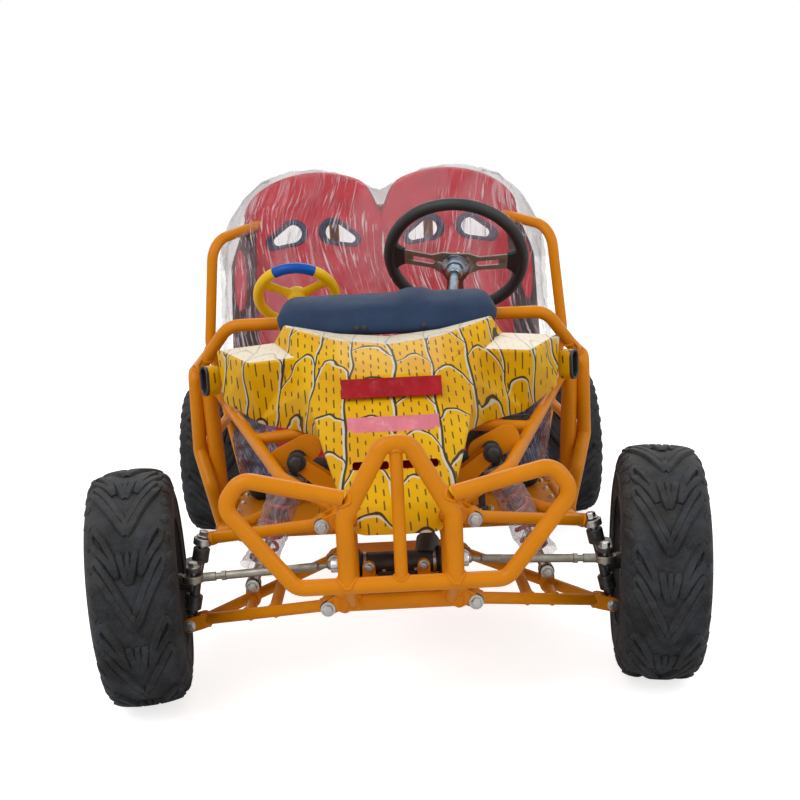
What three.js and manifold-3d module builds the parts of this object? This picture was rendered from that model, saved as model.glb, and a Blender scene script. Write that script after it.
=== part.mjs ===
// Two-seat off road go kart: a bent tube frame with a bumper, double wishbone front wheels, rack steering,
// a chain driven live rear axle on a swing arm, and a joined pair of seats.
// Millimetres, +Z up. The kart's front faces -Y and its left side, where the driver sits, is +X.
// While it is built, y is measured from the front axle. The finished group is moved so that its
// origin is on the ground under the middle of the kart's length.
import * as THREE from 'three';
import { mergeVertices } from 'three/addons/utils/BufferGeometryUtils.js';
import Module from 'manifold-3d';

const wasm = await Module();
wasm.setup();

// Wheels and stance
const wheelbase = 1300;
const frontHalfTrack = 502;
const rearHalfTrack = 500;
const tyreDiameter = 457;
const frontTyreWidth = 165;
const rearTyreWidth = 235;
const camber = 2.4;
const toeIn = 8;
const rimDiameter = 203;
const frontRimWidth = 130;
const rearRimWidth = 190;
const tyreWall = 11;
const rimWall = 5;
const rimLip = 9;
const rimDrop = 12;
const frontHubDiameter = 62;
const frontHubLength = 96;
const rearHubDiameter = 70;
const rearHubLength = 120;

// Tube sizes
const frameTube = 28;
const guardTube = 31;
const postTube = 36;
const braceTube = 25;
const bumperTube = 28;
const archTube = 30;
const bumperBar = 22;
const armTube = 22;
const noseTube = 26;
const sheet = 3;
const lugPlate = 5;

// Clearances: between pieces that meet, in a running joint, and the play at each pivot left open in a linkage
const seam = 0.3;
const running = 0.35;
const tiePlay = 8;
const tieGap = 8;
const upperPlay = 3;
const shockPlay = 2.5;
const overrun = 20;

// Lower frame
const railHalfWidth = 395;
const railHeight = 235;
const railFrontY = 340;
const railRearY = 985;
const midCrossY = 640;
const rearCrossY = 945;
const railBend = 60;

// Nose
const noseFrontY = -190;
const noseRearY = 200;
const noseHalfWidth = 106;
const noseTopHeight = 385;
const nosePostHalfWidth = 86;

// Dash hoop
const dashY = 380;
const dashHeight = 695;
const dashHalfWidth = 352;
const dashEndHalfWidth = 428;
const dashEndY = 432;
const dashEndHeight = 598;
const dashBend = 55;

// Side guards
const guardFrontY = 425;
const guardHalfWidth = 440;
const guardTopHeight = 588;
const guardLowHeight = 408;
const guardFootHalfWidth = 412;
const guardFootHeight = 335;
const guardFootY = 372;
const guardBend = 22;

// Diagonal braces
const braceTopHalfWidth = 392;
const braceTopDrop = 40;
const braceTopHeight = guardTopHeight - braceTopDrop;
const braceLowHalfWidth = 216;
const braceLowY = -24;
const braceLowHeight = 432;
const braceEndY = -112;
const braceCrossY = 150;
const braceCrossHeight = 490;
const braceBend = 45;

// Seat hoop and engine cradle
const hoopY = 935;
const hoopLowHalfWidth = 405;
const hoopWaistHalfWidth = 477;
const hoopWaistHeight = 610;
const hoopTopHalfWidth = 452;
const hoopTopHeight = 880;
const hoopCrossY = 1158;
const hoopCrossHeight = 950;
const hoopCrossHalfWidth = 250;
const hoopBend = 70;
const cradleHalfWidth = 135;
const cradleLowY = 1172;
const cradleLowHeight = 268;
const cradleRearY = 1222;
const cradleTopHeight = 565;
const cradleBend = 40;

// Front bumper
const bumperY = -300;
const bumperLowHeight = 302;
const bumperLowHalfWidth = 176;
const bumperSideHalfWidth = 291;
const bumperSideHeight = 447;
const bumperTopHalfWidth = 258;
const bumperTopHeight = 492;
const bumperMeetHeight = 452;
const archTopHeight = 541;
const archTopHalfWidth = 22;
const archKneeHalfWidth = 91;
const archKneeHeight = 416;
const bumperBend = 30;
const archBend = 26;
const bumperStay = 22;

// Wishbones
const armSpread = 150;
const lowerPivotX = 133;
const lowerPivotZ = 221;
const upperPivotX = 136;
const upperPivotZ = 373;
const lowerBallX = 412;
const lowerBallZ = 147;
const upperBallX = 377;
const upperBallZ = 311;
const armBush = 30;
const armBushLength = 40;
const armBolt = 12;
const lowerCrossShare = 0.42;
const upperCrossShare = 0.74;
const forkEar = 6;
const forkRadius = 14;
const trunnionWidth = 18;
const trunnionRadius = 11;
const ballPin = 12;
const kingpinStub = 15;
const kingpinReach = 56;
const kingpinBoss = 32;
const kingpinBossLength = 28;
const upperEye = 36;
const upperEyeLength = 13;
const upperPin = 13;
const spindle = 24;
const knuckleWeb = 20;

// Front shocks
const shockY = 37;
const shockTopX = 190;
const shockTopZ = 452;
const shockLowX = 290;
const shockLowZ = 209;
const shockEye = 30;
const shockEyeLength = 24;
const shockBolt = 12;
const shockNeck = 20;
const shockBodyDiameter = 34;
const shockBodyLength = 112;
const shockRodDiameter = 14;
const shockRodTuck = 40;
const shockBlind = 42;
const shockSeat = 52;
const shockSeatThick = 6;
const shockTopSeatAt = 44;
const shockLowSeatUp = 54;
const springWire = 8;
const springMean = 43;
const springTurns = 5;

// Steering
const rackY = -60;
const rackZ = 268;
const rackHalfLength = 120;
const rackBarDiameter = 16;
const rackHousingDiameter = 42;
const rackHousingHalfLength = 76;
const rackBoot = 58;
const rackBootLength = 22;
const pinionX = 50;
const pinionTower = 44;
const pinionTowerLength = 54;
const tieInnerX = 130;
const tieOuterX = 389;
const tieOuterZ = 256;
const tieRod = 16;
const tieBall = 18;
const rackCup = 28;
const rackCupLength = 22;
const tieEye = 42;
const tieEyeLength = 13;
const tiePin = 12;
const steerArmThick = 9;
const steerArmWidth = 30;
const wheelX = 174;
const wheelY = 620;
const wheelZ = 815;
const columnDiameter = 20;
const columnSleeve = 38;
const columnSleeveLength = 56;
const columnSleeveAt = 265;
const steeringRadius = 160;
const steeringGrip = 29;
const spokeThick = 5;
const spokeWidth = 46;
const steeringHub = 66;
const steeringHubLength = 26;

// Toy wheel for the passenger
const toyX = -212;
const toyY = 600;
const toyZ = 742;
const toyRadius = 92;
const toyGrip = 25;
const toyLean = 42;
const toyPost = 26;
const toyHub = 46;
const toyHubLength = 34;
const toySpoke = 22;

// Rear drive
const swingPivotY = 1000;
const swingPivotZ = 300;
const swingHalfWidth = 172;
const swingTube = 30;
const swingBush = 40;
const swingBushLength = 42;
const swingCrossY = 1200;
const axleDiameter = 30;
const axleHalfLength = 572;
const bearingBox = 66;
const bearingBoxLength = 40;
const chainX = -91;
const rearSprocket = 150;
const driveSprocket = 70;
const sprocketThick = 7;
const chainPitch = 14;
const chainWidth = 15;
const discX = 91;
const discDiameter = 160;
const discThick = 5;
const carrierDiameter = 60;
const carrierLength = 26;

// Engine, muffler and tank
const engineHalfWidth = 66;
const engineFrontY = 990;
const engineMountFrontY = 1052;
const engineMountRearY = 1140;
const engineRearY = 1168;
const engineCaseHeight = 445;
const engineCoverDiameter = 118;
const engineCoverLength = 24;
const cylinderWidth = 92;
const cylinderHeight = 120;
const cylinderLean = -6;
const finCount = 5;
const finReach = 11;
const finThick = 5;
const outputShaft = 22;
const outputShaftLength = 50;
const mufflerX = 225;
const mufflerY = 1128;
const mufflerZ = 520;
const mufflerDiameter = 92;
const mufflerLength = 260;
const exhaustPipe = 30;
const tankWidth = 250;
const tankDepth = 96;
const tankHeight = 150;
const tankCap = 52;
const tankCapHeight = 16;
const tankRound = 24;

// Rear shock
const rearShockTopY = 1222;
const rearShockTopZ = 532;
const rearShockLowY = 1208;
const rearShockLowZ = 290;

// Seats
const seatHalfWidth = 405;
const seatFrontY = 560;
const seatBaseHeight = 96;
const seatFrontRise = 20;
const seatRound = 34;
const backFootY = 872;
const backLean = 18.5;
const backHeight = 833;
const backThick = 82;
const backHalfWidth = 412;
const backLobeX = 178;
const backLobeTop = 132;
const backShoulder = 657;
const backNotch = 709;
const bolsterWidth = 62;
const bolsterReach = 84;
const bolsterLow = 150;
const bolsterTop = 617;
const slotWide = 62;
const slotTall = 40;
const slotSlant = 24;
const slotApart = 64;
const slotHeight = 660;

// Fairing, dash pad and lamp pods
const fairingHalfWidth = 369;
const fairingFrontY = -222;
const fairingRearY = 300;
const fairingLowZ = 366;
const fairingTopZ = 701;
const fairingSheet = 4;
const upperSlotHalf = 88;
const upperSlotTall = 24;
const upperSlotZ = 589;
const lowerSlotHalf = 78;
const lowerSlotTall = 18;
const lowerSlotZ = 527;
const smallSlotHalf = 22;
const smallSlotTall = 13;
const smallSlotX = 48;
const smallSlotZ = 466;
const padHalfWidth = 236;
const padFrontY = 258;
const padRearY = 420;
const padLowZ = 668;
const padTopZ = 762;
const podX = 388;
const podY = 306;
const podZ = 584;
const podTall = 78;
const podWide = 46;
const podDeep = 34;
const podWall = 5;
const podTurn = 48;
const podStay = 12;

// Pedals
const pedalPivotY = 306;
const pedalPivotZ = 268;
const pedalLength = 172;
const pedalTilt = 2;
const pedalArm = 16;
const pedalPadWidth = 62;
const pedalPadTall = 74;
const pedalPadThick = 6;
const pedalBush = 26;
const pedalBushLength = 26;
const pedalBolt = 10;
const throttleX = 190;
const brakeX = 272;

// Facets: sides of round sections and segments of turned pieces
const tubeSides = 8;
const smallSides = 6;
const turnedSides = 12;
const wheelSides = 18;
const barSides = 8;
const gripSides = 8;
const rimSides = 16;
const coilSides = 5;
const bendStep = 30;

const degree = Math.PI / 180;
const weldTolerance = 1e-3;
const half = 0.5;
const both = [1, -1];
const sideName = (side) => (side > 0 ? 'left' : 'right');
const vector = (p) => new THREE.Vector3(...p);
const mirror = (p, side) => [p[0] * side, p[1], p[2]];
const xAxis = [1, 0, 0];
const yAxis = [0, 1, 0];
const zAxis = [0, 0, 1];

// A closed geometry as a solid with its faces pointing out
function toSolid(geometry) {
  const bare = new THREE.BufferGeometry();
  bare.setAttribute('position', geometry.getAttribute('position').clone());
  if (geometry.index) bare.setIndex(geometry.index.clone());
  const merged = mergeVertices(bare, weldTolerance);
  const position = merged.getAttribute('position');
  const index = merged.index.array;
  const corners = [];
  let volume = 0;
  for (let i = 0; i < index.length; i += 3) {
    const face = [index[i], index[i + 1], index[i + 2]];
    if (new Set(face).size < face.length) continue;
    corners.push(face);
    const [a, b, c] = face.map((k) => new THREE.Vector3().fromBufferAttribute(position, k));
    volume += a.dot(b.cross(c));
  }
  const outward = volume < 0 ? corners.map(([a, b, c]) => [a, c, b]) : corners;
  return new wasm.Manifold(new wasm.Mesh({
    numProp: 3,
    vertProperties: new Float32Array(position.array),
    triVerts: new Uint32Array(outward.flat()),
  }));
}

function move(solid, matrix) {
  return solid.transform(matrix.elements);
}

function join(solids) {
  return solids.reduce((whole, next) => whole.add(next));
}

function cut(solid, cutters) {
  return cutters.reduce((rest, cutter) => rest.subtract(cutter), solid);
}

// A frame whose Y runs along a direction, set at a point
function along(point, direction) {
  const turn = new THREE.Quaternion().setFromUnitVectors(vector(yAxis), vector(direction).normalize());
  return new THREE.Matrix4().compose(vector(point), turn, new THREE.Vector3(1, 1, 1));
}

function step(point, direction, distance) {
  return vector(point).addScaledVector(vector(direction).normalize(), distance).toArray();
}

function mix(a, b, share) {
  return vector(a).lerp(vector(b), share).toArray();
}

// A round bar between two points
function bar(from, to, diameter, sides = barSides) {
  const way = vector(to).sub(vector(from));
  const round = new THREE.CylinderGeometry(diameter * half, diameter * half, way.length(), sides);
  round.translate(0, way.length() * half, 0);
  return move(toSolid(round), along(from, way.toArray()));
}

// A round bar centred on a point, along an axis
function pin(centre, axis, diameter, length, sides = barSides) {
  return bar(step(centre, axis, -length * half), step(centre, axis, length * half), diameter, sides);
}

// A ball, and how much of its radius its flats keep
const ballRings = 8;
const ballShare = Math.cos(Math.PI / turnedSides) * Math.cos((Math.PI * half) / ballRings);
function ball(centre, diameter) {
  const round = new THREE.SphereGeometry(diameter * half, turnedSides, ballRings);
  round.translate(...centre);
  return toSolid(round);
}

// A bore wide enough that its flats clear a round pin of the diameter by the gap
function bore(diameter, gap, sides = barSides) {
  return (diameter + gap * 2) / Math.cos(Math.PI / sides);
}

// A turned piece: outline points are [radius, distance along the axis]
function turned(outline, point, direction, sides = turnedSides) {
  const lathe = new THREE.LatheGeometry(outline.map(([r, s]) => new THREE.Vector2(r, s)), sides);
  return move(toSolid(lathe), along(point, direction));
}

// A box by its centre and sizes
function block(centre, sizes) {
  const box = new THREE.BoxGeometry(...sizes);
  box.translate(...centre);
  return toSolid(box);
}

// A flat plate: outline in the plane spanned by u and v at a point, thickness centred on the plane
function plate(outline, thickness, point, u, v) {
  const shape = new THREE.Shape(outline.map(([a, b]) => new THREE.Vector2(a, b)));
  const slab = new THREE.ExtrudeGeometry(shape, { depth: thickness, bevelEnabled: false });
  slab.translate(0, 0, -thickness * half);
  const w = vector(u).cross(vector(v));
  const place = new THREE.Matrix4().makeBasis(vector(u), vector(v), w).setPosition(...point);
  return move(toSolid(slab), place);
}

// Outline of a bar with round ends from a to b
function slotOutline(a, b, radius, steps = smallSides * half) {
  const heading = Math.atan2(b[1] - a[1], b[0] - a[0]);
  const points = [];
  for (const [centre, start] of [[b, -Math.PI * half], [a, Math.PI * half]]) {
    for (let i = 0; i <= steps; i += 1) {
      const angle = heading + start + (Math.PI * i) / steps;
      points.push([centre[0] + radius * Math.cos(angle), centre[1] + radius * Math.sin(angle)]);
    }
  }
  return points;
}

// A lug of round-ended plate in a plane of constant y, or of constant x
function lugXZ(a, b, y, radius, thickness) {
  return plate(slotOutline([a[0], a[1]], [b[0], b[1]], radius), thickness, [0, y, 0], xAxis, zAxis);
}

function lugYZ(a, b, x, radius, thickness) {
  return plate(slotOutline([a[0], a[1]], [b[0], b[1]], radius), thickness, [x, 0, 0], yAxis, zAxis);
}

// The centre line of a bent tube: straight runs joined by arcs
class BentLine extends THREE.Curve {
  constructor(points, bend) {
    super();
    const corners = points.map(vector);
    this.stations = [corners[0]];
    this.headings = [corners[1].clone().sub(corners[0]).normalize()];
    for (let i = 1; i < corners.length - 1; i += 1) this.turn(corners[i - 1], corners[i], corners[i + 1], bend);
    this.stations.push(corners[corners.length - 1]);
    this.headings.push(this.headings[this.headings.length - 1].clone());
  }

  turn(before, corner, after, bend) {
    const arriving = corner.clone().sub(before);
    const leaving = after.clone().sub(corner);
    const room = Math.min(arriving.length(), leaving.length()) * half;
    arriving.normalize();
    leaving.normalize();
    const angle = arriving.angleTo(leaving);
    const setback = Math.min(bend * Math.tan(angle * half), room);
    const radius = setback / Math.tan(angle * half);
    const inward = leaving.clone().addScaledVector(arriving, -Math.cos(angle)).normalize();
    const start = corner.clone().addScaledVector(arriving, -setback);
    const steps = Math.max(1, Math.ceil(angle / (bendStep * degree)));
    for (let i = 0; i <= steps; i += 1) {
      const swept = (angle * i) / steps;
      const along = start.clone().addScaledVector(arriving, radius * Math.sin(swept));
      this.stations.push(along.addScaledVector(inward, radius * (1 - Math.cos(swept))));
      const heading = arriving.clone().multiplyScalar(Math.cos(swept));
      this.headings.push(heading.addScaledVector(inward, Math.sin(swept)).normalize());
    }
  }

  getPointAt(u) {
    return this.stations[Math.round(u * (this.stations.length - 1))].clone();
  }

  getTangentAt(u) {
    return this.headings[Math.round(u * (this.headings.length - 1))].clone();
  }
}

function roundShape(diameter, sides) {
  const points = [];
  for (let i = 0; i < sides; i += 1) {
    const angle = ((i + half) * 2 * Math.PI) / sides;
    points.push(new THREE.Vector2(Math.cos(angle) * diameter * half, Math.sin(angle) * diameter * half));
  }
  return new THREE.Shape(points);
}

// A bent tube along its corner points
function tube(points, diameter, bend, sides = tubeSides) {
  const line = new BentLine(points, bend);
  const steps = line.stations.length - 1;
  const sweep = new THREE.ExtrudeGeometry(roundShape(diameter, sides), { steps, extrudePath: line });
  return toSolid(sweep);
}

// Tubes are kept as specs, so that a neighbour can be cut by the same tube grown by the seam
const spec = (points, diameter, bend) => ({ points, diameter, bend });
const made = (s) => tube(s.points, s.diameter, s.bend);
const grown = (s) => tube(s.points, s.diameter + seam * 4, s.bend);

const kart = new THREE.Group();
const body = new THREE.Group();
kart.add(body);

function addPart(name, solid, material) {
  const mesh = solid.getMesh();
  const geometry = new THREE.BufferGeometry();
  geometry.setAttribute('position', new THREE.BufferAttribute(new Float32Array(mesh.vertProperties), 3));
  geometry.setIndex(new THREE.BufferAttribute(new Uint32Array(mesh.triVerts), 1));
  geometry.computeVertexNormals();
  const part = new THREE.Mesh(geometry, material);
  part.name = name;
  body.add(part);
}

function finish(color, roughness, metalness) {
  return new THREE.MeshStandardMaterial({ color, roughness, metalness, flatShading: true });
}

const orangePowder = finish('#f09a10', 0.35, 0.1);
const yellowPlastic = finish('#f0b810', 0.3, 0);
const slatePad = finish('#3c4f6b', 0.6, 0);
const blackPlastic = finish('#141414', 0.45, 0);
const blackSteel = finish('#1b1b1d', 0.5, 0.4);
const zincSteel = finish('#b9b6a2', 0.35, 0.9);
const brushedAlloy = finish('#9a9ca0', 0.35, 0.9);
const redSpring = finish('#b01f2a', 0.35, 0.2);
const redVinyl = finish('#b3202f', 0.5, 0);
const tyreRubber = finish('#17171a', 0.85, 0);
const toyYellow = finish('#f3c812', 0.35, 0);
const castAlloy = finish('#8d9094', 0.5, 0.7);
const chainSteel = finish('#5b5850', 0.45, 0.8);

// Wheels

const tyreRadius = tyreDiameter * half;
const rimRadius = rimDiameter * half;

// Half of a tyre's outer outline, from above the bead to the crown, as shares of section width and height
const tyreOutlineShares = [[0.47, 0.24], [0.5, 0.5], [0.485, 0.76], [0.4, 0.925], [0.2, 0.985], [0, 1]];

function tyreOutline(width, rimWidth, inset) {
  const height = tyreRadius - rimRadius - seam;
  const beadHalf = rimWidth * half - rimWall;
  const bead = [[rimRadius + seam, beadHalf], [rimRadius + rimLip + seam, beadHalf]];
  const outer = [...bead, ...tyreOutlineShares.map(([w, h]) => [
    rimRadius + seam + h * (height - inset), w * width - inset])];
  const mirrored = outer.slice(0, -1).reverse().map(([r, s]) => [r, -s]);
  return [...outer, ...mirrored];
}

function tyreSolid(width, rimWidth, centre, axis) {
  const outside = tyreOutline(width, rimWidth, 0);
  const inside = tyreOutline(width, rimWidth, tyreWall).filter((point, i, all) => i % 2 === 0 || i === all.length - 1);
  inside[0][1] = outside[0][1] - tyreWall;
  inside[inside.length - 1][1] = -inside[0][1];
  return turned([...outside, ...inside.reverse(), outside[0]], centre, axis, wheelSides);
}

// How far the tyre's lowest point lies under the wheel's centre when it leans by the camber
function tyreReach(width, rimWidth, lean) {
  const reaches = tyreOutline(width, rimWidth, 0).map(([r, s]) => r * Math.cos(lean) + s * Math.sin(lean));
  return Math.max(...reaches);
}

function rimSolid(width, hubDiameter, hubLength, boreDiameter, centre, axis) {
  const edge = width * half;
  const well = rimRadius - rimDrop;
  const discAt = edge * half;
  const hubEdge = Math.min(hubLength * half, edge);
  const outline = [
    [boreDiameter * half, -hubEdge], [hubDiameter * half, -hubEdge], [hubDiameter * half, discAt - rimWall],
    [well - rimWall, discAt - rimWall], [well - rimWall, -discAt], [rimRadius - rimWall, -edge],
    [rimRadius + rimLip, -edge], [rimRadius + rimLip, -edge + rimWall - seam], [rimRadius, -edge + rimWall - seam],
    [well, -discAt], [well, discAt], [rimRadius, edge - rimWall + seam], [rimRadius + rimLip, edge - rimWall + seam],
    [rimRadius + rimLip, edge], [rimRadius - rimWall, edge], [well - rimWall, discAt + rimWall],
    [boreDiameter * half, discAt + rimWall], [boreDiameter * half, -hubEdge],
  ];
  return turned(outline, centre, axis, wheelSides);
}

const frontAxleZ = tyreReach(frontTyreWidth, frontRimWidth, camber * degree);
const rearAxleZ = tyreReach(rearTyreWidth, rearRimWidth, 0);
const frontAxis = (side) => [
  side * Math.cos(camber * degree) * Math.cos(toeIn * degree), -Math.cos(camber * degree) * Math.sin(toeIn * degree),
  -Math.sin(camber * degree),
];

for (const side of both) {
  const frontCentre = [side * frontHalfTrack, 0, frontAxleZ];
  const rearCentre = [side * rearHalfTrack, wheelbase, rearAxleZ];
  const outward = [side, 0, 0];
  addPart(`front_tyre_${sideName(side)}`,
    tyreSolid(frontTyreWidth, frontRimWidth, frontCentre, frontAxis(side)), tyreRubber);
  addPart(`front_rim_${sideName(side)}`,
    rimSolid(frontRimWidth, frontHubDiameter, frontHubLength, bore(spindle, running, rimSides), frontCentre,
      frontAxis(side)), blackSteel);
  addPart(`rear_tyre_${sideName(side)}`,
    tyreSolid(rearTyreWidth, rearRimWidth, rearCentre, outward), tyreRubber);
  addPart(`rear_rim_${sideName(side)}`,
    rimSolid(rearRimWidth, rearHubDiameter, rearHubLength, bore(axleDiameter, seam, rimSides), rearCentre,
      outward), blackSteel);
}

// Frame tubes

const lowerLoop = spec([
  [-railHalfWidth, railRearY, railHeight], [-railHalfWidth, railFrontY, railHeight],
  [railHalfWidth, railFrontY, railHeight], [railHalfWidth, railRearY, railHeight],
], frameTube, railBend);
const lowerCrosses = [midCrossY, rearCrossY].map((y) => spec(
  [[-railHalfWidth, y, railHeight], [railHalfWidth, y, railHeight]], frameTube, railBend));
const pedalLugOffset = (pedalBushLength + lugPlate) * half + running;
const pedalLugs = [throttleX, brakeX].flatMap((x) => [
  ...both.map((face) => lugYZ([railFrontY, railHeight], [pedalPivotY, pedalPivotZ], x + face * pedalLugOffset,
    pedalBolt, lugPlate)),
  pin([x, pedalPivotY, pedalPivotZ], xAxis, pedalBolt, pedalBushLength + lugPlate * 4, smallSides),
]);
addPart('lower_frame', join([...[lowerLoop, ...lowerCrosses].map(made), ...pedalLugs]), orangePowder);

const floorTopZ = railHeight + frameTube * half + seam + sheet;
const floorRearY = rearCrossY - frameTube;
const floorHalfWidth = railHalfWidth - postTube * half - seam * 2;
addPart('floor_pan', block(
  [0, (railFrontY + floorRearY) * half, floorTopZ - sheet * half],
  [floorHalfWidth * 2, floorRearY - railFrontY, sheet]), orangePowder);

// Nose: lower and upper rails, posts, skid plate and the lugs that carry the wishbones and the shocks
const noseLower = both.map((side) => spec([
  [side * noseHalfWidth, noseFrontY, railHeight], [side * noseHalfWidth, railFrontY, railHeight],
], frameTube, railBend));
const noseUpper = both.map((side) => spec([
  [side * noseHalfWidth, noseFrontY, noseTopHeight], [side * noseHalfWidth, noseRearY, noseTopHeight],
], frameTube, railBend));
const noseCross = [[noseFrontY, railHeight], [noseFrontY, noseTopHeight], [noseRearY, noseTopHeight]].map(
  ([y, z]) => spec([[-noseHalfWidth, y, z], [noseHalfWidth, y, z]], frameTube, railBend));
const nosePosts = both.flatMap((side) => [[nosePostHalfWidth, noseFrontY], [noseHalfWidth, noseRearY]].map(
  ([x, y]) => spec([[side * x, y, railHeight], [side * x, y, noseTopHeight]], noseTube, railBend)));
const nosePlate = block([0, (noseFrontY + noseRearY) * half, railHeight],
  [noseHalfWidth * 2, noseRearY - noseFrontY, sheet]);

const pivots = [
  { x: lowerPivotX, z: lowerPivotZ, railZ: railHeight },
  { x: upperPivotX, z: upperPivotZ, railZ: noseTopHeight },
];
const lugOffset = (armBushLength + lugPlate) * half + running;
const boltLength = armBushLength + lugPlate * 4;
const armLugs = both.flatMap((side) => pivots.flatMap(({ x, z, railZ }) => both.flatMap((end) => {
  const y = end * armSpread;
  const a = [side * noseHalfWidth, railZ];
  const b = [side * x, z];
  const plates = both.map((face) => lugXZ(a, b, y + face * lugOffset, armBolt, lugPlate));
  return [...plates, pin([side * x, y, z], yAxis, armBolt, boltLength, smallSides)];
})));
const towerOffset = (shockEyeLength + lugPlate) * half + running;
const shockTowers = both.flatMap((side) => {
  const foot = [side * noseHalfWidth, noseTopHeight];
  const head = [side * shockTopX, shockTopZ];
  const plates = both.map((face) => lugXZ(foot, head, shockY + face * towerOffset, shockBolt, lugPlate));
  const bolt = pin([head[0], shockY, head[1]], yAxis, shockBolt, shockEyeLength + lugPlate * 4, smallSides);
  return [...plates, bolt];
});
const noseSpecs = [...noseLower, ...noseUpper, ...noseCross, ...nosePosts];
const noseSolid = join([...noseSpecs.map(made), nosePlate, ...armLugs, ...shockTowers]);
addPart('nose_frame', cut(noseSolid, [grown(lowerLoop)]), orangePowder);

// Dash hoop with the dash stays and the steering column's sleeve
const wheelCentre = [wheelX, wheelY, wheelZ];
const pinionFoot = [pinionX, rackY, rackZ + rackBarDiameter * half + running];
const columnWay = vector(wheelCentre).sub(vector(pinionFoot)).normalize().toArray();
const sleeveCentre = step(wheelCentre, columnWay, -columnSleeveAt);
const dashTube = spec([
  [-dashEndHalfWidth, dashEndY, dashEndHeight], [-dashHalfWidth, dashY, dashHeight],
  [dashHalfWidth, dashY, dashHeight], [dashEndHalfWidth, dashEndY, dashEndHeight],
], frameTube, dashBend);
const stayTopHalfWidth = (dashHalfWidth + noseHalfWidth) * half;
const dashStays = both.map((side) => spec([
  [side * noseHalfWidth, noseRearY, noseTopHeight], [side * stayTopHalfWidth, dashY, dashHeight],
], braceTube, railBend));
const sleeveGusset = lugYZ([dashY, dashHeight], [sleeveCentre[1], sleeveCentre[2]], sleeveCentre[0],
  armBolt, lugPlate * 2);
const columnSleeveBore = pin(sleeveCentre, columnWay, bore(columnDiameter, running, rimSides),
  columnSleeveLength * 2, rimSides);
const dashSolid = join([made(dashTube), ...dashStays.map(made), sleeveGusset,
  pin(sleeveCentre, columnWay, columnSleeve, columnSleeveLength)]);

// Side guards reach from the dash hoop's ends to the seat hoop
const hoopTube = spec([
  [-hoopLowHalfWidth, hoopY, railHeight], [-hoopWaistHalfWidth, hoopY, hoopWaistHeight],
  [-hoopTopHalfWidth, hoopY, hoopTopHeight], [-hoopCrossHalfWidth, hoopCrossY, hoopCrossHeight],
  [hoopCrossHalfWidth, hoopCrossY, hoopCrossHeight], [hoopTopHalfWidth, hoopY, hoopTopHeight],
  [hoopWaistHalfWidth, hoopY, hoopWaistHeight], [hoopLowHalfWidth, hoopY, railHeight],
], frameTube, hoopBend);
const railSeatHalfWidth = hoopLowHalfWidth
  + ((hoopWaistHalfWidth - hoopLowHalfWidth) * (guardLowHeight - railHeight)) / (hoopWaistHeight - railHeight);
const postCorners = (side) => [
  [side * (railHalfWidth), guardFrontY, railHeight], [side * guardFootHalfWidth, guardFrontY, guardTopHeight],
];
const guardSpecs = (side) => [
  spec([
    [side * hoopWaistHalfWidth, hoopY, guardTopHeight], [side * guardHalfWidth, guardFrontY, guardTopHeight],
    [side * guardHalfWidth, guardFrontY, guardLowHeight], [side * guardFootHalfWidth, guardFootY, guardFootHeight],
    [side * railHalfWidth, railFrontY + railBend, railHeight],
  ], guardTube, guardBend),
  spec([
    [side * railSeatHalfWidth, hoopY, guardLowHeight], [side * guardHalfWidth, guardFrontY, guardLowHeight],
  ], braceTube, guardBend),
];
const guardPost = (side) => spec(postCorners(side), postTube, guardBend);
for (const side of both) {
  const whole = join([...guardSpecs(side), guardPost(side)].map(made));
  addPart(`side_guard_${sideName(side)}`, cut(whole, [grown(lowerLoop), grown(hoopTube)]), orangePowder);
}
const guardCutters = both.flatMap((side) => [...guardSpecs(side), guardPost(side)].map(grown));
addPart('dash_hoop', cut(dashSolid,
  [columnSleeveBore, ...noseUpper.map(grown), ...noseCross.map(grown), ...nosePosts.map(grown), ...guardCutters]),
orangePowder);

// Braces from the guard posts to the nose, with a cross tube behind the fairing
const braceSpecs = both.map((side) => spec([
  [side * braceTopHalfWidth, guardFrontY, braceTopHeight],
  [side * braceLowHalfWidth, braceLowY, braceLowHeight], [side * noseHalfWidth, braceEndY, noseTopHeight],
], braceTube, braceBend));
const crossShare = (guardFrontY - braceCrossY) / (guardFrontY - braceLowY);
const braceCrossX = braceTopHalfWidth + (braceLowHalfWidth - braceTopHalfWidth) * crossShare;
const braceCrossZ = braceTopHeight + (braceLowHeight - braceTopHeight) * crossShare;
const braceCross = spec([
  [-braceCrossX, braceCrossY, braceCrossZ], [-braceCrossX * half, braceCrossY, braceCrossHeight],
  [braceCrossX * half, braceCrossY, braceCrossHeight], [braceCrossX, braceCrossY, braceCrossZ],
], braceTube, braceBend);
addPart('shock_braces', cut(join([...braceSpecs, braceCross].map(made)),
  [...guardCutters, ...noseUpper.map(grown), ...noseCross.map(grown)]), orangePowder);

addPart('seat_hoop', cut(made(hoopTube), [grown(lowerLoop), ...lowerCrosses.map(grown)]), orangePowder);

// Engine cradle: two bent side tubes from the rear cross tube up to the seat hoop, with cross tubes
const cradleSides = both.map((side) => spec([
  [side * cradleHalfWidth, rearCrossY, railHeight], [side * cradleHalfWidth, cradleLowY, cradleLowHeight],
  [side * cradleHalfWidth, cradleRearY, cradleTopHeight], [side * cradleHalfWidth, hoopCrossY, hoopCrossHeight],
], frameTube, cradleBend));
const mountShare = (engineMountRearY - rearCrossY) / (cradleLowY - rearCrossY);
const engineMountZ = railHeight + (cradleLowHeight - railHeight) * mountShare;
const engineLowHeight = engineMountZ + braceTube * half + seam;
const cradleCrosses = [
  spec([[-cradleHalfWidth, cradleRearY, cradleTopHeight], [cradleHalfWidth, cradleRearY, cradleTopHeight]],
    frameTube, cradleBend),
  ...[engineMountFrontY, engineMountRearY].map((y) => spec(
    [[-cradleHalfWidth, y, engineMountZ], [cradleHalfWidth, y, engineMountZ]], braceTube, cradleBend)),
];
const swingPivot = (side) => [side * swingHalfWidth, swingPivotY, swingPivotZ];
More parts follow.
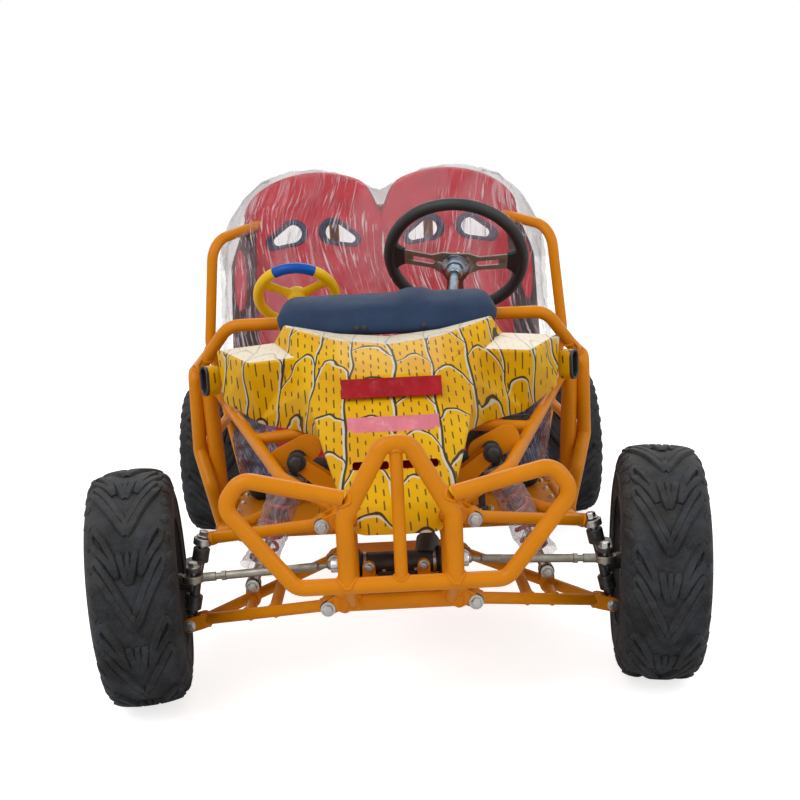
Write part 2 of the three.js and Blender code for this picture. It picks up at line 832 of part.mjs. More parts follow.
const swingLugOffset = (swingBushLength + lugPlate) * half + running;
const swingLugs = both.flatMap((side) => {
  const inner = side * (swingHalfWidth - swingLugOffset);
  const foot = [swingPivotY, railHeight];
  const head = [swingPivotY, swingPivotZ];
  const reach = swingHalfWidth + swingBushLength * half - cradleHalfWidth;
  const pivotBolt = bar([side * cradleHalfWidth, swingPivotY, swingPivotZ],
    [side * (cradleHalfWidth + reach), swingPivotY, swingPivotZ], armBolt, smallSides);
  return [lugYZ(foot, head, inner, shockEye * half, lugPlate), pivotBolt,
    lugYZ(foot, head, side * cradleHalfWidth, shockEye * half, lugPlate * 2)];
});
const rearTowerOffset = towerOffset;
const rearTower = both.map((face) => lugYZ([cradleRearY, cradleTopHeight], [rearShockTopY, rearShockTopZ],
  face * rearTowerOffset, shockBolt, lugPlate));
const rearTopBolt = pin([0, rearShockTopY, rearShockTopZ], xAxis, shockBolt, shockEyeLength + lugPlate * 4,
  smallSides);
addPart('engine_cradle', cut(
  join([...[...cradleSides, ...cradleCrosses].map(made), ...swingLugs, ...rearTower, rearTopBolt]),
  [grown(hoopTube), ...lowerCrosses.map(grown)]), orangePowder);

// Front bumper: a bent loop, an inverted U and a centre bar, on stays from the nose
const bumperLoop = spec([
  [-archKneeHalfWidth, bumperY, bumperMeetHeight], [-bumperTopHalfWidth, bumperY, bumperTopHeight],
  [-bumperSideHalfWidth, bumperY, bumperSideHeight], [-bumperLowHalfWidth, bumperY, bumperLowHeight],
  [bumperLowHalfWidth, bumperY, bumperLowHeight], [bumperSideHalfWidth, bumperY, bumperSideHeight],
  [bumperTopHalfWidth, bumperY, bumperTopHeight], [archKneeHalfWidth, bumperY, bumperMeetHeight],
], bumperTube, bumperBend);
const bumperArch = spec([
  [-archKneeHalfWidth, bumperY, bumperLowHeight], [-archKneeHalfWidth, bumperY, archKneeHeight],
  [-archTopHalfWidth, bumperY, archTopHeight], [archTopHalfWidth, bumperY, archTopHeight],
  [archKneeHalfWidth, bumperY, archKneeHeight], [archKneeHalfWidth, bumperY, bumperLowHeight],
], archTube, archBend);
const bumperMiddle = spec([[0, bumperY, bumperLowHeight], [0, bumperY, archTopHeight]], bumperBar, archBend);
const bumperStays = both.flatMap((side) => [railHeight, noseTopHeight].map((z) => spec([
  [side * nosePostHalfWidth, noseFrontY, z],
  [side * archKneeHalfWidth, bumperY, z === railHeight ? bumperLowHeight : archKneeHeight],
], bumperStay, archBend)));
addPart('front_bumper', cut(join([bumperLoop, bumperArch, bumperMiddle, ...bumperStays].map(made)),
  [...noseLower, ...noseUpper, ...noseCross, ...nosePosts].map(grown)), orangePowder);

// Wishbones, ball joints and knuckles

const ballPoint = (side) => [side * lowerBallX, 0, lowerBallZ];
const upperPoint = (side) => [side * upperBallX, 0, upperBallZ];
const kingpinWay = (side) => vector(upperPoint(side)).sub(vector(ballPoint(side))).normalize().toArray();
const kingpinLength = Math.hypot(lowerBallX - upperBallX, upperBallZ - lowerBallZ);
const bushBore = bore(armBolt, running, smallSides);

function wishbone(side, pivotX, pivotZ, tip, tipPieces, crossShare) {
  const ends = both.map((end) => [side * pivotX, end * armSpread, pivotZ]);
  const legs = ends.map((end) => bar(end, tip, armTube));
  const bushes = ends.map((end) => pin(end, yAxis, armBush, armBushLength));
  const cross = bar(...ends.map((end) => mix(end, tip, crossShare)), armTube);
  const bolts = ends.map((end) => pin(end, yAxis, bushBore, armBushLength * 2, smallSides));
  return cut(join([...legs, ...bushes, cross, ...tipPieces]), bolts);
}

for (const side of both) {
  const joint = ballPoint(side);
  const upper = upperPoint(side);
  const up = kingpinWay(side);
  const inboard = [-side, 0, 0];

  // Lower wishbone: a fork at the ball joint and ears for the shock on its rear leg
  const forkOffset = (trunnionWidth + forkEar) * half + running;
  const heel = step(joint, [side * (lowerPivotX - lowerBallX), 0, lowerPivotZ - lowerBallZ], forkRadius * 2);
  const ears = both.map((face) => lugXZ([heel[0], heel[2]], [joint[0], joint[2]], face * forkOffset,
    forkRadius, forkEar));
  const heelBlock = pin(heel, yAxis, forkRadius * 2, (forkOffset + forkEar) * 2 - forkEar);
  const shockShare = (shockLowX - lowerPivotX) / (lowerBallX - lowerPivotX);
  const seat = [side * shockLowX, lowerPivotZ + (lowerBallZ - lowerPivotZ) * shockShare];
  const shockEars = both.map((face) => lugXZ(seat, [side * shockLowX, shockLowZ], shockY + face * towerOffset,
    shockBolt, lugPlate));
  const earTie = pin([seat[0], shockY, seat[1]], yAxis, armTube, towerOffset * 2);
  const shockPin = pin([side * shockLowX, shockY, shockLowZ], yAxis, shockBolt, shockEyeLength + lugPlate * 4,
    smallSides);
  const lowerWhole = wishbone(side, lowerPivotX, lowerPivotZ, heel,
    [heelBlock, ...ears, ...shockEars, earTie, shockPin], lowerCrossShare);
  const trunnionRoom = pin(joint, yAxis, (trunnionRadius + running) * 2 / Math.cos(Math.PI / barSides),
    trunnionWidth + running * 2);
  const pinRoom = pin(joint, yAxis, bore(ballPin, running, smallSides), forkOffset * 4, smallSides);
  addPart(`lower_arm_${sideName(side)}`, cut(lowerWhole, [trunnionRoom, pinRoom]), orangePowder);

  const trunnion = join([
    pin(joint, yAxis, trunnionRadius * 2, trunnionWidth),
    pin(joint, yAxis, ballPin, trunnionWidth + forkEar * 3, smallSides),
    bar(joint, step(joint, up, kingpinReach), kingpinStub),
  ]);
  addPart(`ball_joint_${sideName(side)}`, trunnion, zincSteel);

  // Upper wishbone: its eye stands round the knuckle's pin with open play
  const eyeBore = pin(upper, up, bore(upperPin, upperPlay), upperEyeLength * 2);
  const eye = pin(upper, up, upperEye, upperEyeLength);
  const upperHeel = step(upper, [side * (upperPivotX - upperBallX), 0, upperPivotZ - upperBallZ],
    upperEye * half);
  const upperWhole = wishbone(side, upperPivotX, upperPivotZ, upperHeel, [eye], upperCrossShare);
  addPart(`upper_arm_${sideName(side)}`, cut(upperWhole, [eyeBore]), orangePowder);

  // Knuckle: bosses on the kingpin line, a web, the wheel spindle and the steering arm
  const bossLow = step(joint, up, trunnionRadius + kingpinReach * half + forkEar);
  const bossTop = step(joint, up, kingpinLength - upperEyeLength - kingpinBossLength * half);
  const axleStart = step([side * frontHalfTrack, 0, frontAxleZ], frontAxis(side),
    -frontHubLength * half - knuckleWeb);
  const axleEnd = step([side * frontHalfTrack, 0, frontAxleZ], frontAxis(side), frontRimWidth * half * half);
  const steerZ = tieOuterZ + (tieEyeLength + steerArmThick) * half + tieGap;
  const steerRoot = mix(joint, upper, (steerZ - lowerBallZ) / (upperBallZ - lowerBallZ));
  const steerArm = plate(slotOutline([steerRoot[0], 0], [side * tieOuterX, rackY], steerArmWidth * half),
    steerArmThick, [0, 0, steerZ], xAxis, yAxis);
  const steerPin = bar([side * tieOuterX, rackY, steerZ],
    [side * tieOuterX, rackY, tieOuterZ - tieEyeLength * half], tiePin, smallSides);
  const knuckle = join([
    pin(bossLow, up, kingpinBoss, kingpinBossLength),
    pin(bossTop, up, kingpinBoss, kingpinBossLength),
    bar(bossLow, bossTop, knuckleWeb),
    bar(bossTop, step(upper, up, upperEyeLength), upperPin),
    bar(mix(bossLow, bossTop, half), axleStart, kingpinBoss),
    pin(axleStart, frontAxis(side), frontHubDiameter, knuckleWeb * half),
    bar(axleStart, axleEnd, spindle, rimSides),
    steerArm, steerPin,
  ]);
  const stubBore = bar(joint, step(joint, up, kingpinReach + running * 2), bore(kingpinStub, running));
  addPart(`knuckle_${sideName(side)}`, cut(knuckle, [stubBore]), blackSteel);

  // Tie rod: a rod from the rack's end to an eye with open play under the steering arm
  const inner = [side * tieInnerX, rackY, rackZ];
  const outer = [side * tieOuterX, rackY, tieOuterZ];
  const tieWhole = join([
    ball(inner, tieBall),
    bar(step(inner, inboard, -tieBall * half * half), step(outer, inboard, (tieEye - tieRod * half) * half), tieRod),
    pin(outer, zAxis, tieEye, tieEyeLength),
  ]);
  addPart(`tie_rod_${sideName(side)}`,
    cut(tieWhole, [pin(outer, zAxis, bore(tiePin, tiePlay), tieEyeLength * 2)]), zincSteel);
}

// Shock absorbers: a body with its upper eye and spring seat, a rod with the lower ones, and a coil

function helixSpring(top, way, length) {
  const perTurn = gripSides;
  const steps = springTurns * perTurn;
  const place = along(top, way);
  const run = length - springWire;
  class Helix extends THREE.Curve {
    getPointAt(u) {
      const angle = u * springTurns * 2 * Math.PI;
      const radius = springMean * half;
      return new THREE.Vector3(radius * Math.cos(angle), springWire * half + run * u, radius * Math.sin(angle))
        .applyMatrix4(place);
    }

    getTangentAt(u) {
      const angle = u * springTurns * 2 * Math.PI;
      const turnLength = springMean * Math.PI * springTurns;
      return new THREE.Vector3(-Math.sin(angle) * turnLength, run, Math.cos(angle) * turnLength)
        .transformDirection(place);
    }
  }
  return toSolid(new THREE.ExtrudeGeometry(roundShape(springWire, coilSides), { steps, extrudePath: new Helix() }));
}

function shock(names, top, low, axis) {
  const way = vector(low).sub(vector(top)).normalize().toArray();
  const length = vector(low).distanceTo(vector(top));
  const at = (distance) => step(top, way, distance);
  const eyeBore = bore(shockBolt, running, smallSides);
  const rodRoom = bar(at(shockBlind), at(length), bore(shockRodDiameter, running));
  const upperBody = join([
    pin(top, axis, shockEye, shockEyeLength),
    bar(at(shockBolt), at(shockEye), shockNeck),
    bar(at(shockEye * half + lugPlate), at(shockEye * half + shockBodyLength), shockBodyDiameter),
    pin(at(shockTopSeatAt), way, shockSeat, shockSeatThick),
  ]);
  addPart(names[0], cut(upperBody, [rodRoom, pin(top, axis, eyeBore, shockEyeLength * 2, smallSides)]), blackSteel);
  const lowSeatAt = length - shockLowSeatUp;
  const rod = join([
    bar(at(shockEye * half + shockBodyLength - shockRodTuck), at(length - shockBolt), shockRodDiameter),
    pin(at(lowSeatAt), way, shockSeat, shockSeatThick),
    pin(low, axis, shockEye, shockEyeLength),
  ]);
  addPart(names[1], cut(rod, [pin(low, axis, bore(shockBolt, shockPlay, smallSides), shockEyeLength * 2,
    smallSides)]), zincSteel);
  const coilTop = at(shockTopSeatAt + shockSeatThick * half + seam);
  const coilLength = lowSeatAt - shockTopSeatAt - shockSeatThick - seam * 2;
  addPart(names[2], helixSpring(coilTop, way, coilLength), redSpring);
}

for (const side of both) {
  const name = sideName(side);
  shock([`shock_body_${name}`, `shock_rod_${name}`, `spring_${name}`],
    [side * shockTopX, shockY, shockTopZ], [side * shockLowX, shockY, shockLowZ], yAxis);
}

// Steering: rack, housing with its pinion tower, column and wheel

const housingWhole = join([
  bar([-rackHousingHalfLength, rackY, rackZ], [rackHousingHalfLength, rackY, rackZ], rackHousingDiameter),
  ...both.map((side) => bar([side * (rackHousingHalfLength - rackBootLength), rackY, rackZ],
    [side * rackHousingHalfLength, rackY, rackZ], rackBoot, turnedSides)),
  bar(pinionFoot, step(pinionFoot, columnWay, pinionTowerLength), pinionTower),
]);
const rackFoot = block([0, rackY, (railHeight + rackZ) * half], [rackHousingDiameter * 2, rackHousingDiameter,
  rackZ - railHeight - sheet - seam * 2]);
const rackRoom = bar([-rackHalfLength * 2, rackY, rackZ], [rackHalfLength * 2, rackY, rackZ],
  bore(rackBarDiameter, running));
const columnRoom = bar(pinionFoot, step(pinionFoot, columnWay, pinionTowerLength * 2),
  bore(columnDiameter, running, rimSides), rimSides);
addPart('rack_housing', cut(join([housingWhole, rackFoot]), [rackRoom, columnRoom]), blackPlastic);
const rackWhole = join([
  bar([-tieInnerX, rackY, rackZ], [tieInnerX, rackY, rackZ], rackBarDiameter),
  ...both.map((side) => bar([side * (tieInnerX - rackCupLength), rackY, rackZ],
    [side * (tieInnerX + running), rackY, rackZ], rackCup, turnedSides)),
]);
addPart('rack_bar', cut(rackWhole, both.map((side) => ball([side * tieInnerX, rackY, rackZ],
  (tieBall + running * 2) / ballShare))), zincSteel);

const pinionEnd = step(pinionFoot, columnWay, columnDiameter * half);
const hubFoot = step(wheelCentre, columnWay, -steeringHubLength * half - seam);
addPart('steering_column', bar(pinionEnd, hubFoot, columnDiameter, rimSides), zincSteel);

// A ring of round section about an axis
function ringSolid(centre, axis, radius, thickness, around, sides) {
  const ring = new THREE.TorusGeometry(radius, thickness * half, sides, around);
  ring.rotateX(Math.PI * half);
  return move(toSolid(ring), along(centre, axis));
}

const steeringRing = ringSolid(wheelCentre, columnWay, steeringRadius, steeringGrip, wheelSides, gripSides);
const steeringRingRoom = ringSolid(wheelCentre, columnWay, steeringRadius, steeringGrip + seam * 4, wheelSides,
  gripSides);
addPart('steering_rim', steeringRing, blackPlastic);

const wheelRight = vector(xAxis).addScaledVector(vector(columnWay), -columnWay[0]).normalize();
const wheelUp = wheelRight.clone().cross(vector(columnWay)).normalize();
const spokeAngles = [0, Math.PI, -Math.PI * half];
const spokes = spokeAngles.map((angle) => {
  const reach = [steeringRadius * Math.cos(angle), steeringRadius * Math.sin(angle)];
  return plate(slotOutline([0, 0], reach, spokeWidth * half), spokeThick, wheelCentre, wheelRight.toArray(),
    wheelUp.toArray());
});
const steeringBoss = pin(wheelCentre, columnWay, steeringHub, steeringHubLength, turnedSides);
const spokesCut = cut(join([...spokes, steeringBoss]), [steeringRingRoom]);
const spokeDisc = pin(wheelCentre, columnWay, (steeringRadius - steeringGrip * half) * 2, steeringHubLength * 2,
  wheelSides);
addPart('steering_spokes', spokesCut.intersect(spokeDisc), brushedAlloy);

// Toy wheel on a post from the dash hoop

const toyCentre = [toyX, toyY, toyZ];
const toyWay = [0, Math.cos(toyLean * degree), Math.sin(toyLean * degree)];
const toyPostTop = step(toyCentre, toyWay, -toyHubLength * half - seam);
const toyPostCorner = step(toyPostTop, toyWay, -(toyPostTop[2] - dashHeight) / toyWay[2]);
const toyPostSpec = spec([[toyX, dashY, dashHeight], toyPostCorner, toyPostTop], toyPost, toyPost);
addPart('toy_wheel_post', cut(made(toyPostSpec), [grown(dashTube)]), toyYellow);
const toyRing = ringSolid(toyCentre, toyWay, toyRadius, toyGrip, wheelSides, gripSides);
const toyUp = vector(toyWay).cross(vector(xAxis));
const toySpokes = [0, 1, 2].map((k) => {
  const angle = (k * 2 * Math.PI) / 3 + Math.PI * half;
  const end = vector(toyCentre).addScaledVector(vector(xAxis), toyRadius * Math.cos(angle))
    .addScaledVector(toyUp, -toyRadius * Math.sin(angle));
  return bar(toyCentre, end.toArray(), toySpoke);
});
addPart('toy_wheel', join([toyRing, pin(toyCentre, toyWay, toyHub, toyHubLength), ...toySpokes]), toyYellow);

// Rear axle, swing arm, chain and brake disc

const axleLine = (x) => [x, wheelbase, rearAxleZ];
addPart('rear_axle', bar(axleLine(-axleHalfLength), axleLine(axleHalfLength), axleDiameter, rimSides), zincSteel);

const axleBore = bore(axleDiameter, running, rimSides);
const swingShare = (swingCrossY - swingPivotY) / (wheelbase - swingPivotY);
const swingCrossZ = swingPivotZ + (rearAxleZ - swingPivotZ) * swingShare;
const swingWhole = join([
  ...both.map((side) => bar(swingPivot(side), axleLine(side * swingHalfWidth), swingTube)),
  ...both.map((side) => pin(swingPivot(side), xAxis, swingBush, swingBushLength, turnedSides)),
  ...both.map((side) => pin(axleLine(side * swingHalfWidth), xAxis, bearingBox, bearingBoxLength, turnedSides)),
  bar([-swingHalfWidth, swingCrossY, swingCrossZ], [swingHalfWidth, swingCrossY, swingCrossZ], swingTube),
  ...both.map((face) => lugYZ([swingCrossY, swingCrossZ], [rearShockLowY, rearShockLowZ], face * towerOffset,
    shockBolt, lugPlate)),
  pin([0, rearShockLowY, rearShockLowZ], xAxis, shockBolt, shockEyeLength + lugPlate * 4, smallSides),
]);
addPart('swing_arm', cut(swingWhole, [
  bar(axleLine(-axleHalfLength), axleLine(axleHalfLength), axleBore, rimSides),
  ...both.map((side) => pin(swingPivot(side), xAxis, bushBore, swingBushLength * 2, smallSides)),
]), blackSteel);

function onAxle(x, diameter, thickness) {
  const wheel = join([
    pin(axleLine(x), xAxis, diameter, thickness, wheelSides),
    pin(axleLine(x), xAxis, carrierDiameter, carrierLength, turnedSides),
  ]);
  return cut(wheel, [pin(axleLine(x), xAxis, bore(axleDiameter, seam, rimSides), carrierLength * 2, rimSides)]);
}
addPart('rear_sprocket', onAxle(chainX, rearSprocket, sprocketThick), chainSteel);
addPart('brake_disc', onAxle(discX, discDiameter, discThick), brushedAlloy);

// The chain's loop runs round both sprockets, a gap off their rims
function chainOutline(growth) {
  const centres = [[wheelbase, rearAxleZ, rearSprocket * half + growth],
    [swingPivotY, swingPivotZ, driveSprocket * half + growth]];
  const [big, small] = centres;
  const dx = small[0] - big[0];
  const dz = small[1] - big[1];
  const heading = Math.atan2(dz, dx);
  const lean = Math.acos((big[2] - small[2]) / Math.hypot(dx, dz));
  const points = [];
  const arc = (centre, from, to) => {
    for (let i = 0; i <= turnedSides; i += 1) {
      const angle = from + ((to - from) * i) / turnedSides;
      points.push([centre[0] + centre[2] * Math.cos(angle), centre[1] + centre[2] * Math.sin(angle)]);
    }
  };
  arc(big, heading + lean, heading + 2 * Math.PI - lean);
  arc(small, heading - lean, heading + lean);
  return points;
}
const chainInner = seam * 3;
addPart('drive_chain', cut(
  plate(chainOutline(chainInner + chainPitch), chainWidth, [chainX, 0, 0], yAxis, zAxis),
  [plate(chainOutline(chainInner), chainWidth * 2, [chainX, 0, 0], yAxis, zAxis)]), chainSteel);

// Rear shock between the swing arm's cross tube and the cradle
shock(['rear_shock_body', 'rear_shock_rod', 'rear_spring'], [0, rearShockTopY, rearShockTopZ],
  [0, rearShockLowY, rearShockLowZ], xAxis);

// Engine: crankcase, finned cylinder leaning forward, side cover and output sprocket

const engineLength = engineRearY - engineFrontY;
const engineOutlineShares = [
  [0, 0.1], [0.1, 0], [0.86, 0], [1, 0.16], [1, 0.72], [0.84, 1], [0.28, 1], [0, 0.62],
];
const caseHeight = engineCaseHeight - engineLowHeight;
const engineCase = plate(
  engineOutlineShares.map(([y, z]) => [engineFrontY + y * engineLength, engineLowHeight + z * caseHeight]),
  engineHalfWidth * 2, [0, 0, 0], yAxis, zAxis);
const cylinderFoot = [0, engineFrontY + engineLength * half, engineCaseHeight - finThick];
const cylinderWay = [0, -Math.sin(cylinderLean * degree), Math.cos(cylinderLean * degree)];
const cylinder = bar(cylinderFoot, step(cylinderFoot, cylinderWay, cylinderHeight), cylinderWidth, turnedSides);
const fins = Array.from({ length: finCount }, (_, i) => pin(
  step(cylinderFoot, cylinderWay, ((i + 1) * cylinderHeight) / (finCount + 1)), cylinderWay,
  cylinderWidth + finReach * 2, finThick, turnedSides));
const coverCentre = [engineHalfWidth + engineCoverLength * half, engineFrontY + engineLength * half,
  engineLowHeight + caseHeight * half];
const outputEnd = -engineHalfWidth - outputShaftLength;
const engineWhole = join([engineCase, cylinder, ...fins,
  pin(coverCentre, xAxis, engineCoverDiameter, engineCoverLength + running, turnedSides),
  bar([-engineHalfWidth + overrun, swingPivotY + outputShaft, swingPivotZ + outputShaft],
    [-engineHalfWidth, swingPivotY + outputShaft, swingPivotZ + outputShaft], outputShaft),
  bar([0, swingPivotY, swingPivotZ], [outputEnd, swingPivotY, swingPivotZ], outputShaft),
  pin([chainX, swingPivotY, swingPivotZ], xAxis, driveSprocket, sprocketThick, turnedSides),
]);
addPart('engine', cut(engineWhole, [...cradleSides, ...cradleCrosses].map(grown)), castAlloy);

// Muffler with its exhaust pipe from the cylinder head
const exhaustAt = step(cylinderFoot, cylinderWay, cylinderHeight * half);
const mufflerEnds = [[mufflerX, mufflerY - mufflerLength * half * half, mufflerZ],
  [mufflerX, mufflerY + mufflerLength * half * half * 3, mufflerZ]];
const exhaustSpec = spec([[0, exhaustAt[1], exhaustAt[2]], [mufflerX * half * half * 3, exhaustAt[1], exhaustAt[2]],
  [mufflerX, mufflerEnds[0][1], mufflerZ], [mufflerX, mufflerEnds[0][1] + overrun, mufflerZ]], exhaustPipe,
exhaustPipe);
const mufflerWhole = join([bar(...mufflerEnds, mufflerDiameter, turnedSides), made(exhaustSpec)]);
const headRoom = bar(step(cylinderFoot, cylinderWay, -cylinderHeight), step(cylinderFoot, cylinderWay,
  cylinderHeight * 2), cylinderWidth + (finReach + seam * 2) * 2, turnedSides);
addPart('muffler', cut(mufflerWhole, [headRoom, ...cradleSides.map(grown)]), blackSteel);

// Fuel tank standing on the cradle's upper cross tube
const tankLow = cradleTopHeight + frameTube * half + seam;
const tankCentre = [0, cradleRearY + tankDepth * half * half, tankLow + tankHeight * half];
const tankShape = slotOutline([-(tankWidth * half - tankRound), 0], [tankWidth * half - tankRound, 0], tankRound);
const tankOutline = tankShape.map(([a, b]) => [a, b * (tankDepth / (tankRound * 2))]);
const tank = plate(tankOutline, tankHeight, tankCentre, xAxis, yAxis);
const cap = bar([tankCentre[0], tankCentre[1], tankLow + tankHeight - tankCapHeight],
  [tankCentre[0], tankCentre[1], tankLow + tankHeight + tankCapHeight], tankCap, turnedSides);
addPart('fuel_tank', cut(join([tank, cap]), [...cradleSides, ...cradleCrosses].map(grown)), blackPlastic);

// Seats: a bench with a crowned side outline, and a back with two round tops and side bolsters

const seatLow = floorTopZ + seam;
const seatTop = seatLow + seatBaseHeight;
const backSlope = Math.tan(backLean * degree);
const backFootZ = seatLow + backThick * half * Math.sin(backLean * degree);
const backFaceY = backFootY - (backThick * half + seam * 2) / Math.cos(backLean * degree);
const seatRearAt = (z) => backFaceY + (z - backFootZ) * backSlope;
const seatOutline = [
  [seatFrontY, seatLow], [seatRearAt(seatLow), seatLow], [seatRearAt(seatTop - seatFrontRise), seatTop - seatFrontRise],
  [seatFrontY + seatRound * 2, seatTop - seatFrontRise * half], [seatFrontY + seatRound, seatTop],
  [seatFrontY, seatTop - seatRound],
];
const seatInnerHalf = railHalfWidth - postTube;
addPart('seat_cushion', plate(seatOutline, seatInnerHalf * 2, [0, 0, 0], yAxis, zAxis), redVinyl);

const backUp = [0, Math.sin(backLean * degree), Math.cos(backLean * degree)];
const backOut = [0, -Math.cos(backLean * degree), Math.sin(backLean * degree)];
function backOutline() {
  const lobe = (centreX, from, to) => Array.from({ length: rimSides * half + 1 }, (_, i) => {
    const angle = (from + ((to - from) * i) / (rimSides * half)) * degree;
    const across = backHalfWidth - backLobeX;
    return [centreX + across * Math.cos(angle) * lobeShare, backHeight - backLobeTop
      + backLobeTop * Math.sin(angle)];
  });
  const lobeShare = 0.86;
  return [
    [-seatInnerHalf, 0], [seatInnerHalf, 0], [backHalfWidth, backShoulder * half],
    [backHalfWidth - overrun, backShoulder], ...lobe(backLobeX, 0, 180).slice(0, -2), [0, backNotch],
    ...lobe(-backLobeX, 0, 180).slice(2), [-(backHalfWidth - overrun), backShoulder],
    [-backHalfWidth, backShoulder * half],
  ];
}
const backFoot = [0, backFootY, backFootZ];
const backSlab = plate(backOutline(), backThick, backFoot, xAxis, backUp);
const bolsters = both.map((side) => {
  const centre = vector(backFoot).addScaledVector(vector(backUp), (bolsterLow + bolsterTop) * half)
    .addScaledVector(vector(backOut), (backThick + bolsterReach) * half - seatRound)
    .setX(side * (backHalfWidth - overrun - bolsterWidth * half)).toArray();
  const reach = bolsterReach + seatRound;
  const tall = (bolsterTop - bolsterLow) * half;
  return plate([[-reach * half, -tall], [reach * half, -tall * half], [reach * half, tall * half],
    [-reach * half, tall]], bolsterWidth, centre, backOut, backUp);
});
const harnessSlots = both.flatMap((side) => both.map((inner) => {
  const lean = -inner * slotSlant * degree;
  const x = side * backLobeX + inner * slotApart;
  const way = [Math.cos(lean) * slotWide * half, Math.sin(lean) * slotWide * half];
  return plate(slotOutline([x - way[0] * half, slotHeight - way[1] * half],
    [x + way[0] * half, slotHeight + way[1] * half], slotTall * half), backThick * 4, backFoot, xAxis, backUp);
}));
addPart('seat_back', cut(join([backSlab, ...bolsters]), [...harnessSlots, grown(hoopTube),
  ...cradleSides.map(grown)]), redVinyl);

// Fairing: a folded sheet. Corner places are shares of its half width, its length from the front and its
// height from the low edge. The first list lies on the centre line, the others are mirrored.
const fairingCentreShares = [
  [0, 0.904, 0.9], [0, 0.713, 0.875], [0, 0.483, 0.735], [0, 0.435, 0.62], [0, 0.339, 0.51], [0, 0.282, 0.445],
  [0, 0.042, 0.14], [0, 0, 0],
];
const fairingMiddleShares = [
  [0.29, 0.904, 0.93], [0.28, 0.751, 0.905], [0.26, 0.498, 0.732], [0.25, 0.44, 0.62], [0.236, 0.349, 0.51],
  [0.225, 0.291, 0.445], [0.2, 0.05, 0.14], [0.168, 0.006, 0],
];
const fairingSideShares = [
  [0.59, 0.904, 1], [0.57, 0.837, 0.995], [0.496, 0.713, 0.82], [0.447, 0.569, 0.654], [0.412, 0.464, 0.52],
  [0.38, 0.339, 0.43], [0.285, 0.138, 0.176], [0.208, 0.019, 0.006],
];
const fairingWingShares = [
  [0.64, 0.918, 0.885], [0.79, 0.732, 0.794], [1, 1, 0.845], [0.737, 0.808, 0.43], [0.504, 0.655, 0.415],
  [0.965, 0.943, 0.522], [0.4, 0.54, 0.37], [0.32, 0.349, 0.19], [0.232, 0.215, 0.02],
];
const fairingLength = fairingRearY - fairingFrontY;
const fairingHeight = fairingTopZ - fairingLowZ;
const fairingPoint = ([x, y, z]) => new THREE.Vector3(x * fairingHalfWidth, fairingFrontY + y * fairingLength,
  fairingLowZ + z * fairingHeight);

function fairingSolid() {
  const rows = fairingCentreShares.length;
  const centre = fairingCentreShares.map(fairingPoint);
  const halfPoints = [...fairingMiddleShares, ...fairingSideShares, ...fairingWingShares].map(fairingPoint);
  const points = [...centre];
  const faces = [];
  for (const side of both) {
    const base = points.length;
    for (const p of halfPoints) points.push(new THREE.Vector3(p.x * side, p.y, p.z));
    const m = (i) => base + i;
    const s = (i) => base + rows + i;
    const w = (i) => base + rows * 2 + i;
    const half1 = [];
    for (let i = 0; i < rows - 1; i += 1) {
      half1.push([i, m(i), m(i + 1)], [i, m(i + 1), i + 1]);
      half1.push([m(i), s(i), s(i + 1)], [m(i), s(i + 1), m(i + 1)]);
    }
    half1.push(
      [s(0), w(0), s(1)], [s(1), w(0), s(2)], [w(0), w(1), s(2)], [w(0), w(2), w(1)], [w(1), w(2), w(5)],
      [w(1), w(5), w(3)], [s(2), w(1), w(3)], [s(2), w(3), s(3)], [s(3), w(3), w(4)], [s(3), w(4), s(4)],
      [s(4), w(4), w(6)], [s(4), w(6), s(5)], [s(5), w(6), w(7)], [s(5), w(7), s(6)], [s(6), w(7), w(8)],
      [s(6), w(8), s(7)],
    );
    faces.push(...(side > 0 ? half1 : half1.map(([a, b, c]) => [a, c, b])));
  }
  return thickened(points, faces, fairingSheet);
}

// A sheet of triangles given a thickness along its corner normals, with its rim closed
function thickened(points, faces, thickness) {
  const normals = points.map(() => new THREE.Vector3());
  for (const [a, b, c] of faces) {
    const normal = points[b].clone().sub(points[a]).cross(points[c].clone().sub(points[a])).normalize();
    for (const k of [a, b, c]) normals[k].add(normal);
  }
  const under = points.map((p, k) => p.clone().addScaledVector(normals[k].normalize(), thickness));
  const count = points.length;
  const edges = new Map();
  for (const face of faces) {
    face.forEach((a, k) => {
      const b = face[(k + 1) % face.length];
      if (edges.has(`${b},${a}`)) edges.delete(`${b},${a}`);
      else edges.set(`${a},${b}`, [a, b]);
    });
  }
  const all = [...faces, ...faces.map(([a, b, c]) => [a + count, c + count, b + count])];
  for (const [a, b] of edges.values()) all.push([b, a, a + count], [b, a + count, b + count]);
  const geometry = new THREE.BufferGeometry();
  const flat = [...points, ...under].flatMap((p) => p.toArray());
  geometry.setAttribute('position', new THREE.BufferAttribute(new Float32Array(flat), 3));
  geometry.setIndex(all.flat());
  return toSolid(geometry);
}

const slotDepth = fairingLength;
const fairingSlots = [
  block([0, fairingFrontY, upperSlotZ], [upperSlotHalf * 2, slotDepth, upperSlotTall]),
  block([0, fairingFrontY, lowerSlotZ], [lowerSlotHalf * 2, slotDepth, lowerSlotTall]),
  ...both.map((side) => block([side * smallSlotX, fairingFrontY, smallSlotZ],
    [smallSlotHalf * 2, slotDepth * half, smallSlotTall])),
];
const noseRoom = [...noseUpper, ...noseCross, ...nosePosts, ...bumperStays].map(grown);
addPart('front_fairing', cut(fairingSolid(), [...fairingSlots, ...noseRoom]), yellowPlastic);

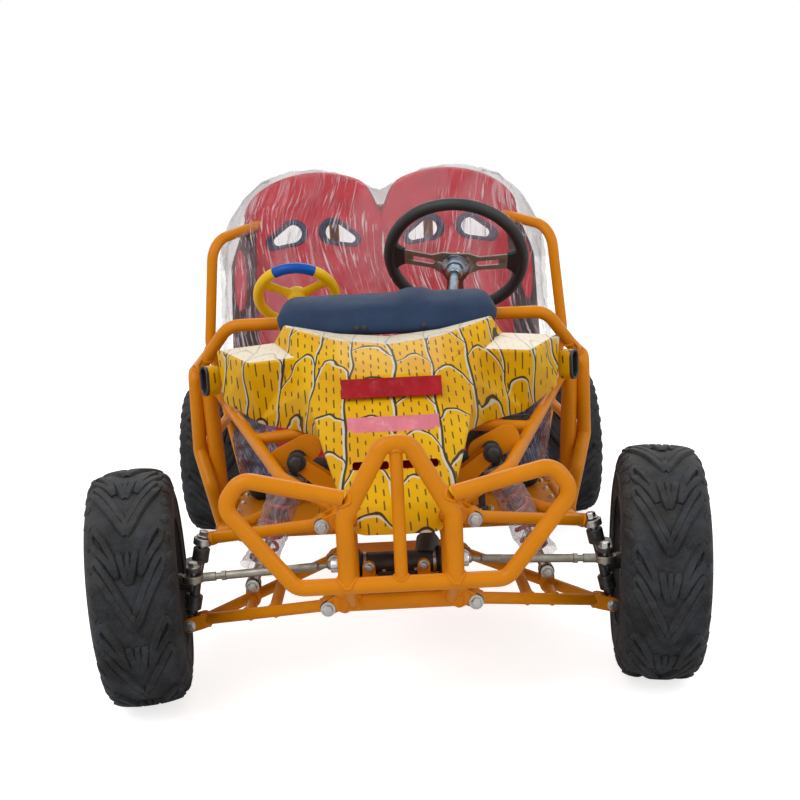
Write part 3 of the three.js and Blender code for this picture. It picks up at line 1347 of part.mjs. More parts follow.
// Dash pad: a soft roll over the dash hoop, cut round the tube that it wraps
const padLength = padRearY - padFrontY;
const padTall = padTopZ - padLowZ;
const padOutlineShares = [
  [0, 0.16], [0.05, 0.42], [0.18, 0.7], [0.42, 0.93], [0.66, 1], [0.88, 0.88], [1, 0.58], [0.98, 0.2],
  [0.86, 0.04], [0.6, 0.02], [0.3, 0.2], [0.08, 0.02],
];
const padOutline = padOutlineShares.map(([y, z]) => [padFrontY + y * padLength, padLowZ + z * padTall]);
const pad = plate(padOutline, padHalfWidth * 2, [0, 0, 0], yAxis, zAxis);
const gussetRoom = lugYZ([dashY, dashHeight], [sleeveCentre[1], sleeveCentre[2]], sleeveCentre[0],
  armBolt + seam * 2, (lugPlate + seam) * 2);
const sleeveRoom = pin(sleeveCentre, columnWay, columnSleeve + seam * 4, columnSleeveLength + seam * 2);
addPart('dash_pad', cut(pad, [grown(dashTube), ...dashStays.map(grown), gussetRoom, sleeveRoom,
  grown(toyPostSpec)]), slatePad);

// Lamp pods: oval cups at the ends of the fairing's wings
for (const side of both) {
  const turn = podTurn * degree;
  const facing = [side * Math.sin(turn), -Math.cos(turn), 0];
  const across = [Math.cos(turn), side * Math.sin(turn), 0];
  const oval = (inset) => slotOutline([0, -(podTall - podWide) * half], [0, (podTall - podWide) * half],
    podWide * half - inset);
  const centre = [side * podX, podY, podZ];
  const cup = plate(oval(0), podDeep, centre, across, zAxis);
  const hollow = plate(oval(podWall), podDeep, step(centre, facing, podWall), across, zAxis);
  const stay = bar(step(centre, facing, -podDeep * half + podWall), [side * dashEndHalfWidth, dashEndY, podZ], podStay);
  const whole = join([cut(cup, [hollow]), stay]);
  addPart(`lamp_pod_${sideName(side)}`, cut(whole, [grown(dashTube), ...guardCutters]), blackPlastic);
}

// Pedals on lugs in front of the driver's floor

for (const [name, x] of [['throttle_pedal', throttleX], ['brake_pedal', brakeX]]) {
  const foot = [x, pedalPivotY, pedalPivotZ];
  const way = [0, -Math.sin(pedalTilt * degree), Math.cos(pedalTilt * degree)];
  const facing = [0, Math.cos(pedalTilt * degree), Math.sin(pedalTilt * degree)];
  const head = step(foot, way, pedalLength);
  const pad = plate([[-pedalPadWidth * half, -pedalPadTall * half], [pedalPadWidth * half, -pedalPadTall * half],
    [pedalPadWidth * half, pedalPadTall * half], [-pedalPadWidth * half, pedalPadTall * half]], pedalPadThick,
  step(head, facing, pedalArm * half), xAxis, way);
  addPart(name, cut(join([pin(foot, xAxis, pedalBush, pedalBushLength), bar(foot, head, pedalArm), pad]),
    [pin(foot, xAxis, bore(pedalBolt, running, smallSides), pedalBushLength * 2, smallSides)]), blackSteel);
}

body.position.y = -(wheelbase + tyreRadius + bumperY - bumperTube * half) * half;
kart.updateMatrixWorld(true);

export default kart;
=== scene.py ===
# %% [markdown]
# # A two-seat off road go kart
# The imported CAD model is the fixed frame: its bodies, joints and sizes stay as they are. This script gives it its
# looks. Pieces are written in millimetres, measured from the front axle as the CAD is, and turned into metres at the
# end.

# %% The frame that every piece hangs on
import bmesh
import bpy
import math
import numpy as np
from mathutils import Matrix, Vector, noise


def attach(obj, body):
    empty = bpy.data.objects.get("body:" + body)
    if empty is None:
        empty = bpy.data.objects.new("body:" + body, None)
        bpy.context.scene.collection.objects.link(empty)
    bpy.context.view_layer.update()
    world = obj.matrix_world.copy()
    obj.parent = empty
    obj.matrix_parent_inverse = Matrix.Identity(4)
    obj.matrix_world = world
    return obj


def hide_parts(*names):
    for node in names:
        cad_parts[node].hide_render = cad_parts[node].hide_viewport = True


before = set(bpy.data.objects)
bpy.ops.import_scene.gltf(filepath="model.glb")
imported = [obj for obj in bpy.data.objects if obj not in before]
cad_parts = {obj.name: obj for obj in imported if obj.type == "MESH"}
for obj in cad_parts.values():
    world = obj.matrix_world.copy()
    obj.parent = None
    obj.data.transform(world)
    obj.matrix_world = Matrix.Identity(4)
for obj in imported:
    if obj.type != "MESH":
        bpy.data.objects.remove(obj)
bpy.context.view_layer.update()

MM = 0.001
AXLE_Y = -607.25
SIDES = {"left": 1, "right": -1}
UP = Vector((0, 0, 1))
X = Vector((1, 0, 0))
Y = Vector((0, 1, 0))

# %% [markdown]
# ## Building shapes
# A Shape collects the vertices and faces of sweeps, turned pieces and plates, so that one object can hold many of them.
# Each face carries a mark, which is the place of its material in the object's list.

# %% Shapes
class Shape:
    def __init__(self):
        self.verts, self.faces, self.marks = [], [], []

    def add(self, verts, faces, mark=0):
        base = len(self.verts)
        self.verts.extend(tuple(v) for v in verts)
        self.faces.extend(tuple(base + i for i in f) for f in faces)
        self.marks.extend([mark] * len(faces))
        return self


def axes_of(direction):
    d = Vector(direction).normalized()
    a = d.orthogonal().normalized()
    return d, a, d.cross(a)


def circle(count, start=0.0):
    """The cosine and sine of each of the even steps round a circle."""
    return [(math.cos(t), math.sin(t)) for t in (2 * math.pi * k / count + start for k in range(count))]


def loft(shape, rings, mark=0, closed=False, first=True, last=True):
    """A skin over rings of equally many points. closed joins the last ring to the first. Else each end gets a face."""
    count, n = len(rings), len(rings[0])
    faces = []
    for i in range(count if closed else count - 1):
        a, b = i * n, ((i + 1) % count) * n
        faces += [(a + k, a + (k + 1) % n, b + (k + 1) % n, b + k) for k in range(n)]
    if first and not closed:
        faces.append(tuple(reversed(range(n))))
    if last and not closed:
        faces.append(tuple(range(n * (count - 1), n * count)))
    return shape.add([p for ring in rings for p in ring], faces, mark)


def sweep(shape, line, radius, sides=20, mark=0, closed=False, squash=1.0, side=None):
    points = [Vector(p) for p in line]
    count = len(points)
    radii = radius if hasattr(radius, "__len__") else [radius] * count
    rings = []
    for i, p in enumerate(points):
        a = points[i - 1] if i or closed else p
        b = points[(i + 1) % count] if i < count - 1 or closed else p
        heading = (b - a).normalized()
        side = heading.orthogonal() if side is None else Vector(side)
        side = (side - heading * side.dot(heading)).normalized()
        other = heading.cross(side)
        rings.append([p + (side * cos + other * (sin * squash)) * radii[i] for cos, sin in circle(sides)])
    return loft(shape, rings, mark, closed)


def lathe(shape, profile, centre, axis, sides=48, mark=0, closed=False):
    d, a, b = axes_of(axis)
    centre = Vector(centre)
    verts, rings = [], []
    for r, s in profile:
        if r < 1e-6:
            rings.append([len(verts)])
            verts.append(centre + d * s)
            continue
        rings.append(list(range(len(verts), len(verts) + sides)))
        verts += [centre + d * s + (a * cos + b * sin) * r for cos, sin in circle(sides)]
    faces = []
    pairs = list(zip(rings, rings[1:])) + ([(rings[-1], rings[0])] if closed else [])
    for p, q in pairs:
        for k in range(sides):
            n = (k + 1) % sides
            if len(p) == 1 and len(q) == 1:
                continue
            if len(p) == 1:
                faces.append((p[0], q[n], q[k]))
            elif len(q) == 1:
                faces.append((p[k], p[n], q[0]))
            else:
                faces.append((p[k], p[n], q[n], q[k]))
    if not closed:
        faces += [tuple(end) for end in (rings[0], rings[-1]) if len(end) > 1]
    return shape.add(verts, faces, mark)


def collar(shape, bore, radius, half, centre, axis, sides=40, mark=0, bevel=0.8, along=None):
    """A bored sleeve with bevelled ends, half its length each way from its centre."""
    run = half - (bevel if along is None else along)
    lathe(shape, [(bore, -half), (radius - bevel, -half), (radius, -run), (radius, run), (radius - bevel, half),
                  (bore, half)],
          centre, axis, sides, mark, closed=True)


def rod(shape, a, b, radius, sides=20, mark=0, chamfer=0.8):
    a, b = Vector(a), Vector(b)
    length = (b - a).length
    c = min(chamfer, radius * 0.4, length * 0.3)
    profile = [(radius - c, 0), (radius, c), (radius, length - c), (radius - c, length)]
    return lathe(shape, profile, a, b - a, sides, mark)


def inset(outline, amount):
    moved = []
    count = len(outline)
    area = sum(outline[i - 1][0] * p[1] - p[0] * outline[i - 1][1] for i, p in enumerate(outline))
    turn = 1 if area > 0 else -1
    for i, here in enumerate(Vector(p) for p in outline):
        before, after = Vector(outline[i - 1]), Vector(outline[(i + 1) % count])
        n1 = Vector((-(here - before).y, (here - before).x)).normalized()
        n2 = Vector((-(after - here).y, (after - here).x)).normalized()
        middle = n1 + n2
        size = max(middle.length, 0.2)
        moved.append(here + middle / size * (amount * turn) / max(size / 2, 0.5))
    return moved


def plate(shape, outline, thickness, centre, u, v, bevel=0.8, mark=0):
    u, v, centre = Vector(u), Vector(v), Vector(centre)
    w = u.cross(v)
    h = thickness / 2
    b = min(bevel, h * 0.8)
    inner = inset(outline, b)
    rings = [(inner, -h), (outline, -h + b), (outline, h - b), (inner, h)]
    return loft(shape, [[centre + u * p[0] + v * p[1] + w * z for p in ring] for ring, z in rings], mark)


def block(shape, centre, sizes, bevel=1.0, mark=0, u=X, v=Y):
    a, b = sizes[0] / 2, sizes[1] / 2
    return plate(shape, [(-a, -b), (a, -b), (a, b), (-a, b)], sizes[2], centre, u, v, bevel, mark)


def slot_outline(a, b, radius, steps=10):
    heading = math.atan2(b[1] - a[1], b[0] - a[0])
    out = []
    for c, start in ((b, -math.pi / 2), (a, math.pi / 2)):
        for i in range(steps + 1):
            t = heading + start + math.pi * i / steps
            out.append((c[0] + radius * math.cos(t), c[1] + radius * math.sin(t)))
    return out


def torus(shape, centre, axis, radius, thick, around, sides):
    d, a, b = axes_of(axis)
    line = [Vector(centre) + (a * cos + b * sin) * radius for cos, sin in circle(around)]
    return sweep(shape, line, thick, sides, closed=True, side=d)


def ball(shape, centre, radius, sides=32, rings=16):
    middle = [(radius * math.sin(math.pi * i / rings), -radius * math.cos(math.pi * i / rings)) for i in range(1,
                                                                                                               rings)]
    return lathe(shape, [(0, -radius), *middle, (0, radius)], centre, UP, sides)


def coil(shape, top, way, length, mean, wire, turns):
    d, a, b = axes_of(way)
    steps = int(turns * 26)
    line = []
    for i in range(steps + 1):
        t = 2 * math.pi * turns * i / steps
        u = i / steps
        rise = wire / 2 + (length - wire) * (u - math.sin(2 * math.pi * u) * 0.06)
        line.append(Vector(top) + d * rise + (a * math.cos(t) + b * math.sin(t)) * mean / 2)
    return sweep(shape, line, wire / 2, 10, side=d)


def bent(corners, bend, steps=8):
    pts = [Vector(p) for p in corners]
    line = [pts[0]]
    for before, corner, after in zip(pts, pts[1:], pts[2:]):
        come, go = corner - before, after - corner
        room = min(come.length, go.length) / 2
        come.normalize()
        go.normalize()
        angle = come.angle(go)
        back = min(bend * math.tan(angle / 2), room)
        radius = back / math.tan(angle / 2)
        inward = (go - come * math.cos(angle)).normalized()
        start = corner - come * back
        for i in range(steps + 1):
            t = angle * i / steps
            line.append(start + come * (radius * math.sin(t)) + inward * (radius * (1 - math.cos(t))))
    line.append(pts[-1])
    return line


def bolt(shape, point, axis, across=13, head=7, mark=0, washer=True):
    d = Vector(axis).normalized()
    point = Vector(point)
    r = across / 2 / math.cos(math.pi / 6)
    if washer:
        lathe(shape, [(r * 0.5, 0), (r * 1.35, 0.2), (r * 1.35, 1.7), (r * 1.25, 2.0), (r * 0.5, 2.0)], point, d, 32,
              mark)
        point = point + d * 2
    lathe(shape, [(r, 0), (r, head - 1.2), (r * 0.86, head), (r * 0.4, head + 0.2), (0, head + 0.2)], point, d, 6, mark)


# %% [markdown]
# Every piece rides on a body, and the ones that stand for CAD nodes say so.

# %% Pieces
def in_scene(name, data):
    obj = bpy.data.objects.new(name, data)
    bpy.context.scene.collection.objects.link(obj)
    return obj


def face_out(mesh, weld=0.0):
    """Turns the mesh's normals outwards, after points closer than weld are joined."""
    bm = bmesh.new()
    bm.from_mesh(mesh)
    if weld:
        bmesh.ops.remove_doubles(bm, verts=bm.verts, dist=weld)
    bmesh.ops.recalc_face_normals(bm, faces=bm.faces)
    bm.to_mesh(mesh)
    bm.free()


def mesh_of(name, shape, fix=True):
    """The shape as a mesh in metres, in its place on the frame. fix=False keeps a sheet's normals as they are."""
    co = np.array(shape.verts, float)
    co[:, 1] += AXLE_Y
    mesh = bpy.data.meshes.new(name)
    mesh.from_pydata((co * MM).tolist(), [], shape.faces)
    mesh.polygons.foreach_set("material_index", shape.marks)
    if fix:
        face_out(mesh)
    return mesh


def piece(name, shape, looks, body, nodes=(), sharp=35, fix=True):
    """An object with the shape's faces in its looks. sharp is the angle from which an edge shows as a crease."""
    mesh = mesh_of(name, shape, fix)
    for one in looks:
        mesh.materials.append(one)
    mesh.shade_smooth()
    mesh.set_sharp_from_angle(angle=math.radians(sharp))
    obj = in_scene(name, mesh)
    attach(obj, body)
    if nodes:
        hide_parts(*nodes)
    return obj


def baked(obj):
    """The object's modifiers made real in its mesh."""
    bpy.context.view_layer.update()
    graph = bpy.context.evaluated_depsgraph_get()
    mesh = bpy.data.meshes.new_from_object(obj.evaluated_get(graph), depsgraph=graph)
    obj.modifiers.clear()
    obj.data = mesh
    return obj


# %% [markdown]
# ## The camera
# The photograph looks straight at the nose from a little above. The camera comes first, so that pieces can be judged
# against it.

# %% Camera
def photo_camera():
    place, yaw, pitch, roll, lens = Vector((-0.0153, -2.74385, 0.8844)), 0.0142, 0.1472, -0.045, 51.138
    ahead = Vector((math.sin(yaw) * math.cos(pitch), math.cos(yaw) * math.cos(pitch), -math.sin(pitch)))
    right = Vector((math.cos(yaw), -math.sin(yaw), 0))
    up = right.cross(ahead)
    across = right * math.cos(roll) + up * math.sin(roll)
    above = up * math.cos(roll) - right * math.sin(roll)
    data = bpy.data.cameras.new("photo_camera")
    data.lens, data.sensor_width, data.clip_start = lens, 36, 0.05
    camera = in_scene("photo_camera", data)
    camera.matrix_world = Matrix.Translation(place) @ Matrix((across, above, -ahead)).transposed().to_4x4()
    bpy.context.scene.camera = camera
    return camera


print("camera at", [round(v, 2) for v in photo_camera().matrix_world.translation])

# %% [markdown]
# ## Finishes
# A material here is a small tree of nodes over the piece's own coordinates, which move with it. Four effects come
# back in many finishes, so each is a node group: grain that gives a height, dust that settles on what faces up, fine
# scratches, and edges that wear.

# %% Node helpers
class Tree:
    def __init__(self, tree):
        self.tree, self.nodes = tree, tree.nodes

    def node(self, kind, **settings):
        one = self.nodes.new(kind)
        for key, value in settings.items():
            setattr(one, key, value)
        return one

    def link(self, a, b):
        self.tree.links.new(a, b)

    def put(self, socket, value):
        if isinstance(value, bpy.types.NodeSocket):
            self.link(value, socket)
        elif hasattr(value, "__len__") and len(value) == 3 and socket.type == "RGBA":
            socket.default_value = (*value, 1)
        else:
            socket.default_value = value

    def math(self, kind, a, b=0.0, clamp=False):
        one = self.node("ShaderNodeMath", operation=kind, use_clamp=clamp)
        self.put(one.inputs[0], a)
        self.put(one.inputs[1], b)
        return one.outputs[0]

    def times(self, a, b, clamp=False):
        return self.math("MULTIPLY", a, b, clamp)

    def plus(self, a, b, clamp=False):
        return self.math("ADD", a, b, clamp)

    def minus(self, a, b):
        return self.math("SUBTRACT", a, b)

    def larger(self, a, b):
        return self.math("MAXIMUM", a, b)

    def vmath(self, kind, a, b):
        one = self.node("ShaderNodeVectorMath", operation=kind)
        self.put(one.inputs[0], a)
        self.put(one.inputs[1], b)
        return one.outputs[0]

    def mix(self, amount, a, b, kind="MIX"):
        one = self.node("ShaderNodeMix", data_type="RGBA", blend_type=kind)
        self.put(one.inputs["Factor"], amount)
        self.put(one.inputs[6], a)
        self.put(one.inputs[7], b)
        return one.outputs[2]

    def span(self, value, low, high, to_low=0.0, to_high=1.0, smooth=False):
        one = self.node("ShaderNodeMapRange", interpolation_type="SMOOTHSTEP" if smooth else "LINEAR")
        for socket, v in zip(one.inputs, (value, low, high, to_low, to_high)):
            self.put(socket, v)
        return one.outputs[0]

    def noise(self, at, scale, detail=2.0, rough=0.5, distort=0.0):
        one = self.node("ShaderNodeTexNoise")
        self.put(one.inputs["Vector"], at)
        self.put(one.inputs["Scale"], scale)
        one.inputs["Detail"].default_value = detail
        one.inputs["Roughness"].default_value = rough
        one.inputs["Distortion"].default_value = distort
        return one.outputs["Fac"]

    def cells(self, at, scale, feature="F1", out="Distance", **settings):
        one = self.node("ShaderNodeTexVoronoi", feature=feature, **settings)
        self.put(one.inputs["Vector"], at)
        self.put(one.inputs["Scale"], scale)
        return one.outputs[out]

    def place(self):
        return self.node("ShaderNodeTexCoord").outputs["Object"]

    def split(self, vector):
        one = self.node("ShaderNodeSeparateXYZ")
        self.link(vector, one.inputs[0])
        return one.outputs

    def join(self, x, y, z):
        one = self.node("ShaderNodeCombineXYZ")
        for socket, v in zip(one.inputs, (x, y, z)):
            self.put(socket, v)
        return one.outputs[0]

    def group(self, tree, **values):
        one = self.node("ShaderNodeGroup")
        one.node_tree = tree
        for key, value in values.items():
            self.put(one.inputs[key], value)
        return one.outputs


def effect(name, inputs, outputs):
    """A new node group with its sockets, and its tree with the group's input and output nodes."""
    group = bpy.data.node_groups.new(name, "ShaderNodeTree")
    for label, kind, value in inputs:
        socket = group.interface.new_socket(label, in_out="INPUT", socket_type=kind)
        socket.default_value = value
    for label, kind in outputs:
        group.interface.new_socket(label, in_out="OUTPUT", socket_type=kind)
    t = Tree(group)
    return group, t, t.node("NodeGroupInput").outputs, t.node("NodeGroupOutput").inputs


FLOAT, COLOUR = "NodeSocketFloat", "NodeSocketColor"

# %% [markdown]
# Grain: paint has soft orange peel and moulded plastic a fine pebble. Both are noise at a scale that the material
# gives.

# %% Grain
grain, t, g_in, g_out = effect("grain", [("Scale", FLOAT, 300.0)], [("Height", FLOAT)])
fine = t.noise(t.place(), g_in["Scale"], 3.0, 0.55)
wide = t.noise(t.place(), t.times(g_in["Scale"], 0.28), 1.0)
t.link(t.plus(fine, t.times(wide, 0.8)), g_out["Height"])

# %% [markdown]
# Dust: it lies where a surface faces up and in patches that a broad noise leaves, and it makes the finish paler and
# duller.

# %% Dust
dust, t, g_in, g_out = effect(
    "dust", [("Colour", COLOUR, (0.5, 0.5, 0.5, 1)), ("Dust", COLOUR, (0.42, 0.38, 0.33, 1)), ("Amount", FLOAT, 0.3),
             ("Roughness", FLOAT, 0.4)], [("Colour", COLOUR), ("Roughness", FLOAT)])
facing = t.split(t.node("ShaderNodeNewGeometry").outputs["Normal"])[2]
lying = t.span(facing, -0.2, 0.9, 0.25, 1.0)
patches = t.span(t.noise(t.place(), 9.0, 4.0, 0.65), 0.38, 0.7)
specks = t.span(t.noise(t.place(), 420.0, 2.0, 0.7), 0.45, 0.75)
mask = t.times(t.times(lying, g_in["Amount"]), t.plus(t.times(patches, 0.7), t.times(specks, 0.5)), clamp=True)
t.link(t.mix(mask, g_in["Colour"], g_in["Dust"]), g_out["Colour"])
t.link(t.plus(g_in["Roughness"], t.times(mask, 0.45), clamp=True), g_out["Roughness"])

# %% [markdown]
# Scratches: thin broken lines of two directions, which catch the light on metal and worn plastic.

# %% Scratches
scratches, t, g_in, g_out = effect("scratches", [("Scale", FLOAT, 30.0), ("Amount", FLOAT, 0.5)], [("Mask", FLOAT)])
lines = []
for turn in ((1.0, 0.12, 0.35), (0.15, 1.0, 0.5)):
    bent_at = t.vmath("MULTIPLY", t.place(), turn)
    lines.append(t.span(t.noise(bent_at, t.times(g_in["Scale"], 9.0), 3.0, 0.7, 0.4), 0.66, 0.72))
broken = t.span(t.noise(t.place(), g_in["Scale"], 2.0), 0.42, 0.6)
both = t.times(t.larger(lines[0], lines[1]), broken)
t.link(t.times(both, g_in["Amount"]), g_out["Mask"])

# %% [markdown]
# Edge wear: the pointiness of a mesh is high on its outer edges, where handling polishes or chips the coat.

# %% Edge wear
edge_wear, t, g_in, g_out = effect("edge_wear", [("Amount", FLOAT, 0.5)], [("Mask", FLOAT)])
edges = t.span(t.node("ShaderNodeNewGeometry").outputs["Pointiness"], 0.52, 0.62)
chips = t.span(t.noise(t.place(), 130.0, 3.0, 0.6), 0.4, 0.62)
t.link(t.times(t.times(edges, chips), g_in["Amount"], clamp=True), g_out["Mask"])
print("shared effects:", [g.name for g in bpy.data.node_groups])


# %% [markdown]
# A finish is a Principled shader with its constants set on the sockets, and the changing values linked in.

# %% Finish builder
def finish(name, **constants):
    material = bpy.data.materials.new(name)
    material.use_nodes = True
    tree = Tree(material.node_tree)
    shader = tree.nodes["Principled BSDF"]
    for key, value in constants.items():
        tree.put(shader.inputs[key.replace("_", " ")], value)
    return material, tree, shader


def bump(tree, shader, height, depth, strength=1.0):
    one = tree.node("ShaderNodeBump")
    one.inputs["Strength"].default_value = strength
    one.inputs["Distance"].default_value = depth
    tree.link(height, one.inputs["Height"])
    tree.link(one.outputs[0], shader.inputs["Normal"])


def settle(t, shader, **values):
    """Dust over a colour and roughness, linked into the shader."""
    settled = t.group(dust, **values)
    t.link(settled["Colour"], shader.inputs["Base Color"])
    t.link(settled["Roughness"], shader.inputs["Roughness"])


def mottled(t, colour, low, high, scale, shade_low, shade_high):
    """The colour made a little darker and lighter in soft patches."""
    tone = t.span(t.noise(t.place(), scale, 3.0), low, high, shade_low, shade_high)
    return t.mix(1.0, colour, t.join(tone, tone, tone), "MULTIPLY")


def coated(name, colour, rough, grain_scale, depth, dusty=0.2, wear=0.0, bare=(0.3, 0.28, 0.26), vary=0.06,
           scratch=0.0, **constants):
    """Paint, powder coat, plastic or rubber: a colour that varies a little, with grain, wear, scratches and dust."""
    material, t, shader = finish(name, **constants)
    base = mottled(t, colour, 0.25, 0.75, 14.0, 1 - vary, 1 + vary)
    rough_now = t.span(t.noise(t.place(), 60.0, 2.0), 0.3, 0.7, rough - 0.05, rough + 0.07)
    if wear:
        base = t.mix(t.group(edge_wear, Amount=wear)["Mask"], base, bare)
    if scratch:
        lines = t.group(scratches, Scale=26.0, Amount=scratch)["Mask"]
        base = t.mix(lines, base, tuple(min(1, c * 1.5 + 0.05) for c in colour))
        rough_now = t.plus(rough_now, t.times(lines, 0.3))
    settle(t, shader, Colour=base, Amount=dusty, Roughness=rough_now)
    bump(t, shader, t.group(grain, Scale=grain_scale)["Height"], depth)
    return material


def metal(name, colour, rough, brushed=0.0, dusty=0.15, tint=None):
    """Bare or plated metal: cloudy roughness, fine scratches, and for brushed metal long lines."""
    material, t, shader = finish(name, Metallic=1.0)
    cloud = t.noise(t.place(), 45.0, 4.0, 0.65)
    base = t.mix(t.span(cloud, 0.3, 0.75), colour, tint or tuple(c * 0.72 for c in colour))
    lines = t.group(scratches, Scale=40.0, Amount=0.7)["Mask"]
    rough_now = t.plus(t.span(cloud, 0.3, 0.7, rough - 0.06, rough + 0.12), t.times(lines, 0.18))
    settle(t, shader, Colour=base, Amount=dusty, Roughness=rough_now)
    if brushed:
        along = t.vmath("MULTIPLY", t.place(), (12.0, 900.0, 900.0))
        bump(t, shader, t.noise(along, 1.0, 2.0, 0.6), brushed)
    else:
        bump(t, shader, t.group(grain, Scale=520.0)["Height"], 0.00008)
    return material


# %% [markdown]
# The finishes that paint, plastic, rubber and metal need. Each gets its own grain size, dust and wear.

# %% Plain finishes
powder_orange = coated("powder_orange", (0.72, 0.235, 0.0), 0.36, 260.0, 0.00022, dusty=0.005, wear=0.12,
                       bare=(0.5, 0.16, 0.0), vary=0.07, scratch=0.1, Coat_Weight=0.05, Coat_Roughness=0.14,
                       Specular_IOR_Level=0.17)
black_plastic = coated("black_plastic", (0.012, 0.012, 0.014), 0.42, 700.0, 0.00012, dusty=0.22, wear=0.15,
                       bare=(0.07, 0.07, 0.07))
black_grip = coated("black_grip", (0.010, 0.010, 0.011), 0.5, 900.0, 0.00025, dusty=0.1)
black_paint = coated("black_paint", (0.014, 0.014, 0.016), 0.3, 320.0, 0.00018, dusty=0.25, wear=0.35,
                     bare=(0.2, 0.19, 0.18), scratch=0.25)
soot_black = coated("soot_black", (0.02, 0.019, 0.018), 0.62, 420.0, 0.0003, dusty=0.45, wear=0.3,
                    bare=(0.16, 0.1, 0.07))
gloss_red = coated("gloss_red", (0.58, 0.012, 0.018), 0.26, 300.0, 0.00015, dusty=0.12, wear=0.2)
gloss_yellow = coated("gloss_yellow", (0.92, 0.55, 0.0), 0.3, 500.0, 0.00012, dusty=0.0, vary=0.04,
                      Specular_IOR_Level=0.3)
gloss_blue = coated("gloss_blue", (0.0, 0.085, 0.42), 0.34, 500.0, 0.00012, dusty=0.01, vary=0.04,
                    Specular_IOR_Level=0.25)
dark_red_film = coated("dark_red_film", (0.34, 0.004, 0.01), 0.3, 90.0, 0.0012, dusty=0.0, vary=0.3,
                       Specular_IOR_Level=0.2)
pink_film = coated("pink_film", (0.78, 0.2, 0.26), 0.25, 90.0, 0.0012, dusty=0.08, vary=0.25)
zinc = metal("zinc", (0.62, 0.63, 0.62), 0.3, dusty=0.35, tint=(0.45, 0.45, 0.42))
dull_zinc = metal("dull_zinc", (0.36, 0.34, 0.29), 0.42, dusty=0.3, tint=(0.22, 0.2, 0.16))
bright_zinc = metal("bright_zinc", (0.72, 0.73, 0.74), 0.22, dusty=0.08)
column_steel = metal("column_steel", (0.42, 0.5, 0.58), 0.25, dusty=0.05)
brushed_alloy = metal("brushed_alloy", (0.33, 0.29, 0.255), 0.5, brushed=0.0001, dusty=0.12)
cast_alloy = metal("cast_alloy", (0.5, 0.5, 0.5), 0.48, dusty=0.3)
chain_steel = metal("chain_steel", (0.28, 0.27, 0.26), 0.38, dusty=0.2)
disc_steel = metal("disc_steel", (0.5, 0.5, 0.5), 0.3, dusty=0.12)
gold_plate = metal("gold_plate", (0.75, 0.52, 0.2), 0.3, dusty=0.1)

# %% [markdown]
# Tyre rubber is dark grey-blue in soft cloudy patches with fine grit, and paler grey on the faces that point up.

# %% Rubber
rubber, t, shader = finish("tyre_rubber", Specular_IOR_Level=0.22)
cloud = t.span(t.noise(t.place(), 17.0, 5.0, 0.7), 0.4, 0.66)
grit = t.span(t.noise(t.place(), 260.0, 3.0, 0.7), 0.42, 0.72)
base = t.mix(t.times(cloud, 0.85), (0.006, 0.0063, 0.007), (0.034, 0.039, 0.05))
base = t.mix(t.times(grit, 0.2), base, (0.07, 0.075, 0.085))
# Faces that point up come out paler grey.
settle(t, shader, Colour=base, Dust=(0.15, 0.14, 0.125), Amount=0.42, Roughness=0.6)
bump(t, shader, t.plus(t.group(grain, Scale=330.0)["Height"], t.times(grit, 0.6)), 0.0005)

# %% [markdown]
# Seat vinyl has a leather-like grain: small raised cells with thin creases between them, and a soft sheen.

# %% Vinyl
def vinyl(name, colour, rough=0.42, dusty=0.05, **constants):
    material, t, shader = finish(name, **{"Coat_Weight": 0.04, "Coat_Roughness": 0.3, "Specular_IOR_Level": 0.22,
                                          **constants})
    cell = t.cells(t.place(), 620.0, "DISTANCE_TO_EDGE")
    crease = t.span(cell, 0.0, 0.09)
    base = mottled(t, colour, 0.3, 0.7, 18.0, 0.82, 1.12)
    base = t.mix(t.times(t.minus(1.0, crease), 0.35), base, tuple(c * 0.45 for c in colour))
    settle(t, shader, Colour=base, Amount=dusty, Roughness=t.span(crease, 0, 1, rough + 0.18, rough))
    wrinkle = t.noise(t.place(), 26.0, 4.0, 0.6, 0.6)
    bump(t, shader, t.plus(t.times(crease, 0.16), wrinkle), 0.0016, 0.9)
    return material


red_vinyl = vinyl("red_vinyl", (0.6, 0.016, 0.036))
black_vinyl = vinyl("black_vinyl", (0.018, 0.018, 0.02), 0.5)
slate_vinyl = vinyl("slate_vinyl", (0.022, 0.046, 0.105), 0.6, 0.02, Coat_Weight=0.02, Specular_IOR_Level=0.2)
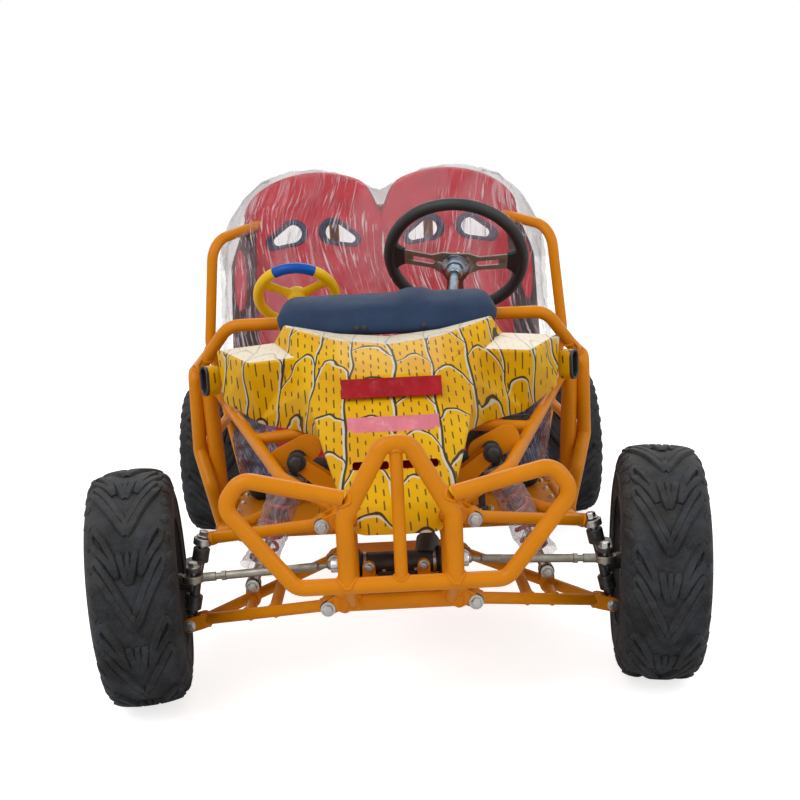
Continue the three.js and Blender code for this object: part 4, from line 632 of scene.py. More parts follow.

# %% [markdown]
# The film over new seats is thin clear plastic, crumpled as it was pulled on. It is a nearly clear sheet with a faint
# milky haze; on its folds and creases a painted highlight stands for the light they catch, white and nearly opaque, so
# its alpha is low on the flats and high on the creases.

# %% Clear film
def film(name, tint, clear=0.1, creased=0.75, scale=1.0, loose=None):
    material, t, shader = finish(name, Roughness=0.22, Specular_IOR_Level=0.5)
    drift = t.vmath("MULTIPLY", t.join(t.noise(t.place(), 2.4 * scale, 1.0), t.noise(t.place(), 1.9 * scale, 1.0),
                                       t.noise(t.place(), 2.7 * scale, 1.0)), (0.26, 0.12, 0.12))
    at = t.vmath("ADD", t.place(), drift)
    haze = t.span(t.noise(t.vmath("MULTIPLY", at, (9.0, 5.0, 3.0)), 1.0 * scale, 3.0, 0.5), 0.44, 0.60, smooth=True)
    line = None
    for stretch, low, high, strength in (((170.0, 24.0, 1.1), 0.56, 0.72, 0.8), ((60.0, 14.0, 1.3), 0.57, 0.74, 0.45),
                                         ((300.0, 40.0, 2.4), 0.55, 0.72, 0.6)):
        value = t.noise(t.vmath("MULTIPLY", at, stretch), 1.0 * scale, 1.0, 0.35)
        streak = t.times(t.span(value, low, high, smooth=True), strength)
        line = streak if line is None else t.larger(line, streak)
    broken = t.span(t.noise(t.place(), 5.0 * scale, 2.0), 0.38, 0.58, 0.25, 1.0, smooth=True)
    line = t.times(line, broken)
    # Painted highlight: the creases are painted white, with a faint milky haze over the flats.
    crease_highlight_and_haze = t.larger(line, t.times(haze, 0.16))
    shown = t.span(crease_highlight_and_haze, 0.0, 1.0, clear, creased)
    colour = t.mix(crease_highlight_and_haze, tint, (0.93, 0.9, 0.92))
    # Where the film hangs clear of the seat it is made greyish white and more opaque: partly the milkiness of loose
    # layers, partly painted light caught by the folds.
    if loose:
        mark = t.node("ShaderNodeAttribute", attribute_name=loose).outputs["Fac"]
        shown = t.larger(shown, t.times(mark, t.span(haze, 0.0, 1.0, 0.36, 0.56)))
        colour = t.mix(t.times(mark, 0.85), colour, (0.58, 0.565, 0.55))
    t.link(colour, shader.inputs["Base Color"])
    t.link(shown, shader.inputs["Alpha"])
    bump(t, shader, t.plus(haze, t.times(line, 0.7)), 0.004)
    return material


clear_film = film("clear_film", (0.9, 0.6, 0.66), 0.06, 0.8, 1.0, "loose")
bubble_film = film("bubble_film", (0.62, 0.42, 0.42), 0.34, 0.8, 3.0)
blue_film = film("blue_film", (0.11, 0.14, 0.27), 0.8, 0.95, 2.0)
print("finishes:", len(bpy.data.materials))

# %% [markdown]
# ## The tube frame
# The real frame is bent steel tube, saddle-cut, welded and powder coated. Each tube is swept along the CAD tube's own
# corner points with smooth bends. Where an end runs into another tube, a rippled bead follows the line in which the
# two skins meet.

# %% Tube table
def twin(points):
    return [(-x, y, z) for x, y, z in points]


def span_of(points):
    """A tube across the middle, from one side's points."""
    return points + twin(points)[::-1]


FRAME_TUBES = {
    "lower_frame": [(span_of([(395, 985, 235), (395, 340, 235)]), 28, 60),
                    (span_of([(395, 640, 235)]), 28, 0), (span_of([(395, 945, 235)]), 28, 0)],
    "nose_frame": [(span_of([(106, -190, 235)]), 28, 0), (span_of([(106, -190, 385)]), 28, 0),
                   (span_of([(106, 200, 385)]), 28, 0)],
    "dash_hoop": [(span_of([(428, 432, 598), (352, 380, 695)]), 28, 55)],
    "shock_braces": [(span_of([(284.2, 150, 477), (142.1, 150, 490)]), 25, 45)],
    "seat_hoop": [(span_of([(405, 935, 235), (477, 935, 610), (452, 935, 880), (250, 1158, 950)]), 28, 70)],
    "engine_cradle": [(span_of([(135, 1222, 565)]), 28, 0), (span_of([(135, 1052, 263.3)]), 25, 0),
                      (span_of([(135, 1140, 263.3)]), 25, 0)],
    "front_bumper": [(span_of([(91, -300, 452), (258, -300, 492), (291, -300, 447), (176, -300, 302)]), 28, 30),
                     (span_of([(91, -300, 302), (91, -300, 416), (22, -300, 541)]), 30, 26),
                     ([(0, -300, 302), (0, -300, 541)], 22, 0)],
    "side_guard_left": [([(477, 935, 588), (440, 425, 588), (440, 425, 408), (412, 372, 335), (395, 400, 235)], 31, 22),
                        ([(438.2, 935, 408), (440, 425, 408)], 25, 0), ([(395, 425, 235), (412, 425, 588)], 36, 0)]}
SIDE_TUBES = {
    "nose_frame": [([(106, -190, 235), (106, 340, 235)], 28, 0), ([(106, -190, 385), (106, 200, 385)], 28, 0),
                   ([(86, -190, 235), (86, -190, 385)], 26, 0), ([(106, 200, 235), (106, 200, 385)], 26, 0)],
    "dash_hoop": [([(106, 200, 385), (229, 380, 695)], 25, 0)],
    "shock_braces": [([(392, 425, 548), (216, -24, 432), (106, -112, 385)], 25, 45)],
    "engine_cradle": [([(135, 945, 235), (135, 1172, 268), (135, 1222, 565), (135, 1158, 950)], 28, 40)],
    "front_bumper": [([(86, -190, 235), (91, -300, 302)], 22, 0), ([(86, -190, 385), (91, -300, 416)], 22, 0)]}
for node, pairs in SIDE_TUBES.items():
    for points, across, bend in pairs:
        FRAME_TUBES[node] += [(points, across, bend), (twin(points), across, bend)]
FRAME_TUBES["side_guard_right"] = [(twin(p), across, bend) for p, across, bend in FRAME_TUBES["side_guard_left"]]
TUBE_LINES = {node: [(bent(p, bend), across / 2) for p, across, bend in table] for node, table in FRAME_TUBES.items()}
print("frame tubes", sum(len(t) for t in TUBE_LINES.values()))


# %% Welds and open ends
def saddle(point, way, radius, a, b, host, count):
    """The closed line in which a tube's skin leaves its host's."""
    d, u, v = axes_of(way)
    along = (b - a).normalized()
    ring = []
    for cos, sin in circle(count):
        p = point + (u * cos + v * sin) * radius
        w = (p - a) - along * (p - a).dot(along)
        e = d - along * d.dot(along)
        first, half, rest = e.dot(e), w.dot(e), w.dot(w) - host * host
        under = max(half * half - first * rest, 0)
        ring.append(p + d * ((math.sqrt(under) - half) / first))
    return ring


def bead(shape, ring, size):
    """A weld's rippled bead along a ring of points."""
    return sweep(shape, ring, [size + 0.5 * (k % 4 in (0, 1)) for k in range(len(ring))], 8, closed=True)


def host_of(end, way, line, lines, reach=8):
    """The tube segment that this end runs into, or None."""
    best = None
    for other, radius in lines:
        if other is line:
            continue
        for a, b in zip(other, other[1:]):
            run = b - a
            if run.length < 1e-6 or abs(run.normalized().dot(way)) > 0.94:
                continue
            share = max(0, min(1, (end - a).dot(run) / run.length_squared))
            gap = (a + run * share - end).length
            if gap < radius + reach and (best is None or gap < best[0]):
                best = (gap, a, b, radius)
    return best


def tubes(shape, own, hosts, plug=None):
    """The own tubes, with a weld bead where an end runs into a host and a plug in each end that is open."""
    for line, radius in own:
        sweep(shape, line, radius, 24)
        for end, inner in ((line[0], line[1]), (line[-1], line[-2])):
            way = (inner - end).normalized()
            found = host_of(end, way, line, hosts)
            if found:
                _, a, b, host = found
                bead(shape, saddle(end, way, radius, a, b, host, 96), 2.2 + radius * 0.04)
            elif plug is not None:
                lathe(shape, [(radius - 1.2, 0), (radius - 1.2, 1.6), (radius - 3, 2.6), (0, 2.8)], end, -way, 24, plug)
    return shape


# %% [markdown]
# Lugs are laser-cut ears with a rounded end round a bolt. A through bolt has a hex head on one side and a locknut on
# the other.

# %% Lugs and bolts
def lug(shape, a, b, radius_a, radius_b, thick, axis, mark=0, bevel=0.7):
    a, b, axis = Vector(a), Vector(b), Vector(axis).normalized()
    u = (b - a).normalized()
    v = axis.cross(u)
    length = (b - a).length
    lean = math.asin(max(-1, min(1, (radius_a - radius_b) / length)))
    outline = []
    for centre, radius, start, sweep_by in ((length, radius_b, -math.pi / 2 + lean, math.pi - 2 * lean),
                                            (0, radius_a, math.pi / 2 - lean, math.pi + 2 * lean)):
        for k in range(13):
            t = start + sweep_by * k / 12
            outline.append((centre + radius * math.cos(t), radius * math.sin(t)))
    return plate(shape, outline, thick, a, u, v, bevel, mark)


def through_bolt(shape, centre, axis, grip, across, mark):
    d = Vector(axis).normalized()
    centre = Vector(centre)
    size = across / 1.8
    rod(shape, centre - d * (grip / 2 + size * 0.9), centre + d * (grip / 2 + size * 0.4), size * 0.48, 20, mark)
    bolt(shape, centre + d * grip / 2, d, across, size * 0.62, mark)
    bolt(shape, centre - d * grip / 2, -d, across, size * 0.75, mark)


def fork(shape, root, eye, radii, half_gap, axis, thick=5, grip=None, across=17, mark=1):
    """Two lugs side by side from root to eye, with a bolt through them where a grip is given."""
    for ear in (-half_gap, half_gap):
        lug(shape, Vector(root) + axis * ear, Vector(eye) + axis * ear, *radii, thick, axis)
    if grip:
        through_bolt(shape, eye, axis, grip, across, mark)


def bush(shape, centre, axis, length, across):
    """A welded sleeve with a rubber bush in it, whose flanges show at both ends."""
    end, r = length / 2, across / 2
    lip = end - 3
    collar(shape, r - 5, r, lip, centre, axis)
    half = [(r - 4, lip - 0.4), (r - 0.6, lip), (r - 0.6, end - 1), (r - 2.2, end), (6.2, end)]
    lathe(shape, [(radius, -at) for radius, at in reversed(half)] + half, centre, axis, 40, 2, closed=True)


# %% Frame pieces
LOWER_EYE, UPPER_EYE, EYES_Y, PIVOT = (133, 221), (136, 373), (-150, 150), (1000, 300)
NOSE_LUGS = (((106, 235), LOWER_EYE), ((106, 385), UPPER_EYE))
TUBE_LOOKS = [powder_orange, zinc, black_plastic]
ALL_FRAME = [one for lines in TUBE_LINES.values() for one in lines]
frame_shapes = {node: tubes(Shape(), own, ALL_FRAME, plug=2) for node, own in TUBE_LINES.items()}

nose = frame_shapes["nose_frame"]
for s in SIDES.values():
    for near, far in NOSE_LUGS:
        for y in EYES_Y:
            fork(nose, (s * near[0], y, near[1]), (s * far[0], y, far[1]), (15, 12), 22.85, Y, grip=51)
    fork(nose, (s * 106, 37, 385), (s * 190, 37, 452), (20, 13), 14.85, Y, grip=35, across=24, mark=2)
    plate(nose, slot_outline((-24, -10), (26, 14), 27), 4, (s * 196, 66, 458), X, UP)
plate(nose, [(-92, -190), (92, -190), (92, 200), (-92, 200)], 3, (0, 0, 235), X, Y, 0.6)
for y in (-120, 140):
    for x in (-70, 70):
        bolt(nose, (x, y, 233.4), -UP, 10, 5, 1)

PEDALS_X, PEDAL_EYE = (190, 272), (306, 268)
low = frame_shapes["lower_frame"]
for at in PEDALS_X:
    fork(low, (at, 340, 235), (at, *PEDAL_EYE), (14, 10), 15.85, X, grip=37, across=15)

cradle = frame_shapes["engine_cradle"]
for s in SIDES.values():
    lug(cradle, (s * 148.15, 1000, 238), (s * 148.15, *PIVOT), 18, 15, 5, X)
    lug(cradle, (s * 135, 1000, 238), (s * 135, *PIVOT), 18, 15, 10, X)
    rod(cradle, (s * 135, *PIVOT), (s * 197, *PIVOT), 6, 20, 1)
    bolt(cradle, (s * 193.6, *PIVOT), (s, 0, 0), 18, 8, 1)
fork(cradle, (0, 1222, 565), (0, 1222, 532), (17, 13), 14.85, X, grip=35)

hoop = frame_shapes["dash_hoop"]
COLUMN_WAY = Vector((0.1415, 0.776, 0.6147)).normalized()
SLEEVE_AT = Vector((136.5, 414.4, 652.1))
collar(hoop, 10.6, 19, 28, SLEEVE_AT, COLUMN_WAY, along=1)
lug(hoop, (136.5, 380, 695), SLEEVE_AT, 15, 17, 10, X)

braces = frame_shapes["shock_braces"]
for s in SIDES.values():
    fork(braces, (s * 106, -112, 388), (s * 113, -106, 401), (11, 11), 15, X, thick=4)

for node, shape in frame_shapes.items():
    piece(node + "_tubes", shape, TUBE_LOOKS, "frame", [node])
print("frame pieces", len(frame_shapes))

# %% [markdown]
# ## Wheels
# The tyres are low, wide and knobbly. A turned carcass carries raised ridges that are laid along its curved skin, so
# the tread follows the shoulder. Two kinds of V take turns: one whose double arms reach the shoulder, and a short one
# with a separate forked lug on each side.

# %% Tyre skin
RIM, TYRE = 101.5, 228.5
TREAD_PAIRS, TREAD_PITCH = 8, 184.0


class Skin:
    """The tyre's smooth skin: a point by its distance from the crown, its way round and its height."""

    def __init__(self, centre, axis, width, rim_half):
        self.centre, self.axis = Vector(centre), Vector(axis).normalized()
        self.front = (self.axis * self.axis.y - Y).normalized()
        self.above = self.front.cross(self.axis)
        if self.above.z < 0:
            self.above = -self.above
        shares = [(-0.4, 0.925), (-0.2, 0.985), (0, 1), (0.2, 0.985), (0.4, 0.925), (0.485, 0.76), (0.5, 0.5),
                  (0.47, 0.24)]
        marks = [Vector((w * width, RIM + h * (TYRE - RIM))) for w, h in shares]
        marks += [Vector((rim_half + 3, RIM + 12)), Vector((rim_half - 4, RIM + 3))]
        line = []
        for i in range(1, len(marks) - 2):
            p0, p1, p2, p3 = marks[i - 1:i + 3]
            for k in range(8):
                t = k / 8
                line.append(0.5 * (2 * p1 + (p2 - p0) * t + (2 * p0 - 5 * p1 + 4 * p2 - p3) * t ** 2
                                   + (3 * p1 - p0 - 3 * p2 + p3) * t ** 3))
        line += marks[-2:]
        self.line = [p for p in line if p.x >= -1e-6]
        runs = [0.0]
        for a, b in zip(self.line, self.line[1:]):
            runs.append(runs[-1] + (b - a).length)
        self.runs = runs

    def outline(self, s):
        i = max(k for k in range(len(self.runs) - 1) if self.runs[k] <= s)
        t = (s - self.runs[i]) / (self.runs[i + 1] - self.runs[i])
        a, b = self.line[i], self.line[i + 1]
        way = (b - a).normalized()
        return a.lerp(b, min(1, t)), Vector((-way.y, way.x))

    def sunk(self, s):
        """How far the carcass lies under the ridges' tops."""
        return 8.5 - 5.5 * min(1, max(0, (s - 70) / 45))

    def at(self, s, around, lift):
        side = -1 if s < 0 else 1
        p, n = self.outline(abs(s))
        p = p + n * (lift - self.sunk(abs(s)))
        turn = 2 * math.pi * around / (TREAD_PAIRS * TREAD_PITCH)
        radial = self.front * math.cos(turn) + self.above * math.sin(turn)
        return self.centre + self.axis * (p.x * side) + radial * p.y


RIDGE_SECTION = ((-1.5, -0.35), (-1.12, 0.62), (-0.72, 1.0), (0.72, 1.0), (1.12, 0.62), (1.5, -0.35))


def ridge(shape, skin, path, wide, tall, side, stretch, shift):
    """One raised bar of the tread, along a path of distance from the crown and way round the tyre."""
    points = [Vector((x * stretch, c)) for x, c in path]
    line = [points[0]]
    for a, b in zip(points, points[1:]):
        steps = max(1, int((b - a).length / 7))
        line += [a.lerp(b, (k + 1) / steps) for k in range(steps)]
    rings = []
    last = len(line) - 1
    for i, p in enumerate(line):
        a, b = line[max(0, i - 1)], line[min(last, i + 1)]
        way = (b - a).normalized()
        across = Vector((-way.y, way.x))
        end = i in (0, last)
        w, h = (wide * 0.8, tall * 0.5) if end else (wide, tall)
        q = p + way * (wide * 0.5) * (1 if i == last else -1 if i == 0 else 0)
        spots = [(q + across * (u * w), v * h if v > 0 else -2.5) for u, v in RIDGE_SECTION]
        rings.append([skin.at(side * max(spot.x, 0.0), spot.y + shift, lift) for spot, lift in spots])
    loft(shape, rings)


TREAD = (([(1, 0), (14, 22), (33, 60), (52, 92), (67, 116)], 7.2, 6.8),
         ([(1, 27), (13, 46), (28, 78), (46, 112), (63, 141)], 6.6, 7.0),
         ([(67, 116), (71, 129), (63, 141)], 6.0, 6.6), ([(31, 58), (27, 76)], 5.6, 5.6), ([(0, 2), (0, 34)], 6.0, 6.6),
         ([(1, 90), (8, 110), (17, 146)], 6.6, 6.8), ([(0, 100), (0, 146)], 5.0, 6.6),
         ([(23, 104), (35, 127), (52, 150), (68, 170)], 6.8, 7.0),
         ([(23, 104), (30, 140), (45, 174), (62, 200)], 6.4, 7.0),
         ([(68, 170), (72, 186), (62, 200)], 6.0, 6.6), ([(78, 28), (92, 40), (104, 47)], 7.8, 2.6),
         ([(80, 76), (93, 88), (104, 94)], 7.8, 2.6), ([(78, 122), (92, 134), (104, 141)], 7.8, 2.6),
         ([(82, 168), (93, 180), (104, 186)], 7.8, 2.6))


def tyre(centre, axis, width, rim_half, phase):
    shape = Shape()
    skin = Skin(centre, axis, width, rim_half)
    bulge = []
    for s in (skin.runs[-1] * k / 26 for k in range(27)):
        p, n = skin.outline(s)
        bulge.append(p - n * skin.sunk(s))
    inner = [(RIM + 1.5, rim_half - 6), (TYRE - 22, width * 0.36), (TYRE - 18, 0), (TYRE - 22, -width * 0.36),
             (RIM + 1.5, 6 - rim_half)]
    profile = [(p.y, -p.x) for p in bulge[::-1]] + [(p.y, p.x) for p in bulge[1:]] + inner
    lathe(shape, profile, centre, axis, 128, closed=True)
    for radius, x in ((RIM + 24, 0.476), (RIM + 66, 0.496)):
        for side in (-1, 1):
            torus(shape, Vector(centre) + Vector(axis).normalized() * (side * (width * x - 2.4)), axis, radius, 2.4,
                  96, 8)
    stretch = width / 178
    for pair in range(TREAD_PAIRS):
        for side in (-1, 1):
            for path, wide, tall in TREAD:
                ridge(shape, skin, path, wide * (0.5 + stretch / 2), tall, side, stretch, pair * TREAD_PITCH + phase)
    return shape


# %% [markdown]
# The rims are pressed steel: two rolled lips, a well between them and a dished disc with a hub, held by four nuts.

# %% Rims and hubs
def rim(centre, axis, width, hub, hub_length, bore):
    shape = Shape()
    edge, well = width / 2, RIM - 12
    disc, wall = edge / 2, 5
    hub_edge = min(hub_length / 2, edge)
    lip = [(well, disc - 3), (well + 2, disc + 3), (RIM, edge - 12), (RIM + 1, edge - 5), (RIM + 8.5, edge - 4.5),
           (RIM + 9, edge - 2), (RIM + 7.5, edge), (RIM - wall, edge - 3)]
    profile = [(well - wall, disc - 2), (well - wall, -disc)] + [(r, -at) for r, at in reversed(lip)]
    profile += lip + [(well - wall, disc + 3)]
    lathe(shape, profile, centre, axis, 96, closed=True)
    dish = [(bore, -hub_edge), (hub / 2 - 2, -hub_edge), (hub / 2, -hub_edge + 2), (hub / 2, disc - wall - 4),
            (hub / 2 + 6, disc - wall), (62, disc - wall), (74, disc - wall - 2), (well - wall, disc - wall - 2),
            (well - wall, disc + 2), (74, disc + wall - 1), (60, disc + wall), (46, disc + wall - 1), (42, disc + 1),
            (bore, disc + 1)]
    lathe(shape, dish, centre, axis, 96, closed=True)
    d, a, b = axes_of(axis)
    for cos, sin in circle(4, math.pi / 4):
        bolt(shape, Vector(centre) + (a * cos + b * sin) * 54 + d * (disc + wall), d, 17, 11, 1)
    for cos, sin in circle(12):
        spot = Vector(centre) + (a * cos + b * sin) * 72 + d * (disc + wall - 1.2)
        lathe(shape, [(7, 0), (6.2, 0.9), (4.6, 0.6), (4.6, -3), (7, -3)], spot, d, 20)
    rod(shape, Vector(centre) + d * (disc + 1), Vector(centre) + d * (disc + 16), bore + 9, 32, 1, 2)
    valve = Vector(centre) + a * (well - 9) + d * (disc + wall)
    rod(shape, valve, valve + d * 22 + a * 2, 4, 16, 2)
    return shape


FRONT_Z, CAMBER, TOE = 228.3, math.radians(2.4), math.radians(8)
REAR_Y, AXLE_Z = 1300, 228.5
RIM_LOOKS = [black_paint, zinc, black_plastic]


def front_axis(s):
    return Vector((s * math.cos(CAMBER) * math.cos(TOE), -math.cos(CAMBER) * math.sin(TOE), -math.sin(CAMBER)))


for side, s in SIDES.items():
    axis = front_axis(s)
    front, rear = Vector((s * 502, 0, FRONT_Z)), Vector((s * 500, REAR_Y, AXLE_Z))
    piece(f"front_tyre_{side}_tread", tyre(front, axis, 165, 65, 31 + 47 * s), [rubber], f"front_wheel_{side}",
          [f"front_tyre_{side}"], sharp=42)
    piece(f"front_rim_{side}_disc", rim(front, axis, 130, 62, 96, 12.4), RIM_LOOKS, f"front_wheel_{side}",
          [f"front_rim_{side}"])
    piece(f"rear_tyre_{side}_tread", tyre(rear, (s, 0, 0), 235, 95, 20 * s), [rubber], "rear_axle",
          [f"rear_tyre_{side}"], sharp=42)
    piece(f"rear_rim_{side}_disc", rim(rear, (s, 0, 0), 190, 70, 120, 15.2), RIM_LOOKS, "rear_axle",
          [f"rear_rim_{side}"])
print("wheels done")

# %% [markdown]
# ## Front suspension
# Each corner has two tube wishbones on rubber bushes, an upright between ball joints, a coil spring shock and a tie
# rod.

# %% Wishbones
PINCH, BALL_JOINT = Vector((-0.2087, 0, 0.978)), (412, 0, 147)


def flip(point, s):
    return Vector((point[0] * s, point[1], point[2]))


def wishbone(eye, heel, shares, s):
    """Two legs from bushed eyes to the heel, tied by cross tubes at shares of the legs' length."""
    arm = Shape()
    pivots = [flip((eye[0], y, eye[1]), s) for y in EYES_Y]
    legs = []
    for pivot in pivots:
        bush(arm, pivot, Y, 40, 30)
        legs.append(([pivot + (heel - pivot).normalized() * 12, heel], 11))
    legs += [([pivot.lerp(heel, share) for pivot in pivots], 11) for share in shares]
    tubes(arm, legs, legs + [([pivot - Y * 15, pivot + Y * 15], 15) for pivot in pivots])
    return arm


for side, s in SIDES.items():
    heel = flip((384.9, 0, 154.2), s)
    arm = wishbone(LOWER_EYE, heel, (0.42, (290 - 133) / (384.9 - 133)), s)
    block(arm, heel - X * (s * 3.5), (24, 28.6, 25), 3)
    fork(arm, heel, flip(BALL_JOINT, s), (14, 14), 12.35, Y, thick=6, grip=31, across=15)
    fork(arm, flip((290, 37, 182), s), flip((290, 37, 209), s), (15, 13), 14.85, Y, grip=35)
    piece(f"lower_arm_{side}_tubes", arm, TUBE_LOOKS, f"lower_arm_{side}", [f"lower_arm_{side}"])
    heel, tip = flip((359.6, 0, 315.5), s), flip((377, 0, 311), s)
    arm = wishbone(UPPER_EYE, heel, (0.74,), s)
    out = (tip - heel).normalized()
    rod(arm, heel - out * 9, tip - out * 15.5, 9, 24, 1)
    for k in range(3):
        near = heel.lerp(tip, k * 0.09)
        rod(arm, near, near + out * 1.1, 10.4, 24, 1, 0.4)
    collar(arm, 9.6, 18, 6.5, tip, flip(PINCH, s), mark=1)
    piece(f"upper_arm_{side}_tubes", arm, TUBE_LOOKS, f"upper_arm_{side}", [f"upper_arm_{side}"])

# %% [markdown]
# The upright is black cast steel: two bosses on the kingpin line, a web between them, the spindle and the steering arm.

# %% Uprights and ball joints
for side, s in SIDES.items():
    low = flip(BALL_JOINT, s)
    pinch = flip(PINCH, s).normalized()
    top = low + pinch * 167.7
    joint = Shape()
    collar(joint, 6.4, 11, 9, low, Y, 32)
    rod(joint, low + pinch * 8, low + pinch * 56, 7.5, 24, 0, 1.2)
    lathe(joint, [(7.6, 20), (8.8, 20), (10.2, 24), (10.2, 27), (9.2, 29.4), (7.6, 29.4)], low, pinch, 32, 1,
          closed=True)
    piece(f"ball_joint_{side}_stud", joint, [bright_zinc, black_plastic], f"ball_joint_{side}", [f"ball_joint_{side}"])
    wheel_axis = front_axis(s)
    centre = Vector((s * 502, 0, FRONT_Z))
    start = centre - wheel_axis * 68
    upright = Shape()
    for at, bore in ((45, 7.9), (140.7, 6.2)):
        collar(upright, bore, 16, 14, low + pinch * at, pinch, bevel=1.5)
    web = [low + pinch * k for k in (50, 92, 136)]
    web[1] = web[1] + wheel_axis * 1.5
    sweep(upright, bent(web, 60), 10, 24)
    rod(upright, low + pinch * 136, top + pinch * 3, 6.5, 20, 1)
    bolt(upright, top + pinch * 9.5, pinch, 17, 9, 1)
    mid = low + pinch * ((start - low).dot(pinch))
    rod(upright, mid + (start - mid) * 0.02, start, 16, 32, 0, 2)
    lathe(upright, [(12, 0), (29.5, 0), (31, 1.5), (31, 8.5), (29.5, 10), (12, 10)], start, wheel_axis)
    rod(upright, start + wheel_axis * 8, centre + wheel_axis * 44, 12, 32, 1, 1.5)
    tie = flip((389, -60, 272.5), s)
    root = Vector((mid.x, 0, 272.5))
    lug(upright, root, tie, 17, 15, 9, UP, 0, 1.2)
    rod(upright, tie + Vector((0, 0, 6)), tie - Vector((0, 0, 29)), 6, 20, 1)
    bolt(upright, tie + Vector((0, 0, 4.5)), UP, 17, 8, 1)
    piece(f"knuckle_{side}_upright", upright, [black_paint, zinc], f"knuckle_{side}", [f"knuckle_{side}"])
print("corners done")

# %% [markdown]
# A coil spring shock has a body with an eye at its top, a rod with an eye at its low end, a seat for the spring on
# each, and the spring between. The spring rides with the body, as the CAD's does. On this new kart the shocks are
# still wrapped.

# %% Shocks
def eye(shape, at, axis, mark):
    """A shock's eye, with a rubber bush that stands a little proud at both ends."""
    collar(shape, 6.3, 15, 12, at, axis, mark=mark)
    lathe(shape, [(6.3, -12.6), (10.6, -12.6), (10.6, 12.6), (6.3, 12.6)], at, axis, 32, mark + 1, closed=True)


def shock(name, top, low, body, rod_body, nodes, wrapped):
    """A shock from its top eye to its low one. The front ones are bolted along the kart, the rear one across."""
    top, low = Vector(top), Vector(low)
    way, length, across = (low - top).normalized(), (low - top).length, Y if wrapped else X
    upper = Shape()
    eye(upper, top, across, 0)
    profile = [(0, 11), (10, 12), (10, 24), (15, 30), (17, 34), (17, 43), (26, 44), (26, 48.5), (24.5, 50),
               (17.4, 50.4), (17, 54), (17, 124), (15.5, 127), (7.6, 127.2), (7.6, 40)]
    lathe(upper, profile, top, way)
    for rib in (56 + k * 3.2 for k in range(9)):
        lathe(upper, [(16.6, rib), (17.5, rib + 1.2), (16.6, rib + 2.4)], top, way, 40, closed=True)
    piece(name + "_body_tube", upper, [black_paint, black_plastic], body, [nodes[0]])
    lower = Shape()
    eye(lower, low, across, 1)
    seat = length - 54
    lathe(lower, [(0, 87), (6.2, 87), (7, 88), (7, seat - 3), (17, seat - 2.4), (26, seat - 1), (26, seat + 3.6),
                  (24.5, seat + 5), (12, seat + 6), (10, seat + 9), (10, length - 12), (0, length - 11)], top, way)
    piece(name + "_rod_end", lower, [bright_zinc, black_paint, black_plastic], rod_body, [nodes[1]])
    spring = Shape()
    coil(spring, top + way * 51.4, way, seat - 2 - 51.4, 42, 7.6, 6.0 if wrapped else 6.5)
    piece(name + "_coil", spring, [gloss_red], body, [nodes[2]])


SHOCK_TOP, SHOCK_LOW = (190, 37, 452), (290, 37, 209)
for side, s in SIDES.items():
    shock(f"shock_{side}", flip(SHOCK_TOP, s), flip(SHOCK_LOW, s), f"shock_{side}", f"shock_rod_{side}",
          (f"shock_body_{side}", f"shock_rod_{side}", f"spring_{side}"), True)
shock("rear_shock", (0, 1222, 532), (0, 1208, 290), "rear_shock", "rear_shock_rod",
      ("rear_shock_body", "rear_shock_rod", "rear_spring"), False)


# %% [markdown]
# The tie rods are zinc plated, with hex flats to turn them, a jam nut and an eye at the wheel, and a ball in the
# rack's cup.

# %% Tie rods and rack
for side, s in SIDES.items():
    inner, outer = flip((130, -60, 268), s), flip((389, -60, 256), s)
    way = (outer - inner).normalized()
    length = (outer - inner).length
    tie = Shape()
    ball(tie, inner, 9)
    lathe(tie, [(0, 4), (5, 5), (5, 22), (8, 26), (8, 60), (8, 61)], inner, way, 32)
    for low, radius, start, end, chamfer, sides in (
            (5, 8.9, 58, 94, 2, 6), (6, 8, 92, length - 61, 1, 32), (5, 10.5, length - 62, length - 52, 1, 6),
            (5, 6.3, length - 54, length - 41, 1, 32), (5, 8.6, length - 43, length - 18, 1, 32)):
        lathe(tie, [(low, start), (radius, start + chamfer), (radius, end - chamfer), (low, end)], inner, way, sides)
    collar(tie, 13.8, 21, 6.3, outer, UP, bevel=0.7, along=0.8)
    piece(f"tie_rod_{side}_link", tie, [dull_zinc], f"tie_rod_{side}", [f"tie_rod_{side}"])

RACK = (0, -60, 268)
bar = Shape()
rod(bar, (-110, -60, 268), (110, -60, 268), 8, 32)
for s in SIDES.values():
    lathe(bar, [(0, 104), (8, 104), (12.5, 108), (14, 110), (14, 128), (13, 130), (9.4, 130.2), (9.4, 118), (0, 118)],
          RACK, (s, 0, 0), 40)
piece("rack_bar_shaft", bar, [bright_zinc], "rack", ["rack_bar"])

box = Shape()
lathe(box, [(0, -76), (19, -76), (21, -74), (21, 74), (19, 76), (0, 76)], RACK, X)
for s in SIDES.values():
    for k in range(4):
        at = 76 + k * 5.5
        lathe(box, [(12, at - 4.5), (24, at - 3.8), (28.6 - k * 0.6, at - 1.2), (28.6 - k * 0.6, at + 0.4),
                    (24, at + 2.4), (12, at + 3)], RACK, (s, 0, 0))
    lathe(box, [(20.6, 62), (22.4, 62.4), (22.4, 67.6), (20.6, 68)], RACK, (s, 0, 0), 48, 1, closed=True)
TOWER = Vector((50, -60, 276.35))
lathe(box, [(0, 0), (20.5, 0), (22, 1.5), (22, 40), (18, 46), (14, 48), (14, 53), (10.8, 54), (10.8, 44), (0, 44)],
      TOWER, COLUMN_WAY)
block(box, (0, -60, 247), (84, 42, 19), 2)
for x in (-30, 30):
    for y in (-76, -44):
        rod(box, (x, y, 256), (x, y, 262), 5, 6, 1)
piece("rack_housing_case", box, [black_plastic, zinc], "frame", ["rack_housing"])

